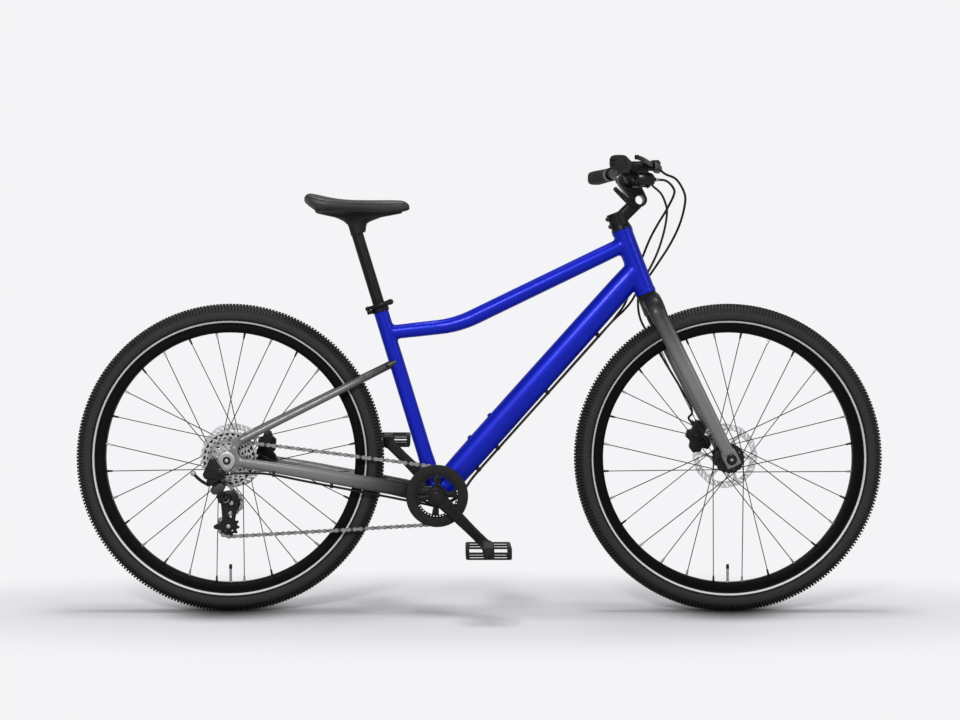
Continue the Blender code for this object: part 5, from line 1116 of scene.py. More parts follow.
def tube_clips():
    """Clips that hold hose and housing under the down tube."""
    for index, along in enumerate(CLIP_PLACES):
        path = [down_tube_place(along + reach, DOWN_TUBE_SURFACE + 0.0032) for reach in (-0.0045, 0.0045)]
        clip = softened(tube(path, [(0.0168, 0.011)] * 2, LEFT, 32, 3.0), 0.001)
        finished(clip, "down_tube_clip_%d" % index, "plastic", "frame")
        band = down_tube_place(along, DOWN_TUBE_SURFACE + 0.0032)
        line = (path[1] - path[0]).normalized()
        strap = tube([band - line * 0.0012, band + line * 0.0012], [(0.0182, 0.0124)] * 2, LEFT, 32, 3.0)
        finished(softened(strap, 0.0004), "down_tube_strap_%d" % index, "plastic", "frame")


def stay_clips():
    """Clips that hold hose and housing under the chainstays."""
    for (name, side), points in zip(SIDES, (SHIFT_HOUSING, REAR_HOSE)):
        route = smooth_path(points, 12)
        for index, x in enumerate((-0.212, -0.315, -0.435 if side < 0 else -0.4)):
            place = min(route, key=lambda point: abs(point.x - x) + (9 if point.z > 0.3 else 0))
            ring = tube([place - FORWARD * 0.0035, place + FORWARD * 0.0035],
                [(0.0084, 0.0084)] * 2, LEFT, 24)
            stem = block(place + Vector((-0.0028, -0.0032, 0.0)),
                place + Vector((0.0028, 0.0032, 0.0078)), 0.0008)
            finished(joined(softened(ring, 0.0008), stem), "stay_clip_%s_%d" % (name, index),
                "plastic", "frame")


class BIKE_OT_frame_trim(PieceOperator, bpy.types.Operator):
    """Add the hanger, axle, bottle bosses, cable clips and small screws"""

    bl_idname = "bike.frame_trim"
    bl_label = "Frame trim"

    def build(self):
        hanger()
        rear_axle()
        bottle_bosses()
        tube_clips()
        stay_clips()
        for name, side in SIDES:
            add_bolt("seatstay_boss_" + name, "black metal", "frame",
                Vector((-0.1969, side * 0.0172, 0.5266)), LEFT * side, 0.0034, 0.0026)


# Fork

CROWN_HEIGHT = 0.334
CROWN_SPREAD = 0.0465
DROPOUT_SPREAD = 0.05515
BLADE_AHEAD = 0.039
BLADE_RAKE = 0.1018


def blade_path(side):
    """Centre line of a fork blade, from the crown to just above the axle."""
    path = []
    for height, spread in ((CROWN_HEIGHT, 0.0), (0.29, 0.4), (0.16, 0.75), (0.012, 1.0)):
        across = CROWN_SPREAD + (DROPOUT_SPREAD - CROWN_SPREAD) * spread
        path.append(steer(BLADE_AHEAD - BLADE_RAKE * height, across * side, height))
    return path


def fork_skin():
    """Crown, steerer's foot, blades and dropouts, welded into one."""
    arch = [(CROWN_SPREAD, 0.0), (0.0435, 0.014), (0.0355, 0.027), (0.0205, 0.036), (0.0, 0.04)]
    arch += [(-side, rise) for side, rise in arch[-2::-1]]
    path = smooth_path([steer(0.005, side, CROWN_HEIGHT + rise) for side, rise in arch], 5)
    half = even((0.036, 0.026), (0.042, 0.036), 5)
    sizes = smooth_sizes(half + half[-2::-1], 5)
    parts = [tube(path, sizes, STEER_AHEAD, 40, 2.4, ends=(STEER_UP, -STEER_UP))]
    column = [(0.345, 0.0), (0.345, 0.02), (0.3885, 0.0205), (0.3885, 0.0)]
    parts.append(turned(STEER_FOOT, STEER_UP, column))
    sizes = smooth_sizes(((0.026, 0.036), (0.0235, 0.0345), (0.021, 0.031), (0.016, 0.026)), 6)
    for _, side in SIDES:
        down = smooth_path(blade_path(side), 6)
        line = (down[-1] - down[-2]).normalized()
        parts.append(tube(down, sizes, LEFT, 40, 2.4, ends=(-STEER_UP, line)))
        foot = moved_to(FRONT_AXLE, side * DROPOUT_SPREAD) - line * 0.0005
        lug = tube([foot - line * 0.021, foot - line * 0.012, foot + line * 0.0165],
            [(0.01, 0.029), (0.0097, 0.033), (0.0097, 0.032)], LEFT, 40, 5.0)
        parts.append(lug)
    skin = joined(*parts)
    crown = steer(0.005, 0.0, CROWN_HEIGHT + 0.02)
    welds = [crown, crown + LEFT * 0.03, crown - LEFT * 0.03]
    welds += [moved_to(steer(0.037, 0.0, 0.022), side * 0.055) for side in (-1, 1)]
    skin = blended(skin, settings("bike_tubes").stay_voxel, welds, 0.024, 16)
    finished(skin, "fork_skin", "satin paint", "fork",
        ("fork_steerer", "fork_blade_right", "fork_blade_left"), 60)


def front_axle():
    """Through axle and its tip."""
    right = turned(FRONT_AXLE, LEFT,
        [(-0.064, 0.0036), (-0.064, 0.0088), (-0.063, 0.01), (-0.0602, 0.0112), (-0.0602, 0.0036)])
    left = turned(FRONT_AXLE, LEFT,
        [(0.0602, 0.0), (0.0602, 0.009), (0.0615, 0.009), (0.0625, 0.008), (0.0625, 0.0045),
        (0.0608, 0.004), (0.0608, 0.0)])
    shaft = cross_rod(FRONT_AXLE, -0.06, 0.0602, 0.0059, 32)
    finished(joined(right, left, shaft), "front_axle_shaft", "gloss black", "fork", ("front_axle",))
    add_bolt("front_axle_tip", "alloy", "fork", moved_to(FRONT_AXLE, -0.0605), -LEFT, 0.0034, 0.0034, 0.55)


class BIKE_OT_fork(PieceOperator, bpy.types.Operator):
    """Add the rigid fork as one painted skin, with its lower race and axle"""

    bl_idname = "bike.fork"
    bl_label = "Fork"

    def build(self):
        fork_skin()
        race = turned(STEER_FOOT, STEER_UP,
            [(0.3872, 0.019), (0.3872, 0.0212), (0.388, 0.0217), (0.3903, 0.0217),
            (0.3909, 0.021), (0.3909, 0.019)])
        finished(race, "lower_race", "gloss black", "fork")
        front_axle()


# Wheels

RIM_EDGE = 0.2835
SIDEWALL_SQUASH = 0.96
KNOB_SIDE = 0.0052
KNOB_TILT = 6
NIPPLE_SEAT = 0.2684
SPOKE_HOLES = 0.029
FIRST_SPOKE = 83.571
SPOKE_LACING = 77.14


def carcass_place(angle):
    """Side and radius of a point on the tyre's skin, by its angle in degrees from the widest place."""
    wheel = settings("bike_wheels")
    outer = wheel.tyre_diameter / 2 - wheel.knob_height
    rise = (outer - RIM_EDGE) / 2
    turn = math.radians(angle)
    squash = 1.0 if math.sin(turn) < 0 else SIDEWALL_SQUASH
    return wheel.tyre_width / 2 * math.cos(turn), outer - rise + rise * squash * math.sin(turn)


def knobs(centre):
    """Crown blocks and long shoulder ribs, repeated round the wheel."""
    wheel = settings("bike_wheels")
    outer = wheel.tyre_diameter / 2
    high = wheel.knob_height
    pitch = FULL_TURN / wheel.pitches
    crown = []
    for _, side in SIDES[::-1]:
        fresh()
        bpy.ops.mesh.primitive_cube_add(size=1, scale=(0.29 * pitch * outer, 0.0088, high + 0.0016))
        knob = settled(bpy.context.object)
        lean = Matrix.Rotation(-math.radians(KNOB_TILT * side), 4, "X")
        place = Matrix.Translation((0.0, KNOB_SIDE * side, outer - 0.0013 - high / 2))
        knob.data.transform(Matrix.Translation(centre) @ place @ lean)
        crown.append(knob)
    ribs = []
    for side in (-1, 1):
        path = []
        for angle in (20, 42, 66):
            across, radius = carcass_place(angle)
            path.append(centre + LEFT * (side * across) + UP * (radius + 0.0002))
        rib = tube(path, ((0.004, 0.0024), (0.0042, 0.0038), (0.0042, 0.0046)), FORWARD, 8, 6.0)
        ribs.append(repeated(rib, wheel.pitches * 2, centre))
    return joined(repeated(joined(*crown), wheel.pitches * 2, centre), *ribs)


def tyre(centre, name):
    profile = [(-0.0112, 0.2802)] + [carcass_place(242 - 9.5 * step)
        for step in range(33)] + [(0.0112, 0.2802)]
    carcass = turned(centre, LEFT, profile, 180)
    finished(carcass, name + "_tyre_carcass", name + " tyre", name + "_wheel", (name + "_tyre",), 50)
    finished(knobs(centre), name + "_tyre_tread", "tread", name + "_wheel")


def rim(centre, name):
    right = [(-0.009, 0.268), (-0.0112, 0.269), (-0.0128, 0.2725), (-0.0133, 0.2765), (-0.0135, 0.2848),
        (-0.0131, 0.2855), (-0.0119, 0.2855), (-0.0114, 0.2846), (-0.0114, 0.28)]
    profile = right + [(-side, radius) for side, radius in right[::-1]]
    return finished(turned(centre, LEFT, profile, 180), name + "_rim_hoop", "rim", name + "_wheel",
        (name + "_rim",), 30)


def spokes(centre, name, flanges):
    """Crossed spokes with bent heads, and their nipples."""
    wheel = settings("bike_wheels")
    radius = wheel.spoke_diameter / 2
    wires, bright, dark = [], [], []
    for index in range(4):
        rim_angle = math.radians(FIRST_SPOKE) - FULL_TURN * index / wheel.spokes
        lean = 1 if index < 2 else -1
        hub_angle = rim_angle + math.radians(SPOKE_LACING) * lean
        flange = flanges[1] if index % 2 == 0 else flanges[0]
        toward = 1 if index % 2 == 0 else -1
        face = flange + toward * lean * 0.0032
        hub_end = centre + ray(hub_angle) * SPOKE_HOLES + LEFT * face
        rim_end = centre + ray(rim_angle) * NIPPLE_SEAT + LEFT * (toward * (0.0035 + lean * 0.0012))
        line = (rim_end - hub_end).normalized()
        wires.append(rod(hub_end, rim_end, radius, 8))
        wires.append(cross_rod(hub_end, face + toward * lean * 0.0006,
            flange - toward * lean * 0.003, radius, 8))
        wires.append(cross_rod(hub_end, flange - toward * lean * 0.0028,
            flange - toward * lean * 0.0036, radius * 2.0, 12))
        nipple = rod(rim_end - line * 0.0125, rim_end, 0.0019, 10, 0.0026)
        (dark if toward > 0 else bright).append(nipple)
    turns = wheel.spokes // 4
    carrier = name + "_wheel"
    finished(repeated(joined(*wires), turns, centre), name + "_spokes", "spoke", carrier)
    finished(repeated(joined(*bright), turns, centre), name + "_nipples_right", "alloy", carrier)
    finished(repeated(joined(*dark), turns, centre), name + "_nipples_left", "gloss black", carrier)


def flange_disc(centre, place, turn):
    """Hub flange with a lobe at each pair of spokes and holes between."""
    outline = []
    for step in range(168):
        angle = FULL_TURN * step / 168
        radius = 0.0306 + 0.0014 * math.cos(14 * (angle - turn))
        outline.append((centre.x + radius * math.cos(angle), centre.z + radius * math.sin(angle)))
    disc = plate(outline, *about(place, 0.00225), 0.0007)
    angle = turn + math.pi / 7
    hole_place = centre + ray(angle) * 0.0222
    holes = repeated(cross_rod(hole_place, *about(place, CUT_REACH), 0.003, 20), 7, centre)
    return carved(disc, holes)


def hub(centre, name, right_end, flanges, carrier, left_end):
    right_flange, left_flange = flanges
    profile = [(right_end, 0.0063), (right_end, 0.009), (right_end + 0.0008, 0.0098),
        (right_flange - 0.006, 0.0128), (right_flange - 0.0022, 0.0185), (right_flange + 0.0022, 0.0185),
        (right_flange + 0.006, 0.0145), (0.0, 0.0132), (left_flange - 0.006, 0.0148),
        (left_flange - 0.0022, 0.019), (left_flange + 0.0022, 0.019), (left_flange + 0.006, 0.0168),
        (carrier - 0.004, 0.018), (carrier - 0.0012, 0.0214), (carrier - 0.001, 0.0164),
        (carrier + 0.003, 0.0164), (carrier + 0.0036, 0.015), (left_end - 0.001, 0.0092),
        (left_end, 0.0085), (left_end, 0.0063)]
    barrel = turned(centre, LEFT, profile, 72)
    discs = [flange_disc(centre, place, math.radians(6.4)) for place in flanges]
    finished(joined(barrel, *discs), name + "_hub_shell", "gloss black", name + "_wheel", (name + "_hub",))


def rotor(centre, name, place):
    """Waved brake disc with slots and slanted arms."""
    outline = []
    for step in range(288):
        angle = FULL_TURN * step / 288
        radius = 0.0692 + 0.0008 * math.cos(12 * angle)
        outline.append((centre.x + radius * math.cos(angle), centre.z + radius * math.sin(angle)))
    disc = plate(outline, *about(place, 0.001))
    bore = cross_rod(centre, *about(place, CUT_REACH), 0.0166, 64)
    window = []
    for radius, start, end in ((0.0262, 12, 62), (0.0555, 50, -2)):
        for step in range(9):
            angle = math.radians(start + (end - start) * step / 8)
            wave = 0.0013 * math.cos(3.6 * angle) if radius > 0.04 else 0.0
            window.append((centre.x + (radius + wave) * math.cos(angle),
                centre.z + (radius + wave) * math.sin(angle)))
    windows = repeated(plate(window, *about(place, CUT_REACH)), 6, centre)
    slot_places = ((0.0, 0.0598), (5.0, 0.0655))
    slot_ends = [centre + ray(math.radians(angle)) * radius for angle, radius in slot_places]
    slot = plate(hull([(end, 0.0013) for end in slot_ends], 12), *about(place, CUT_REACH))
    slots = repeated(slot, 36, centre)
    disc = carved(disc, bore, windows, slots)
    finished(softened(disc, 0.0002, 1), name + "_rotor_disc", "rotor", name + "_wheel", (name + "_rotor",))
    bolt_place = centre + ray(0.4) * 0.02
    bolt = hex_bolt(moved_to(bolt_place, place + 0.0008), LEFT, 0.0028, 0.002)
    finished(repeated(bolt, 6, centre), name + "_rotor_bolts", "gloss black", name + "_wheel")


def valve(centre, name):
    top = centre + UP * -0.269
    stem = rod(top + UP * 0.0005, top + UP * 0.03, 0.0027, 20)
    nut = rod(top + UP * -0.0002, top + UP * 0.003, 0.005, 6)
    cap = rod(top + UP * 0.03, top + UP * 0.0395, 0.0036, 20, 0.003)
    finished(softened(joined(stem, nut), 0.0003, 1), name + "_valve_stem", "alloy", name + "_wheel")
    finished(softened(cap, 0.0006), name + "_valve_cap", "plastic", name + "_wheel")


class BIKE_OT_wheels(PieceOperator, bpy.types.Operator):
    """Add both wheels: tyre, rim, spokes, hub, rotor and valve"""

    bl_idname = "bike.wheels"
    bl_label = "Wheels"

    def build(self):
        wheels = (("front", FRONT_AXLE, -0.0497, (-0.03225, 0.02025), 0.0365, 0.0497),
            ("rear", REAR_AXLE, -0.0264, (-0.02125, 0.03325), 0.0528, 0.0672))
        for name, centre, right_end, flanges, rotor_place, left_end in wheels:
            tyre(centre, name)
            rim(centre, name)
            spokes(centre, name, flanges)
            hub(centre, name, right_end, flanges, rotor_place, left_end)
            rotor(centre, name, rotor_place)
            valve(centre, name)


# Drivetrain

CHAIN_LINE = -0.0433
CHAIN_PITCH = 0.0127
SPROCKET_HALF = 0.0009
CHAINRING_TEETH = 30
CASSETTE_TEETH = (30, 26, 23, 20, 17, 15, 13, 11)
CHOSEN_SPROCKET = 3
PULLEY_TEETH = 11
GUIDE_PULLEY = moved_to(pivot("pulley_upper_spin"), 0.0)
TENSION_PULLEY = moved_to(pivot("pulley_lower_spin"), 0.0)


def pitch_radius(teeth):
    return CHAIN_PITCH / (2 * math.sin(math.pi / teeth))


def sprocket_place(index):
    return CHAIN_LINE - 0.0048 * (index - CHOSEN_SPROCKET)


def spoke_place(centre, angle, radius, side=0.0):
    """Point round a wheel, with the angle in degrees from straight ahead towards the top."""
    turn = math.radians(angle)
    return Vector((centre.x + radius * math.cos(turn), side, centre.z + radius * math.sin(turn)))


def toothed(centre, teeth, valley, tip=0.0015, root=0.0036):
    """Outline of a sprocket that has a valley at the given angle."""
    radius = pitch_radius(teeth)
    shape = ((0.0, -root), (0.17, -root * 0.82), (0.3, -root * 0.15), (0.43, tip), (0.57, tip),
        (0.7, -root * 0.15), (0.83, -root * 0.82))
    points = []
    for tooth in range(teeth):
        for share, reach in shape:
            place = spoke_place(centre, valley + 360 * (tooth + share) / teeth, radius + reach)
            points.append((place.x, place.z))
    return points


def belt(circles):
    """Closed route round circles of (centre, radius, turn), with turn +1 or -1, as short pieces."""
    tangents = []
    for (first, r1, s1), (second, r2, s2) in zip(circles, circles[1:] + circles[:1]):
        gap = second - first
        lean = math.asin((s2 * r2 - s1 * r1) / gap.length)
        angle = math.atan2(gap.z, gap.x) - lean
        square = Vector((-math.sin(angle), 0.0, math.cos(angle)))
        tangents.append((first - square * (s1 * r1), second - square * (s2 * r2)))
    pieces = []
    for index, (centre, radius, turn) in enumerate(circles):
        arrive = tangents[index - 1][1] - centre
        leave = tangents[index][0] - centre
        start = math.atan2(arrive.z, arrive.x)
        sweep = (math.atan2(leave.z, leave.x) - start) * turn % FULL_TURN
        pieces.append(("arc", radius * sweep, centre, radius, start, turn))
        pieces.append(("line", (tangents[index][1] - tangents[index][0]).length, *tangents[index]))
    return pieces


def along_belt(pieces, distance):
    for piece in pieces:
        if distance <= piece[1]:
            break
        distance -= piece[1]
    if piece[0] == "line":
        return piece[2].lerp(piece[3], distance / piece[1])
    _, _, centre, radius, start, turn = piece
    angle = start + turn * distance / radius
    return centre + ray(angle) * radius


def chain_pins():
    """Places of the chain's pins."""
    small = pitch_radius(PULLEY_TEETH)
    circles = [(CRANK, pitch_radius(CHAINRING_TEETH), 1),
        (REAR_AXLE, pitch_radius(CASSETTE_TEETH[CHOSEN_SPROCKET]), 1), (GUIDE_PULLEY, small, -1),
        (TENSION_PULLEY, small, 1)]
    pieces = belt(circles)
    whole = sum(piece[1] for piece in pieces)
    count = 2 * round(whole / CHAIN_PITCH / 2)
    return [along_belt(pieces, whole * index / count) for index in range(count)]


def valley_at(centre, pins):
    """Angle of the chain pin that lies deepest on a sprocket's round side."""
    far = {tuple(CRANK): 1, tuple(REAR_AXLE): -1}.get(tuple(centre), 0)
    if far:
        pin = min(pins, key=lambda point: (point - centre).length - far * (point - centre).x)
    else:
        pin = min(pins, key=lambda point: (point - centre).length)
    return math.degrees(math.atan2(pin.z - centre.z, pin.x - centre.x))


def link_side(near, far):
    """One plate of a chain link, round its two pins."""
    half = CHAIN_PITCH / 2
    outline = arc(Vector((half, 0.0, 0.0)), 0.0042, -118, 118, 9) + [(0.0, 0.0022)]
    outline += arc(Vector((-half, 0.0, 0.0)), 0.0042, 62, 298, 9) + [(0.0, -0.0022)]
    return plate(outline, near, far)


def chain_links():
    """Outer and inner link, each lying along X with its middle at the origin."""
    half = CHAIN_PITCH / 2
    outer = [link_side(0.0023, 0.0033), link_side(-0.0033, -0.0023)]
    outer += [cross_rod(Vector((x, 0.0, 0.0)), -0.0036, 0.0036, 0.0017, 12) for x in (-half, half)]
    inner = [link_side(0.0013, 0.0022), link_side(-0.0022, -0.0013)]
    inner += [cross_rod(Vector((x, 0.0, 0.0)), -0.0013, 0.0013, 0.0037, 16) for x in (-half, half)]
    return joined(*outer), joined(*inner)


class BIKE_OT_chain(PieceOperator, bpy.types.Operator):
    """Add the chain, link by link along its run"""

    bl_idname = "bike.chain"
    bl_label = "Chain"

    def build(self):
        pins = chain_pins()
        templates = chain_links()
        links = ([], [])
        for index, (start, end) in enumerate(zip(pins, pins[1:] + pins[:1])):
            ahead = (end - start).normalized()
            turn = Matrix((ahead, LEFT, ahead.cross(LEFT))).transposed().to_4x4()
            place = moved_to((start + end) / 2, CHAIN_LINE)
            links[index % 2].append(copy_of(templates[index % 2], Matrix.Translation(place) @ turn))
        for template in templates:
            bpy.data.objects.remove(template)
        finished(joined(*links[0]), "chain_outer_links", "chain", "frame", ("chain",), 40)
        finished(joined(*links[1]), "chain_inner_links", "inner chain", "frame", (), 40)


class BIKE_OT_cassette(PieceOperator, bpy.types.Operator):
    """Add the eight sprockets, their black spacers that also stand as painted shade between them, and the
    lock ring
    """

    bl_idname = "bike.cassette"
    bl_label = "Cassette"

    def build(self):
        pins = chain_pins()
        for index, teeth in enumerate(CASSETTE_TEETH):
            place = sprocket_place(index)
            valley = valley_at(REAR_AXLE, pins) if index == CHOSEN_SPROCKET else 11.0 * index
            disc = plate(toothed(REAR_AXLE, teeth, valley), *about(place, SPROCKET_HALF))
            radius = pitch_radius(teeth)
            if radius > 0.038:
                inner, outer = 0.024, radius - 0.0088
                count = 8 if teeth > 20 else 6
                ends = [(spoke_place(REAR_AXLE, valley + 4, inner), 0.0026),
                    (spoke_place(REAR_AXLE, valley + 10, outer), 0.0044)]
                slots = repeated(plate(hull(ends, 20), *about(place, CUT_REACH)), count, REAR_AXLE)
                small = cross_rod(spoke_place(REAR_AXLE, valley + 30, outer + 0.001),
                    *about(place, CUT_REACH), 0.0022, 14)
                disc = carved(disc, slots, repeated(small, count, REAR_AXLE))
            replaced = ("cassette",) if index == 0 else ()
            finished(disc, "sprocket_%d" % teeth, "steel", "cassette", replaced, 30)
        core = cross_rod(REAR_AXLE, -0.0652, -0.0266, 0.0174, 48)
        finished(core, "cassette_core", "gloss black", "cassette")
        # Spacers between the sprockets, black and wide enough to show between the teeth as painted shade in
        # the gaps between sprockets
        spacers = [cross_rod(REAR_AXLE, sprocket_place(index) - 0.0037, sprocket_place(index) - 0.0008,
            pitch_radius(teeth) - 0.0062, 72) for index, teeth in enumerate(CASSETTE_TEETH[:-1])]
        finished(joined(*spacers), "cassette_spacers_and_shade", "black metal", "cassette")
        ring = turned(REAR_AXLE, LEFT,
            [(-0.0634, 0.01), (-0.0634, 0.0172), (-0.066, 0.0172), (-0.0666, 0.0164), (-0.0666, 0.013),
            (-0.0658, 0.0125), (-0.0658, 0.01)])
        notch = cross_rod(spoke_place(REAR_AXLE, 0, 0.0126), -0.07, -0.0645, 0.0012, 8)
        finished(carved(ring, repeated(notch, 12, REAR_AXLE)), "cassette_lock_ring", "alloy", "cassette")


CRANK_REACH = moved_to(pivot("pedal_right_spin"), 0.0) - moved_to(CRANK, 0.0)
SPIDER_ANGLES = (5, 90, 190, 265)


def chainring():
    """Toothed ring with windows between the spider's arms."""
    low, high = about(CHAIN_LINE, SPROCKET_HALF)
    ring = plate(toothed(CRANK, CHAINRING_TEETH, valley_at(CRANK, chain_pins())), low, high)
    cutters = [cross_rod(CRANK, low - 0.01, high + 0.01, 0.0123, 48)]
    for angle, following in zip(SPIDER_ANGLES, SPIDER_ANGLES[1:] + (SPIDER_ANGLES[0] + 360,)):
        outline = arc(CRANK, 0.0405, angle + 11, following - 11, 16)
        outline += arc(CRANK, 0.0225, following - 15, angle + 15, 16)
        cutters.append(plate(outline, low - 0.01, high + 0.01))
    dot = cross_rod(spoke_place(CRANK, 4, 0.0436), low - 0.01, high + 0.01, 0.0013, 12)
    cutters.append(repeated(dot, 42, CRANK))
    ring = softened(carved(ring, *cutters), 0.0002, 1)
    finished(ring, "chainring_plate", "gloss black", "crank", ("chainring",), 30)


def spider():
    """Four-armed spider on its shoulder and spindle."""
    outline = []
    for step in range(180):
        angle = step * 2
        off = min(abs((angle - arm + 180) % 360 - 180) for arm in SPIDER_ANGLES)
        share = max(0.0, min(1.0, (13 - off) / 8))
        radius = 0.0185 + (0.0415 - 0.0185) * share * share * (3 - 2 * share)
        place = spoke_place(CRANK, angle, radius)
        outline.append((place.x, place.z))
    spider = plate(outline, -0.0505, -0.0444, 0.001)
    bores = [cross_rod(spoke_place(CRANK, angle, 0.0352), -0.06, -0.04, 0.0024, 20)
        for angle in SPIDER_ANGLES]
    finished(carved(spider, *bores), "chainring_spider", "black metal", "crank")
    shoulder = turned(CRANK, LEFT,
        [(-0.054, 0.0), (-0.054, 0.0145), (-0.0505, 0.017), (-0.045, 0.017), (-0.044, 0.0122),
        (-0.0344, 0.012), (-0.0344, 0.0)])
    spindle = cross_rod(CRANK, -0.04, 0.056, 0.0085, 48)
    finished(joined(shoulder, spindle), "crank_spindle", "black metal", "crank")


def guard_ring():
    """Chain guard with its posts and screws."""
    guard = turned(CRANK, LEFT, [(-0.0475, 0.0464), (-0.0475, 0.0656), (-0.0479, 0.066), (-0.05, 0.066),
        (-0.0507, 0.0655), (-0.051, 0.0645), (-0.051, 0.0475), (-0.0507, 0.0465), (-0.05, 0.046),
        (-0.0479, 0.046)], 128)
    posts = repeated(cross_rod(spoke_place(CRANK, 42, 0.0515), -0.048, -0.0444, 0.0033, 24), 4, CRANK)
    finished(joined(guard, posts), "guard_ring", "guard", "crank", ("chain_guard",), 30)
    screw = hex_bolt(spoke_place(CRANK, 42, 0.0515, -0.0508), -LEFT, 0.0034, 0.001)
    finished(repeated(screw, 4, CRANK), "guard_screws", "gloss black", "crank")


def crank_arm(name, side):
    """Tapered arm with its groove, pedal pin, bolt and trim."""
    reach = CRANK_REACH * -side
    places = (-0.02, 0.0, 0.35, 0.7, 1.0, 1.03)
    sides = (0.0595, 0.0595, 0.0605, 0.063, 0.0662, 0.0666)
    path = [moved_to(CRANK + reach * share, side * out) for share, out in zip(places, sides)]
    sizes = ((0.03, 0.013), (0.031, 0.014), (0.0255, 0.0136), (0.0215, 0.013),
        (0.0225, 0.0122), (0.022, 0.0115))
    arm = tube(smooth_path(path, 4), smooth_sizes(sizes, 4), reach.cross(LEFT).normalized(), 56, 6.5)
    tip = CRANK + reach
    boss = softened(cross_rod(CRANK, side * 0.052, side * 0.0672, 0.0178, 64), 0.0012)
    end = softened(cross_rod(tip, side * 0.06, side * 0.073, 0.0137, 48), 0.0012)
    skin = remeshed(joined(arm, boss, end), 0.0009, 2)
    ends = [(CRANK + reach * 0.24, 0.0062), (CRANK + reach * 0.8, 0.0046)]
    near, far = sorted((side * 0.066, side * 0.08))
    skin = carved(skin, plate(hull(ends, 40), near, far))
    finished(skin, "crank_" + name, "black metal", "crank", ("crank_arm_" + name,), 50)
    pin = cross_rod(tip, side * 0.066, side * 0.166, 0.004, 32)
    collar = cross_rod(tip, side * 0.0725, side * 0.076, 0.0078, 6)
    finished(joined(pin, collar), "pedal_pin_" + name, "alloy", "crank")
    add_bolt("crank_bolt_" + name, "gloss black", "crank", moved_to(CRANK, side * 0.067), LEFT * side,
        0.0105, 0.0012, 0.46)
    trim = turned(CRANK, LEFT * side,
        [(0.0665, 0.0112), (0.0665, 0.015), (0.0676, 0.0147), (0.0676, 0.0115)])
    finished(trim, "crank_ring_" + name, "black metal", "crank")


class BIKE_OT_chainset(PieceOperator, bpy.types.Operator):
    """Add chainring, spider, guard ring and both crank arms"""

    bl_idname = "bike.chainset"
    bl_label = "Chainset"

    def build(self):
        chainring()
        spider()
        guard_ring()
        for name, side in SIDES:
            crank_arm(name, side)


def side_span(side, low, high):
    """Two distances across the bike, on one side of it, from right to left."""
    return sorted((side * low, side * high))


def pedal_platform(centre, side):
    """Hollow platform with windows in its top and its sides."""
    near, far = side_span(side, 0.084, 0.176)
    body = block((centre.x - 0.0475, near, centre.z - 0.013),
        (centre.x + 0.0475, far, centre.z + 0.013), 0.0035, 3)
    cutters = []
    y0, y1 = side_span(side, 0.093, 0.167)
    for x in (-0.04, 0.0085):
        cutters.append(block((centre.x + x, y0, centre.z - 0.0092),
            (centre.x + x + 0.0315, y1, centre.z + 0.0092), 0.0015))
        for low, high in ((0.094, 0.1265), (0.1335, 0.166)):
            y2, y3 = side_span(side, low, high)
            cutters.append(block((centre.x + x + 0.0008, y2, centre.z - 0.02),
                (centre.x + x + 0.03, y3, centre.z + 0.02), 0.001))
    body = carved(body, *cutters)
    y0, y1 = side_span(side, 0.08, 0.18)
    for x in (-0.0405, -0.026, 0.011, 0.0255):
        for z in (-0.0096, 0.0018):
            body = carved(body, block((centre.x + x, y0, centre.z + z),
                (centre.x + x + 0.015, y1, centre.z + z + 0.0078), 0.001))
    return body


def pedal(name, side):
    """Platform with its lenses and end cap."""
    centre = moved_to(pivot("pedal_%s_spin" % name), 0.0)
    body = pedal_platform(centre, side)
    finished(body, "pedal_body_" + name, "plastic", "pedal_" + name, ("pedal_" + name,), 35)
    y0, y1 = side_span(side, 0.112, 0.148)
    lenses = [block((centre.x + x, y0, centre.z - 0.0066), (centre.x + x + 0.0016, y1, centre.z + 0.0066),
        0.0004) for x in (-0.048, 0.0464)]
    finished(joined(*lenses), "pedal_lenses_" + name, "pale", "pedal_" + name)
    cap = softened(cross_rod(centre, side * 0.1668, side * 0.1768, 0.0085, 32), 0.0012)
    finished(cap, "pedal_cap_" + name, "plastic", "pedal_" + name)


class BIKE_OT_pedals(PieceOperator, bpy.types.Operator):
    """Add the platform pedals with their windows and pale end lenses"""

    bl_idname = "bike.pedals"
    bl_label = "Pedals"

    def build(self):
        for name, side in SIDES:
            pedal(name, side)


# Derailleur

LINK_ANGLE = math.radians(62.0)
LINK_DOWN = Vector((math.cos(LINK_ANGLE), 0.0, -math.sin(LINK_ANGLE)))
LINK_PIN = Vector((math.sin(LINK_ANGLE), 0.0, math.cos(LINK_ANGLE)))
LINK_LENGTH = 0.0359
LINK_PLACE = -0.066
LINK_TOP = moved_to(pivot("derailleur_shift"), 0.0)
LINK_FOOT = LINK_TOP + LINK_DOWN * LINK_LENGTH
LINK_EARS = ((-0.0143, -0.0113), (0.0053, 0.0083))
CAGE_PIVOT = moved_to(pivot("derailleur_cage_swing"), 0.0)
KNUCKLE_FACE = -0.0791


def slab(origin, pins, down, sides, edge=0.0012):
    """Rounded box aligned with the link: ranges along its pins, down its length and to the left."""
    piece = block((pins[0], down[0], sides[0]), (pins[1], down[1], sides[1]), edge, 3)
    turn = Matrix((LINK_PIN, LINK_DOWN, LEFT)).transposed().to_4x4()
    piece.data.transform(Matrix.Translation(origin) @ turn)
    return piece


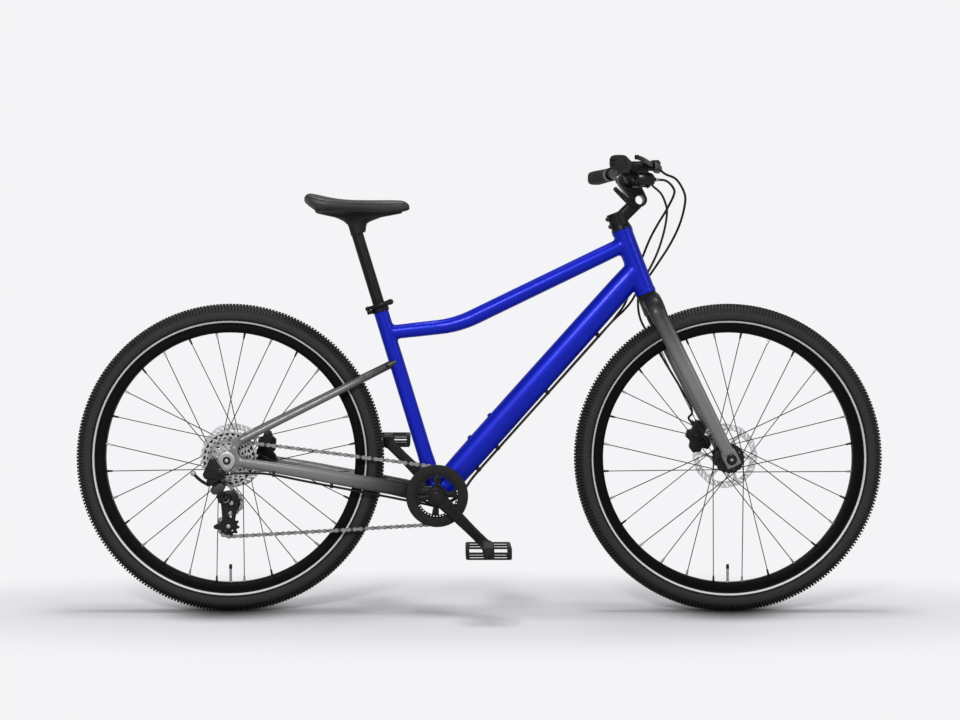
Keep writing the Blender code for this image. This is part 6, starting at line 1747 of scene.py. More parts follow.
def upper_knuckle():
    """Fixed knuckle on the hanger, with its bolt and cable adjuster."""
    face = KNUCKLE_FACE
    barrel = softened(cross_rod(HANGER_BOLT, face - 0.014, face, 0.0125, 64), 0.0022, 4)
    cheek = hull([(HANGER_BOLT, 0.0105), (HANGER_BOLT + Vector((-0.015, 0.0, 0.027)), 0.0075),
        (HANGER_BOLT + Vector((-0.025, 0.0, -0.001)), 0.0105)], 64)
    cheek = plate(cheek, face - 0.0128, face - 0.0012, 0.0024, 3)
    shank = cross_rod(HANGER_BOLT, face - 0.001, -0.074, 0.004, 32)
    bridge = slab(LINK_TOP, (-0.015, 0.016), (-0.007, 0.0065), (face - 0.006, face), 0.002)
    ears = [slab(LINK_TOP, pins, (-0.0045, 0.006), (face - 0.001, LINK_PLACE + 0.005))
        for pins in LINK_EARS]
    stop_start = moved_to(HANGER_BOLT + Vector((0.008, 0.0, 0.0015)), face - 0.0075)
    stop = softened(rod(stop_start, stop_start + FORWARD * 0.0116, 0.0045, 32), 0.0007)
    finished(joined(barrel, cheek, shank, bridge, *ears, stop), "upper_knuckle", "gloss black", "frame",
        ("derailleur_b_knuckle",))
    add_bolt("upper_knuckle_bolt", "black metal", "frame", moved_to(HANGER_BOLT, face - 0.0138), -LEFT,
        0.0068, 0.0012, 0.5)
    end = stop_start + FORWARD * 0.0112
    adjuster = turned(end, FORWARD,
        [(-0.001, 0.0), (-0.001, 0.0036), (0.0022, 0.0036), (0.003, 0.003), (0.003, 0.0)], 32)
    finished(adjuster, "cable_adjuster", "alloy", "frame")


def swing_link():
    """Link between the knuckles, with its face and pins."""
    edge = ((-0.011, 0.0), (-0.011, 0.0105), (-0.0175, 0.015), (-0.0185, 0.0245), (-0.011, 0.03),
        (-0.011, LINK_LENGTH), (0.005, LINK_LENGTH), (0.005, 0.03), (0.0125, 0.0255), (0.0125, 0.015),
        (0.005, 0.0105), (0.005, 0.0))
    link = plate(side_view(LINK_TOP + LINK_PIN * across + LINK_DOWN * down for across, down in edge),
        LINK_PLACE - 0.0044, LINK_PLACE + 0.0038, 0.0014, 3)
    edge = ((-0.0165, 0.013), (-0.019, 0.018), (-0.018, 0.026), (-0.012, 0.03), (0.007, 0.03),
        (0.012, 0.025), (0.012, 0.016), (0.007, 0.0115))
    face_plate = side_view(LINK_TOP + LINK_PIN * across + LINK_DOWN * down for across, down in edge)
    finished(plate(face_plate, LINK_PLACE - 0.0085, LINK_PLACE - 0.0036, 0.0018, 3), "swing_link_face",
        "link", "derailleur_link")
    rounds = [rod(moved_to(end_place + LINK_PIN * -0.011, LINK_PLACE),
        moved_to(end_place + LINK_PIN * 0.005, LINK_PLACE), 0.004, 32)
        for end_place in (LINK_TOP, LINK_FOOT)]
    finished(joined(link, *rounds), "swing_link", "gloss black", "derailleur_link", ("derailleur_link",))
    pins = [rod(moved_to(end_place + LINK_PIN * -0.0144, LINK_PLACE),
        moved_to(end_place + LINK_PIN * 0.0084, LINK_PLACE), 0.0024, 24)
        for end_place in (LINK_TOP, LINK_FOOT)]
    finished(joined(*pins), "link_pins", "alloy", "derailleur_link")


def cable_fin():
    """Arm on the link that clamps the cable."""
    root = LINK_TOP + LINK_PIN * -0.0172
    clamp_place = Vector((-0.603, -0.0866, 0.304))
    arm = [moved_to(LINK_TOP + LINK_PIN * -0.012 + LINK_DOWN * 0.006, -0.066),
        moved_to(root + LINK_DOWN * 0.004, -0.069), moved_to(root, -0.078), moved_to(root, -0.084),
        Vector((-0.589, -0.0862, 0.2905)), clamp_place]
    fin = tube(smooth_path(arm, 5), [(0.007, 0.0066)] * 26, LEFT, 24, 2.6)
    head = softened(cross_rod(clamp_place, -0.089, -0.0845, 0.0056, 32), 0.0008)
    finished(joined(fin, head), "cable_fin", "gloss black", "derailleur_link")
    add_bolt("cable_clamp_bolt", "alloy", "derailleur_link", moved_to(clamp_place, -0.0888), -LEFT,
        0.0046, 0.0032, 0.5)


def shift_wire():
    """Bare wire from the housing to the clamp."""
    wire = tube(smooth_path([(-0.558, -0.0866, 0.304), (-0.57, -0.0868, 0.3046), (-0.588, -0.0868, 0.305),
        (-0.602, -0.0868, 0.3066)], 5), [(0.0013, 0.0013)] * 16, LEFT, 10)
    wire = finished(wire, "shift_wire", "steel")
    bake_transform(wire)


def lower_knuckle():
    """Knuckle that carries the cage."""
    outer = LINK_PLACE + 0.0058
    inner = CHAIN_LINE - 0.0067
    barrel = softened(cross_rod(CAGE_PIVOT, outer, inner, 0.0122, 64), 0.0016, 3)
    back = slab(LINK_FOOT, (-0.015, 0.009), (0.006, 0.0145), (LINK_PLACE - 0.0045, outer + 0.0015), 0.0018)
    ears = [slab(LINK_FOOT, pins, (-0.004, 0.008), (LINK_PLACE - 0.005, outer + 0.001))
        for pins in LINK_EARS]
    finished(joined(barrel, back, *ears), "lower_knuckle", "gloss black", "derailleur_p_knuckle",
        ("derailleur_p_knuckle",))
    ring = turned(CAGE_PIVOT, LEFT,
        [(outer - 0.0008, 0.0072), (outer - 0.0008, 0.0086), (outer + 0.001, 0.0092),
        (outer + 0.001, 0.0068)])
    finished(ring, "lower_knuckle_ring", "alloy", "derailleur_p_knuckle")
    add_bolt("lower_knuckle_cap", "black metal", "derailleur_p_knuckle",
        moved_to(CAGE_PIVOT, outer + 0.0002), -LEFT, 0.0058, 0.0012, 0.5)


def cage():
    """Both cage plates with their pins."""
    plates = []
    for near in (-0.0495, -0.0385):
        outer_side = near < -0.045
        crown = CAGE_PIVOT.lerp(GUIDE_PULLEY, 0.45) + Vector((0.003, 0.0, 0.002))
        circles = [(GUIDE_PULLEY, 0.0125), (CAGE_PIVOT, 0.0095), (TENSION_PULLEY, 0.0115)]
        if outer_side:
            circles[0] = (crown, 0.0195)
        side = plate(hull(circles, 72), near, near + 0.0015, 0.0003)
        if outer_side:
            tab = hull([(TENSION_PULLEY, 0.0105),
                (TENSION_PULLEY + Vector((-0.027, 0.0, -0.001)), 0.0046)], 32)
            tab = plate(tab, near + 0.0002, near + 0.0012)
        middle = GUIDE_PULLEY.lerp(TENSION_PULLEY, 0.44)
        foot = GUIDE_PULLEY.lerp(TENSION_PULLEY, 0.66)
        window = plate(hull([(middle, 0.0044), (foot, 0.0036)], 32), *about(near, CUT_REACH))
        side = carved(side, window)
        if outer_side:
            hole = cross_rod(spoke_place(GUIDE_PULLEY, 20, 0.0095), *about(near, CUT_REACH), 0.0022, 16)
            side = carved(side, repeated(hole, 5, GUIDE_PULLEY))
        plates.append(joined(side, tab) if outer_side else side)
    for centre in (GUIDE_PULLEY, TENSION_PULLEY):
        plates.append(cross_rod(centre, -0.049, -0.0375, 0.0024, 24))
    plates.append(cross_rod(CAGE_PIVOT, -0.056, -0.0485, 0.004, 32))
    finished(joined(*plates), "cage_plates", "gloss black", "derailleur_cage", ("derailleur_cage",))


def pulleys():
    """Toothed pulleys, each with its bolt."""
    for name, centre in (("upper", GUIDE_PULLEY), ("lower", TENSION_PULLEY)):
        add_bolt("pulley_bolt_" + name, "alloy", "derailleur_cage", moved_to(centre, -0.0494), -LEFT,
            0.0042, 0.0014, 0.55)
        valley = valley_at(centre, chain_pins())
        wheel = plate(toothed(centre, PULLEY_TEETH, valley, 0.001, 0.0042),
            *about(CHAIN_LINE, SPROCKET_HALF))
        core = turned(centre, LEFT, [(CHAIN_LINE - 0.002, 0.003), (CHAIN_LINE - 0.002, 0.016),
            (CHAIN_LINE - 0.0014, 0.017), (CHAIN_LINE + 0.0014, 0.017), (CHAIN_LINE + 0.002, 0.016),
            (CHAIN_LINE + 0.002, 0.003)])
        holes = repeated(cross_rod(spoke_place(centre, 20, 0.0108), *about(CHAIN_LINE, CUT_REACH),
            0.0026, 16), 5, centre)
        middle_hole = cross_rod(centre, *about(CHAIN_LINE, CUT_REACH), 0.003, 24)
        wheel = with_modifier(wheel, "BOOLEAN", operation="UNION", object=core, solver="EXACT")
        bpy.data.objects.remove(core)
        finished(carved(wheel, holes, middle_hole), "pulley_wheel_" + name, "plastic", "pulley_" + name,
            ("pulley_" + name,), 30)


class BIKE_OT_derailleur(PieceOperator, bpy.types.Operator):
    """Add the derailleur's knuckles, link, cage, pulleys and cable clamp"""

    bl_idname = "bike.derailleur"
    bl_label = "Derailleur"

    def build(self):
        upper_knuckle()
        swing_link()
        cable_fin()
        shift_wire()
        lower_knuckle()
        cage()
        pulleys()


# Brakes

class BIKE_OT_calipers(PieceOperator, bpy.types.Operator):
    """Add both disc brake calipers with their bolts and hose fittings"""

    bl_idname = "bike.calipers"
    bl_label = "Calipers"

    def caliper(self, name, body, centre, outline_in, outline_out, inner, disc, outer, bolts, fitting):
        low, high = disc - 0.002, disc + 0.002
        inside = plate(outline_in, inner, low, 0.0018, 3)
        outside = plate(outline_out, high, outer, 0.0018, 3)
        bridge = plate(outline_out, low - 0.002, high + 0.002, 0.0005)
        slot = cross_rod(centre, low, high, 0.0712, 96)
        bridge = carved(bridge, slot)
        finished(joined(inside, outside, bridge), name + "_caliper_body", "black metal", body,
            (name + "_brake_caliper",))
        for index, (x, z) in enumerate(bolts):
            add_bolt("%s_caliper_bolt_%d" % (name, index), "gloss black", body,
                Vector((x, outer - 0.0006, z)), LEFT, 0.0036, 0.0028)
        middle = Vector((sum(x for x, z in outline_in) / len(outline_in), inner + 0.0004,
            sum(z for x, z in outline_in) / len(outline_in)))
        cap = softened(rod(middle, middle - LEFT * 0.0022, 0.0098, 48), 0.0006)
        finished(cap, name + "_piston_cap", "black metal", body)
        start, end = fitting
        nut = rod(start, end, 0.0042, 6)
        finished(softened(nut, 0.0004), name + "_hose_fitting", "gloss black", body)

    def build(self):
        low = ((-0.478, 0.316), (-0.467, 0.3145), (-0.461, 0.322), (-0.4535, 0.316), (-0.4415, 0.3185),
            (-0.4388, 0.33), (-0.4455, 0.3385), (-0.4405, 0.35), (-0.4395, 0.366), (-0.4475, 0.372),
            (-0.45, 0.3835), (-0.464, 0.3835), (-0.4675, 0.373), (-0.477, 0.3665), (-0.4735, 0.353),
            (-0.4822, 0.343), (-0.482, 0.327))
        high = ((-0.48, 0.34), (-0.474, 0.335), (-0.448, 0.335), (-0.442, 0.341), (-0.44, 0.364),
            (-0.448, 0.372), (-0.452, 0.382), (-0.463, 0.382), (-0.468, 0.371), (-0.478, 0.364))
        self.caliper("rear", "frame", REAR_AXLE, low, high, 0.037, 0.0528, 0.066,
            ((-0.462, 0.344), (-0.462, 0.374)),
            (Vector((-0.454, 0.044, 0.308)), Vector((-0.46, 0.044, 0.318))))
        shape = ((-0.024, 0.032), (-0.008, 0.028), (-0.002, 0.035), (0.008, 0.027), (0.019, 0.034),
            (0.0195, 0.052), (0.0125, 0.06), (0.019, 0.068), (0.019, 0.087), (0.008, 0.096), (-0.001, 0.09),
            (-0.008, 0.08), (-0.018, 0.082), (-0.0265, 0.07), (-0.0205, 0.058), (-0.0275, 0.046))
        outline = side_view(steer(ahead, 0.0, height) for ahead, height in shape)
        bolts = side_view((steer(0.006, 0.0, 0.044), steer(0.004, 0.0, 0.08)))
        self.caliper("front", "fork", FRONT_AXLE, outline, outline, 0.026, 0.0365, 0.0455, bolts,
            (Vector((0.4598, 0.0359, 0.4055)), Vector((0.467, 0.0352, 0.396))))


# Cockpit

BAR_CENTRE = Vector((0.3176, 0.0, 0.9245))
BAR_BEND = Vector((0.3016, 0.137, 0.9471))
BAR_END = Vector((0.2768, 0.285, 0.945))
BAR_RADIUS = 0.0111
LEVER_PIVOT = moved_to(pivot("brake_lever_left_pull"), 0.148)
SHIFTER_CENTRE = Vector((0.3447, -0.11, 0.9189))
SHIFTER_PIVOT = pivot("shift_lever_push")
GRIP_START = 0.175
LEVER_CLAMP = 0.16
SHIFTER_CLAMP = 0.11
BELL_CLAMP = 0.07


def bar_rise_start():
    return BAR_CENTRE + LEFT * 0.05


def bar_on_rise(place):
    """Point on the rising stretch of the bar, by its distance from the middle."""
    share = (place - bar_rise_start().y) / (BAR_BEND.y - bar_rise_start().y)
    return bar_rise_start().lerp(BAR_BEND, share)


def bar_on_grip(place):
    """Point on the straight outer stretch of the bar."""
    return BAR_BEND.lerp(BAR_END, (place - BAR_BEND.y) / (BAR_END.y - BAR_BEND.y))


def oblong(origin, toward, along, reach, half):
    """Box in the stem's direction: a range along it, a reach across it and a half width of the bike."""
    square = LEFT.cross(toward)
    corners = ((along[0], -reach), (along[1], -reach), (along[1], reach), (along[0], reach))
    return plate(side_view(origin + toward * out + square * rise for out, rise in corners), -half, half)


def lower_stem():
    """Clamp and lower arm on the steerer, with the headset's cover."""
    column = turned(STEER_FOOT, STEER_UP,
        [(0.5382, 0.0), (0.5382, 0.0225), (0.5475, 0.02), (0.5765, 0.02), (0.577, 0.019), (0.577, 0.0)], 72)
    path = [steer(0.004, 0.0, 0.5604), STEM_HINGE]
    arm = tube(path, [(0.034, 0.029)] * 2, LEFT, 48, 4.0)
    ring = cross_rod(STEM_HINGE, -0.019, 0.019, 0.0155, 64)
    base = joined(column, arm, ring)
    base = blended(base, 0.001, [steer(0.018, 0.0, 0.56),
        STEM_HINGE.lerp(steer(0.0, 0.0, 0.565), 0.35)], 0.014, 10)
    base = carved(base, cross_rod(STEM_HINGE, -0.03, 0.03, 0.0129, 64))
    finished(base, "stem_lower", "black metal", "fork", ("stem_base",), 50)
    for index, height in enumerate((0.552, 0.569)):
        place = steer(-0.0196, 0.0, height)
        lug = softened(rod(place - LEFT * 0.0125, place + LEFT * 0.0085, 0.0052, 32), 0.001)
        finished(lug, "stem_pinch_lug_%d" % index, "black metal", "fork")
        add_bolt("stem_pinch_bolt_%d" % index, "gloss black", "fork", place - LEFT * 0.0123, -LEFT,
            0.004, 0.003, 0.55)
    groove = turned(STEER_FOOT, STEER_UP,
        [(0.5379, 0.0185), (0.5379, 0.0228), (0.5384, 0.023), (0.5402, 0.0227), (0.5404, 0.0185)])
    finished(groove, "headset_cover", "gloss black", "fork")


def upper_stem():
    """Hinged arm with the handlebar's clamp."""
    outline = hull([(STEM_HINGE, 0.0155), (BAR_CENTRE, 0.0205)], 72)
    upper = plate(outline, -0.024, 0.024, 0.0022, 3)
    toward = (BAR_CENTRE - STEM_HINGE).normalized()
    square = LEFT.cross(toward)
    gap = oblong(STEM_HINGE, toward, (-0.04, 0.0165), 0.04, 0.0195)
    bar_hole = cross_rod(BAR_CENTRE, -0.05, 0.05, 0.016, 64)
    split = oblong(BAR_CENTRE, toward, (0.0052, 0.0064), 0.03, 0.03)
    bore = cross_rod(STEM_HINGE, -0.03, 0.03, 0.01, 64)
    upper = carved(upper, bore, gap, bar_hole, split)
    sleeve = turned(STEM_HINGE, LEFT,
        [(-0.0205, 0.0098), (-0.0205, 0.0125), (0.0205, 0.0125), (0.0205, 0.0098)], 64)
    finished(joined(upper, sleeve), "stem_upper", "black metal", "cockpit", ("stem_arm",), 40)
    for name, side in SIDES:
        lip = turned(STEM_HINGE, LEFT * side,
            [(0.0236, 0.0098), (0.0236, 0.0132), (0.0246, 0.013), (0.0249, 0.0122), (0.0246, 0.0104),
            (0.024, 0.0098)], 64)
        finished(lip, "hinge_ring_" + name, "gloss black", "cockpit")
    for index, (across, side) in enumerate(((-0.0125, -1), (-0.0125, 1), (0.0125, -1), (0.0125, 1))):
        place = BAR_CENTRE + toward * 0.015 + square * across + LEFT * (0.0175 * side)
        add_bolt("face_bolt_%d" % index, "alloy", "cockpit", place, toward, 0.0036, 0.0034, 0.55)


def lock_blade():
    """Blade that locks the hinge."""
    lock = [(Vector((0.2905, 0.0, 0.9045)), 0.0048), (Vector((0.3145, 0.0, 0.8808)), 0.0058)]
    foot = [lock[1], (Vector((0.33, 0.0, 0.8716)), 0.0052)]
    blade = joined(plate(hull(lock, 32), -0.0268, -0.0242, 0.0006),
        plate(hull(foot, 32), -0.0266, -0.0244, 0.0006))
    slot_ends = [(Vector((0.294, 0.0, 0.901)), 0.0016), (Vector((0.3085, 0.0, 0.8868)), 0.0016)]
    blade = carved(blade, plate(hull(slot_ends, 16), -0.03, -0.02))
    finished(blade, "lock_blade", "black metal", "cockpit")
    add_bolt("lock_blade_bolt", "gloss black", "cockpit", Vector((0.3145, -0.0266, 0.8808)), -LEFT,
        0.004, 0.0022, 0.5)


class BIKE_OT_stem(PieceOperator, bpy.types.Operator):
    """Add the hinged stem and its bolts"""

    bl_idname = "bike.stem"
    bl_label = "Stem"

    def build(self):
        lower_stem()
        upper_stem()
        lock_blade()


# Share of the grip's length, width of its wing and fullness
GRIP_STATIONS = ((0.0, 0.0, 1.0), (0.01, 0.0, 1.0), (0.1, 0.0, 1.0), (0.3, 0.002, 1.0), (0.62, 0.006, 1.0),
    (0.9, 0.0075, 1.0), (0.98, 0.007, 1.0), (0.996, 0.007, 0.95), (1.0, 0.0068, 0.88))


def riser_bar():
    """Bar that is thicker in the stem's clamp, then rises to its straight ends."""
    half = rounded_path([BAR_CENTRE + LEFT * 0.04, bar_rise_start(), BAR_BEND, BAR_END], 0.012, 8)
    left = [BAR_CENTRE, BAR_CENTRE + LEFT * 0.026, BAR_CENTRE + LEFT * 0.029,
        BAR_CENTRE + LEFT * 0.034] + half
    radii = [0.0159, 0.0159, 0.0145, 0.0113] + [BAR_RADIUS] * len(half)
    path = [mirrored(point, -1) for point in left[:0:-1]] + left
    sizes = [(2 * radius, 2 * radius) for radius in radii[:0:-1] + radii]
    finished(tube(path, sizes, -UP, 40), "riser_bar", "black metal", "cockpit", ("handlebar",), 40)


def palm_shape(side):
    """Winged grip with the slots in its end."""
    line = (BAR_END - BAR_BEND).normalized()
    start = bar_on_grip(GRIP_START)
    back = Vector((-line.y, line.x, 0.0)).normalized()
    up = line.cross(-back)
    whole = (BAR_END - start).length + 0.003
    fine = [tuple(point) for point in smooth_path(GRIP_STATIONS, 5)]
    rings = []
    for share, wing, full in fine:
        share = min(max(share, 0.0), 1.0)
        wing = max(wing, 0.0)
        centre = start + line * (whole * share) + back * (wing / 2)
        rib = 0.0004 * math.sin(share * 150) if 0.04 < share < 0.16 else 0.0
        width = (0.03 + wing + rib) * full
        depth = (0.0304 + rib) * full
        ring = section(centre, back, up, width, depth, 48, 2.0 + wing * 180)
        rings.append([mirrored(point, side) for point in ring])
    grip = skinned(rings)
    outer = mirrored(start + line * whole, side)
    for lift, near, far in ((0.0046, 0.006, 0.03), (-0.0046, 0.012, 0.03)):
        slot = block((outer.x - far, -0.0075, outer.z + lift - 0.001),
            (outer.x - near, 0.0075, outer.z + lift + 0.001))
        slot.data.transform(Matrix.Translation((0.0, outer.y, 0.0)))
        grip = carved(grip, slot)
    return grip


def palm_grip(name, side):
    """Grip with its lock ring and screw."""
    grip = palm_shape(side)
    finished(grip, "palm_grip_" + name, "grip", "cockpit", ("grip_" + name,), 40)
    lock = [bar_on_grip(GRIP_START - 0.0066), bar_on_grip(GRIP_START - 0.0006)]
    ring = softened(rod(mirrored(lock[0], side), mirrored(lock[1], side), 0.0148, 48), 0.0007)
    finished(ring, "grip_lock_ring_" + name, "alloy", "cockpit")
    place = mirrored(bar_on_grip(GRIP_START - 0.0036), side) + Vector((0.009, 0.0, -0.0112))
    add_bolt("grip_screw_" + name, "gloss black", "cockpit", place,
        Vector((0.6, 0.0, -0.8)), 0.0022, 0.0022)


class BIKE_OT_handlebar(PieceOperator, bpy.types.Operator):
    """Add the riser bar, the palm grips and their lock rings"""

    bl_idname = "bike.handlebar"
    bl_label = "Handlebar"

    def build(self):
        riser_bar()
        for name, side in SIDES:
            palm_grip(name, side)


# Ends of the fluid tank, from the lever's pivot
TANK_TOP = (0.01, 0.002, 0.001)
TANK_FOOT = (0.02, -0.036, -0.004)


def from_lever(side):
    """Gives a function that turns distances from the lever's pivot into a place on one side."""
    return lambda x, y, z: mirrored(LEVER_PIVOT + Vector((x, y, z)), side)


def lever_mount(name, side):
    """Clamp, arm, tank and ears in one blended body, with a slot for the blade."""
    here = from_lever(side)
    line = (BAR_END - BAR_BEND).normalized()
    middle = bar_on_grip(LEVER_CLAMP)
    clamp = rod(mirrored(middle - line * 0.007, side), mirrored(middle + line * 0.007, side), 0.0155, 64)
    clamp = softened(clamp, 0.001)
    reach_start = mirrored(middle + FORWARD * 0.006, side)
    path = smooth_path([reach_start, here(-0.012, -0.004, 0.0), here(0.012, -0.018, 0.001)], 6)
    sizes = smooth_sizes(((0.017, 0.014), (0.02, 0.017), (0.021, 0.02)), 6)
    reach = tube(path, sizes, UP, 40, 3.4)
    tank = rod(here(*TANK_TOP), here(*TANK_FOOT), 0.0105, 48)
    tank = softened(tank, 0.0018, 3)
    pivot_place = here(0.0, 0.0, 0.0)
    ears = softened(rod(pivot_place - UP * 0.01, pivot_place + UP * 0.01, 0.0095, 40), 0.0015)
    body = remeshed(joined(clamp, reach, tank, ears), 0.0008, 5)
    y0, y1 = sorted((pivot_place.y - side * 0.011, pivot_place.y + side * 0.026))
    body = carved(body, block((pivot_place.x - 0.015, y0, pivot_place.z - 0.0055),
        (pivot_place.x + 0.011, y1, pivot_place.z + 0.0055)))
    finished(body, "lever_mount_" + name, "black metal", "cockpit", ("brake_mount_" + name,), 50)


def reservoir_lid(name, side):
    """Lid on the tank, with its two screws."""
    here = from_lever(side)
    along = (here(*TANK_FOOT) - here(*TANK_TOP)).normalized()
    lid_middle = here(0.015, -0.017, 0.0085)
    lid = tube([lid_middle - along * 0.0135, lid_middle + along * 0.0135],
        [(0.0165, 0.005)] * 2, FORWARD, 40, 4.5)
    finished(softened(lid, 0.001), "reservoir_lid_" + name, "plastic", "cockpit")
    for index, reach_along in enumerate((-0.0095, 0.0095)):
        add_bolt("lid_screw_%s_%d" % (name, index), "gloss black", "cockpit",
            lid_middle + along * reach_along + UP * 0.0022, UP, 0.0018, 0.0009)


def lever_fittings(name, side):
    """The blade's pin and the hose's nut."""
    here = from_lever(side)
    pivot_place = here(0.0, 0.0, 0.0)
    pin = rod(pivot_place - UP * 0.0103, pivot_place + UP * 0.0103, 0.0026, 32)
    finished(softened(pin, 0.0004), "lever_pin_" + name, "alloy", "cockpit")
    nut_end = here(0.0222, -0.0158, -0.008) if side > 0 else here(0.0215, -0.016, -0.008)
    nut_start = here(0.016, -0.0165, -0.0035)
    finished(softened(rod(nut_start, nut_end, 0.004, 6), 0.0004), "hose_nut_" + name,
        "gloss black", "cockpit")


def lever_blade(name, side):
    """Curved blade from its round root to its bead."""
    here = from_lever(side)
    pivot_place = here(0.0, 0.0, 0.0)
    root = softened(rod(pivot_place - UP * 0.0049, pivot_place + UP * 0.0049, 0.0065, 40), 0.0008)
    points = [here(0.0, 0.0, 0.0), here(0.001, 0.018, 0.001), here(-0.0055, 0.042, 0.0025),
        here(-0.02, 0.082, 0.0065), here(-0.0335, 0.106, 0.0098), here(-0.0385, 0.1135, 0.0105)]
    sizes = ((0.0085, 0.0078), (0.0088, 0.0078), (0.0098, 0.0066), (0.0098, 0.006),
        (0.0094, 0.006), (0.0082, 0.0052))
    blade = tube(smooth_path(points, 6), smooth_sizes(sizes, 6), UP, 32, 2.8)
    tip = softened(drum(here(-0.0382, 0.113, 0.0105), UP, 0.0046, 0.0092, 32), 0.0016, 3)
    finished(joined(root, blade, tip), "lever_blade_" + name, "black metal", "brake_lever_" + name,
        ("brake_lever_" + name,), 40)


class BIKE_OT_brake_levers(PieceOperator, bpy.types.Operator):
    """Add both brake levers with their mounts and reservoirs"""

    bl_idname = "bike.brake_levers"
    bl_label = "Brake levers"

    def build(self):
        for name, side in SIDES:
            lever_mount(name, side)
            reservoir_lid(name, side)
            lever_fittings(name, side)
            lever_blade(name, side)


def shifter_pod():
    """Clamp, pod and cover, with the cable's barrel and ferrule."""
    place = mirrored(bar_on_rise(SHIFTER_CLAMP), -1)
    line = mirrored(BAR_BEND - bar_rise_start(), -1).normalized()
    clamp = softened(rod(place - line * 0.006, place + line * 0.006, 0.0152, 64), 0.001)
    x, z = SHIFTER_CENTRE.x, SHIFTER_CENTRE.z
    outline = [(x - 0.0185, z - 0.006), (x - 0.012, z - 0.0095), (x + 0.016, z - 0.0105),
        (x + 0.0185, z - 0.007), (x + 0.0185, z + 0.008), (x + 0.012, z + 0.0145), (x - 0.01, z + 0.0175),
        (x - 0.0185, z + 0.012)]
    pod = plate(outline, -0.126, -0.092, 0.0035, 4)
    bridge = tube([place, SHIFTER_CENTRE + Vector((-0.01, 0.004, 0.004))],
        [(0.012, 0.018)] * 2, LEFT, 32, 3.0)
    pin = rod(SHIFTER_PIVOT + UP * 0.004, SHIFTER_PIVOT - UP * 0.006, 0.002, 24)
    finished(joined(clamp, pod, bridge, pin), "shifter_pod", "plastic", "cockpit", ("shifter_body",), 40)
    seam = [(px - (px - x) * 0.12, pz - (pz - z) * 0.12) for px, pz in outline]
    cover = plate(seam, -0.1268, -0.124, 0.0006)
    finished(cover, "shifter_cover", "gloss black", "cockpit")
    start = SHIFTER_CENTRE + Vector((0.017, 0.0028, 0.0018))
    end = SHIFTER_CENTRE + Vector((0.0226, 0.0037, 0.0016))
    barrel = softened(rod(start, end, 0.0045, 24), 0.0005)
    finished(barrel, "cable_barrel", "gloss black", "cockpit")
    ferrule = rod(end - (end - start) * 0.1, end + (end - start).normalized() * 0.007, 0.0033, 24)
    finished(softened(ferrule, 0.0004), "cable_ferrule", "alloy", "cockpit")


def thumb_lever():
    """Lever with ribs on its pad."""
    height = SHIFTER_CENTRE.z - 0.0108
    foot = Vector((SHIFTER_PIVOT.x, SHIFTER_PIVOT.y, height))
    hub = softened(rod(foot, foot - UP * 0.004, 0.006, 32), 0.0007)
    places = [foot - UP * 0.002 + Vector(shift)
        for shift in ((0.0, 0.0, 0.0), (-0.014, -0.003, 0.0), (-0.0235, -0.0095, 0.0),
        (-0.0285, -0.0155, 0.0))]
    arm = tube(smooth_path(places, 5),
        smooth_sizes(((0.004, 0.009), (0.004, 0.0095), (0.0042, 0.0125), (0.0038, 0.0115)), 5), UP, 32, 3.4)
    finished(joined(hub, arm), "thumb_lever", "gloss black", "shift_lever", ("shift_lever",), 40)
    ribs = []
    for step in range(4):
        middle = places[2].lerp(places[3], step / 3) + UP * -0.0019
        across = (places[3] - places[2]).cross(UP).normalized()
        ribs.append(rod(middle - across * 0.0048, middle + across * 0.0048, 0.0006, 10))
    finished(joined(*ribs), "thumb_lever_ribs", "alloy", "shift_lever")


class BIKE_OT_shifter(PieceOperator, bpy.types.Operator):
    """Add the shifter pod, its thumb lever and cable barrel"""

    bl_idname = "bike.shifter"
    bl_label = "Shifter"

    def build(self):
        shifter_pod()
        thumb_lever()


class BIKE_OT_bell(PieceOperator, bpy.types.Operator):
    """Add the small bell with its sprung striker"""

    bl_idname = "bike.bell"
    bl_label = "Bell"

    def build(self):
        place = bar_on_rise(BELL_CLAMP)
        line = (BAR_BEND - bar_rise_start()).normalized()
        foot = place + UP * 0.0155
        hinge = foot + Vector((0.0185, 0.0, -0.004))
        clamp = softened(rod(place - line * 0.005, place + line * 0.005, 0.0145, 64), 0.0008)
        post = rod(foot - UP * 0.008, foot + UP * 0.0006, 0.006, 32)
        ears = []
        for side in (-0.0047, 0.0047):
            ears.append(tube([foot + Vector((0.002, side, -0.004)), hinge + Vector((0.0028, side, 0.0))],
                [(0.0025, 0.005)] * 2, LEFT, 24, 3.0))
        pin = cross_rod(hinge, hinge.y - 0.006, hinge.y + 0.006, 0.0012, 16)
        finished(joined(clamp, post, *ears, pin), "bell_base", "plastic", "cockpit", ("bell",), 40)
        profile = [(-0.0002, 0.0128), (0.0005, 0.013), (0.004, 0.0126), (0.0072, 0.0108), (0.0094, 0.0078),
            (0.0104, 0.004), (0.0106, 0.0), (0.0096, 0.0), (0.0093, 0.0038), (0.0083, 0.0072),
            (0.0062, 0.0101), (0.0034, 0.0117), (0.0, 0.0121)]
        finished(turned(foot, UP, profile, 64), "bell_dome", "gloss black", "cockpit", (), 50)
        hub = cross_rod(hinge, hinge.y - 0.003, hinge.y + 0.003, 0.0032, 24)
        arm = tube([hinge, hinge + Vector((0.0015, 0.0, 0.006)), hinge + Vector((0.001, 0.0, 0.0125))],
            [(0.005, 0.0035), (0.006, 0.003), (0.008, 0.0042)], LEFT, 24, 3.0)
        finished(softened(joined(hub, arm), 0.0003, 1), "striker_arm", "black metal", "bell_striker",
            ("bell_striker",), 40)


# Seat

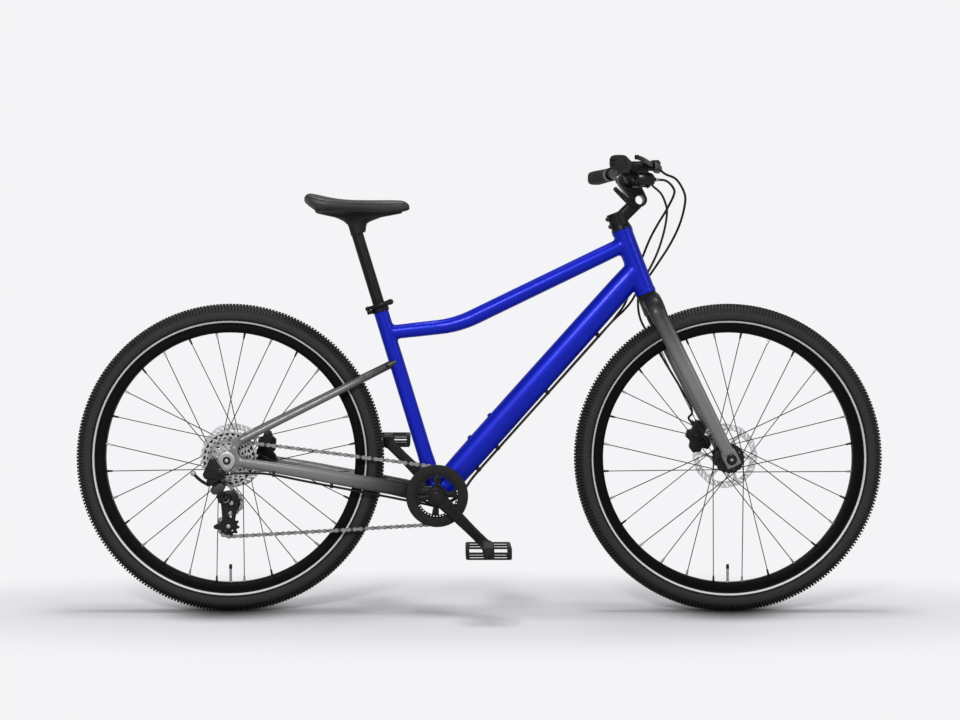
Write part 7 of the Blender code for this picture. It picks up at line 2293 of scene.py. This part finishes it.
def collar_lever():
    """Curved quick-release lever."""
    hub = softened(rod(seat(-0.0245, -0.014, 0.4188), seat(-0.0245, -0.014, 0.4268), 0.0058, 40), 0.0008)
    places = ((-0.024, -0.015), (-0.0212, -0.0172), (-0.014, -0.0215), (0.002, -0.0265),
        (0.016, -0.0245), (0.0265, -0.0165))
    path = smooth_path([seat(ahead, side, 0.4228) for ahead, side in places], 6)
    sizes = smooth_sizes(((0.0076, 0.0052), (0.0078, 0.005), (0.008, 0.0045), (0.0085, 0.0045),
        (0.0105, 0.006), (0.0125, 0.0088)), 6)
    lever = tube(path, sizes, SEAT_UP, 32, 2.8)
    tip = softened(rod(seat(0.0262, -0.019, 0.4228), seat(0.0262, -0.012, 0.4228), 0.006, 40), 0.0012)
    finished(joined(hub, lever, tip), "collar_lever", "black metal", "seat_clamp_lever",
        ("seat_clamp_lever",), 40)


class BIKE_OT_seatpost(PieceOperator, bpy.types.Operator):
    """Add the seatpost, its collar and the quick-release lever"""

    bl_idname = "bike.seatpost"
    bl_label = "Seatpost"

    def build(self):
        post = turned(CRANK, SEAT_UP,
            [(0.2716, 0.0107), (0.2716, 0.0124), (0.272, 0.0127), (0.59, 0.0127), (0.59, 0.0107)], 64)
        finished(post, "post_tube", "black metal", "seatpost", ("seatpost",))
        collar = turned(CRANK, SEAT_UP,
            [(0.408, 0.0166), (0.408, 0.018), (0.4086, 0.0185), (0.4243, 0.0185), (0.425, 0.0178),
            (0.425, 0.013), (0.4218, 0.013), (0.4218, 0.0166)], 64)
        ear = slab_between(seat(-0.0165, -0.002, 0.414), seat(-0.025, -0.002, 0.414), 0.016, 0.0085)
        bridge = slab_between(seat(-0.0215, -0.007, 0.414), seat(-0.0245, -0.014, 0.414), 0.006, 0.006)
        finished(joined(collar, ear, bridge), "seat_collar", "black metal", "frame", ("seat_clamp_collar",))
        pin = rod(seat(-0.0245, -0.014, 0.411), seat(-0.0245, -0.014, 0.428), 0.002, 24)
        knob = softened(rod(seat(-0.0245, -0.014, 0.41), seat(-0.0245, -0.014, 0.4185), 0.0045, 20), 0.0006)
        finished(joined(pin, knob), "collar_nut", "black metal", "frame")
        collar_lever()


def slab_between(start, end, width, depth):
    return softened(tube([start, end], [(width, depth)] * 2, LEFT, 32, 4.0), 0.0006)


def saddle_ring(x, top, half, low, count=56):
    """Section of the cover: crowned on top, drawn in below the bulge."""
    waist = low + (top - low) * 0.45
    ring = []
    for step in range(count):
        angle = FULL_TURN * step / count
        side = math.copysign(abs(math.cos(angle)) ** 0.72, math.cos(angle)) * half
        rise = math.sin(angle)
        if rise >= 0:
            height = waist + (top - waist) * rise ** 0.8
        else:
            height = max(low, waist + (waist - low) * rise * 1.5)
            side *= 1.0 + rise * 0.1
        ring.append(Vector((x, side, height)))
    return ring


SADDLE_EDGE = ((-0.3738, 0.8785), (-0.3715, 0.8755), (-0.364, 0.8685), (-0.35, 0.8585), (-0.34, 0.8545),
    (-0.2, 0.855), (-0.164, 0.858), (-0.153, 0.861), (-0.1492, 0.865))
SADDLE_EDGE_START = -0.345
# Along the bike, height of the crown and half width
SADDLE_STATIONS = ((-0.3738, 0.886, 0.026), (-0.3715, 0.891, 0.045), (-0.364, 0.896, 0.06),
    (-0.348, 0.894, 0.069), (-0.318, 0.8875, 0.07), (-0.283, 0.883, 0.06), (-0.248, 0.882, 0.044),
    (-0.213, 0.882, 0.029), (-0.185, 0.882, 0.0235), (-0.164, 0.8808, 0.0205), (-0.153, 0.875, 0.0155),
    (-0.1492, 0.8685, 0.0105))
WELT_POINT = 4


def saddle_low(x):
    """Height of the cover's lower edge at a place along the saddle."""
    for (x0, z0), (x1, z1) in zip(SADDLE_EDGE, SADDLE_EDGE[1:]):
        if x <= x1:
            share = max(0.0, (x - x0) / (x1 - x0))
            return z0 + (z1 - z0) * share
    return SADDLE_EDGE[-1][1]


def saddle_shell():
    """Shell under the cover, blended into its neck."""
    stations = ((-0.35, 0.8545, 0.034, 0.06), (-0.318, 0.8475, 0.038, 0.063),
        (-0.286, 0.841, 0.0245, 0.053), (-0.243, 0.84, 0.019, 0.036), (-0.203, 0.847, 0.015, 0.022),
        (-0.1655, 0.854, 0.01, 0.014))
    rings = []
    for x, low, narrow, wide in smooth_path(stations, 6):
        flank = []
        for step in range(10):
            share = step / 9
            flank.append((narrow + (wide - narrow) * share ** 2.2, low + (0.858 - low) * share))
        ring = [Vector((x, across, rise)) for across, rise in flank]
        rings.append(ring + [Vector((x, -across, rise)) for across, rise in flank[::-1]])
    shell = skinned(rings)
    # Neck's sections, each from its rear point to its front point, with its width
    sections = ((-0.2752, 0.805, -0.2436, 0.8142, 0.032), (-0.2768, 0.812, -0.2428, 0.821, 0.0325),
        (-0.2788, 0.82, -0.242, 0.827, 0.0335), (-0.2822, 0.829, -0.2408, 0.832, 0.035),
        (-0.29, 0.836, -0.233, 0.8365, 0.037), (-0.301, 0.8415, -0.22, 0.8415, 0.039),
        (-0.314, 0.8465, -0.207, 0.8465, 0.04), (-0.314, 0.853, -0.207, 0.853, 0.04))
    rings = []
    for x0, z0, x1, z1, width in sections:
        rear, front = Vector((x0, 0.0, z0)), Vector((x1, 0.0, z1))
        along = front - rear
        rings.append(section((rear + front) / 2, LEFT, along.normalized(), width, along.length, 48, 2.2))
    places = [Vector((x, side, 0.841)) for x in (-0.3, -0.262, -0.225) for side in (-0.019, 0.019)]
    shell = blended(joined(shell, skinned(rings)), 0.0013, places, 0.02, 12)
    finished(shell, "saddle_shell", "plastic", "seatpost", ("saddle_base",), 60)


class BIKE_OT_saddle(PieceOperator, bpy.types.Operator):
    """Add the padded saddle with its seams, shell and neck"""

    bl_idname = "bike.saddle"
    bl_label = "Saddle"

    def build(self):
        fine = smooth_path(SADDLE_STATIONS, 6)
        cover = skinned([saddle_ring(*place, saddle_low(place[0])) for place in fine])
        cover = finished(remeshed(cover, 0.0016, 4), "saddle_pad", "saddle", "seatpost",
            ("saddle_cover",), 70)
        for name, side in SIDES:
            line = []
            for x, top, half in fine[4:-3]:
                point = saddle_ring(x, top, half, saddle_low(x), 72)[WELT_POINT]
                line.append(mirrored(point, side) + Vector((0.0, side * 0.0001, 0.0002)))
            welt = tube(line, [(0.0016, 0.0012)] * len(line), LEFT, 10)
            finished(welt, "saddle_welt_" + name, "saddle", "seatpost", (), 70)
        saddle_shell()
        rim_line = [Vector((x, half * 0.98, saddle_low(x) + 0.0008)) for x, top, half in fine[2:-2]
            if x > SADDLE_EDGE_START]
        for name, side in SIDES:
            edge = [mirrored(point, side) for point in rim_line]
            band = tube(edge, [(0.0016, 0.0022)] * len(edge), LEFT, 10)
            finished(band, "saddle_edge_" + name, "plastic", "seatpost", (), 60)


class BIKE_PT_panel(bpy.types.Panel):
    """Buttons for each group of pieces"""

    bl_idname = "BIKE_PT_panel"
    bl_label = "Kids mountain bike"
    bl_space_type = "VIEW_3D"
    bl_region_type = "UI"
    bl_category = "Bike"

    def draw(self, context):
        for group in SETTINGS.values():
            box = self.layout.box()
            values = getattr(context.scene, group[0])
            for key in group[1].__annotations__:
                box.prop(values, key)
        for operator in OPERATORS:
            self.layout.operator(operator.bl_idname)


SETTINGS = {"paint": ("bike_paint", BikePaintSettings), "tubes": ("bike_tubes", BikeTubeSettings),
    "wheels": ("bike_wheels", BikeWheelSettings), "stage": ("bike_stage", BikeStageSettings),}

OPERATORS = (BIKE_OT_stage, BIKE_OT_hoses, BIKE_OT_main_frame, BIKE_OT_stays, BIKE_OT_frame_trim,
    BIKE_OT_fork, BIKE_OT_wheels, BIKE_OT_chain, BIKE_OT_cassette, BIKE_OT_chainset, BIKE_OT_pedals,
    BIKE_OT_derailleur, BIKE_OT_calipers, BIKE_OT_stem, BIKE_OT_handlebar, BIKE_OT_brake_levers,
    BIKE_OT_shifter, BIKE_OT_bell, BIKE_OT_seatpost, BIKE_OT_saddle)


def register():
    for name, group in SETTINGS.values():
        bpy.utils.register_class(group)
        setattr(bpy.types.Scene, name, bpy.props.PointerProperty(type=group))
    for operator in OPERATORS:
        bpy.utils.register_class(operator)
    bpy.utils.register_class(BIKE_PT_panel)


def unregister():
    bpy.utils.unregister_class(BIKE_PT_panel)
    for operator in reversed(OPERATORS):
        bpy.utils.unregister_class(operator)
    for name, group in SETTINGS.values():
        delattr(bpy.types.Scene, name)
        bpy.utils.unregister_class(group)


def main():
    register()
    for operator in OPERATORS:
        area, name = operator.bl_idname.split(".")
        result = getattr(getattr(bpy.ops, area), name)()
        if result != {"FINISHED"}:
            raise RuntimeError(operator.bl_label + " did not finish")


if __name__ == "__main__":
    main()
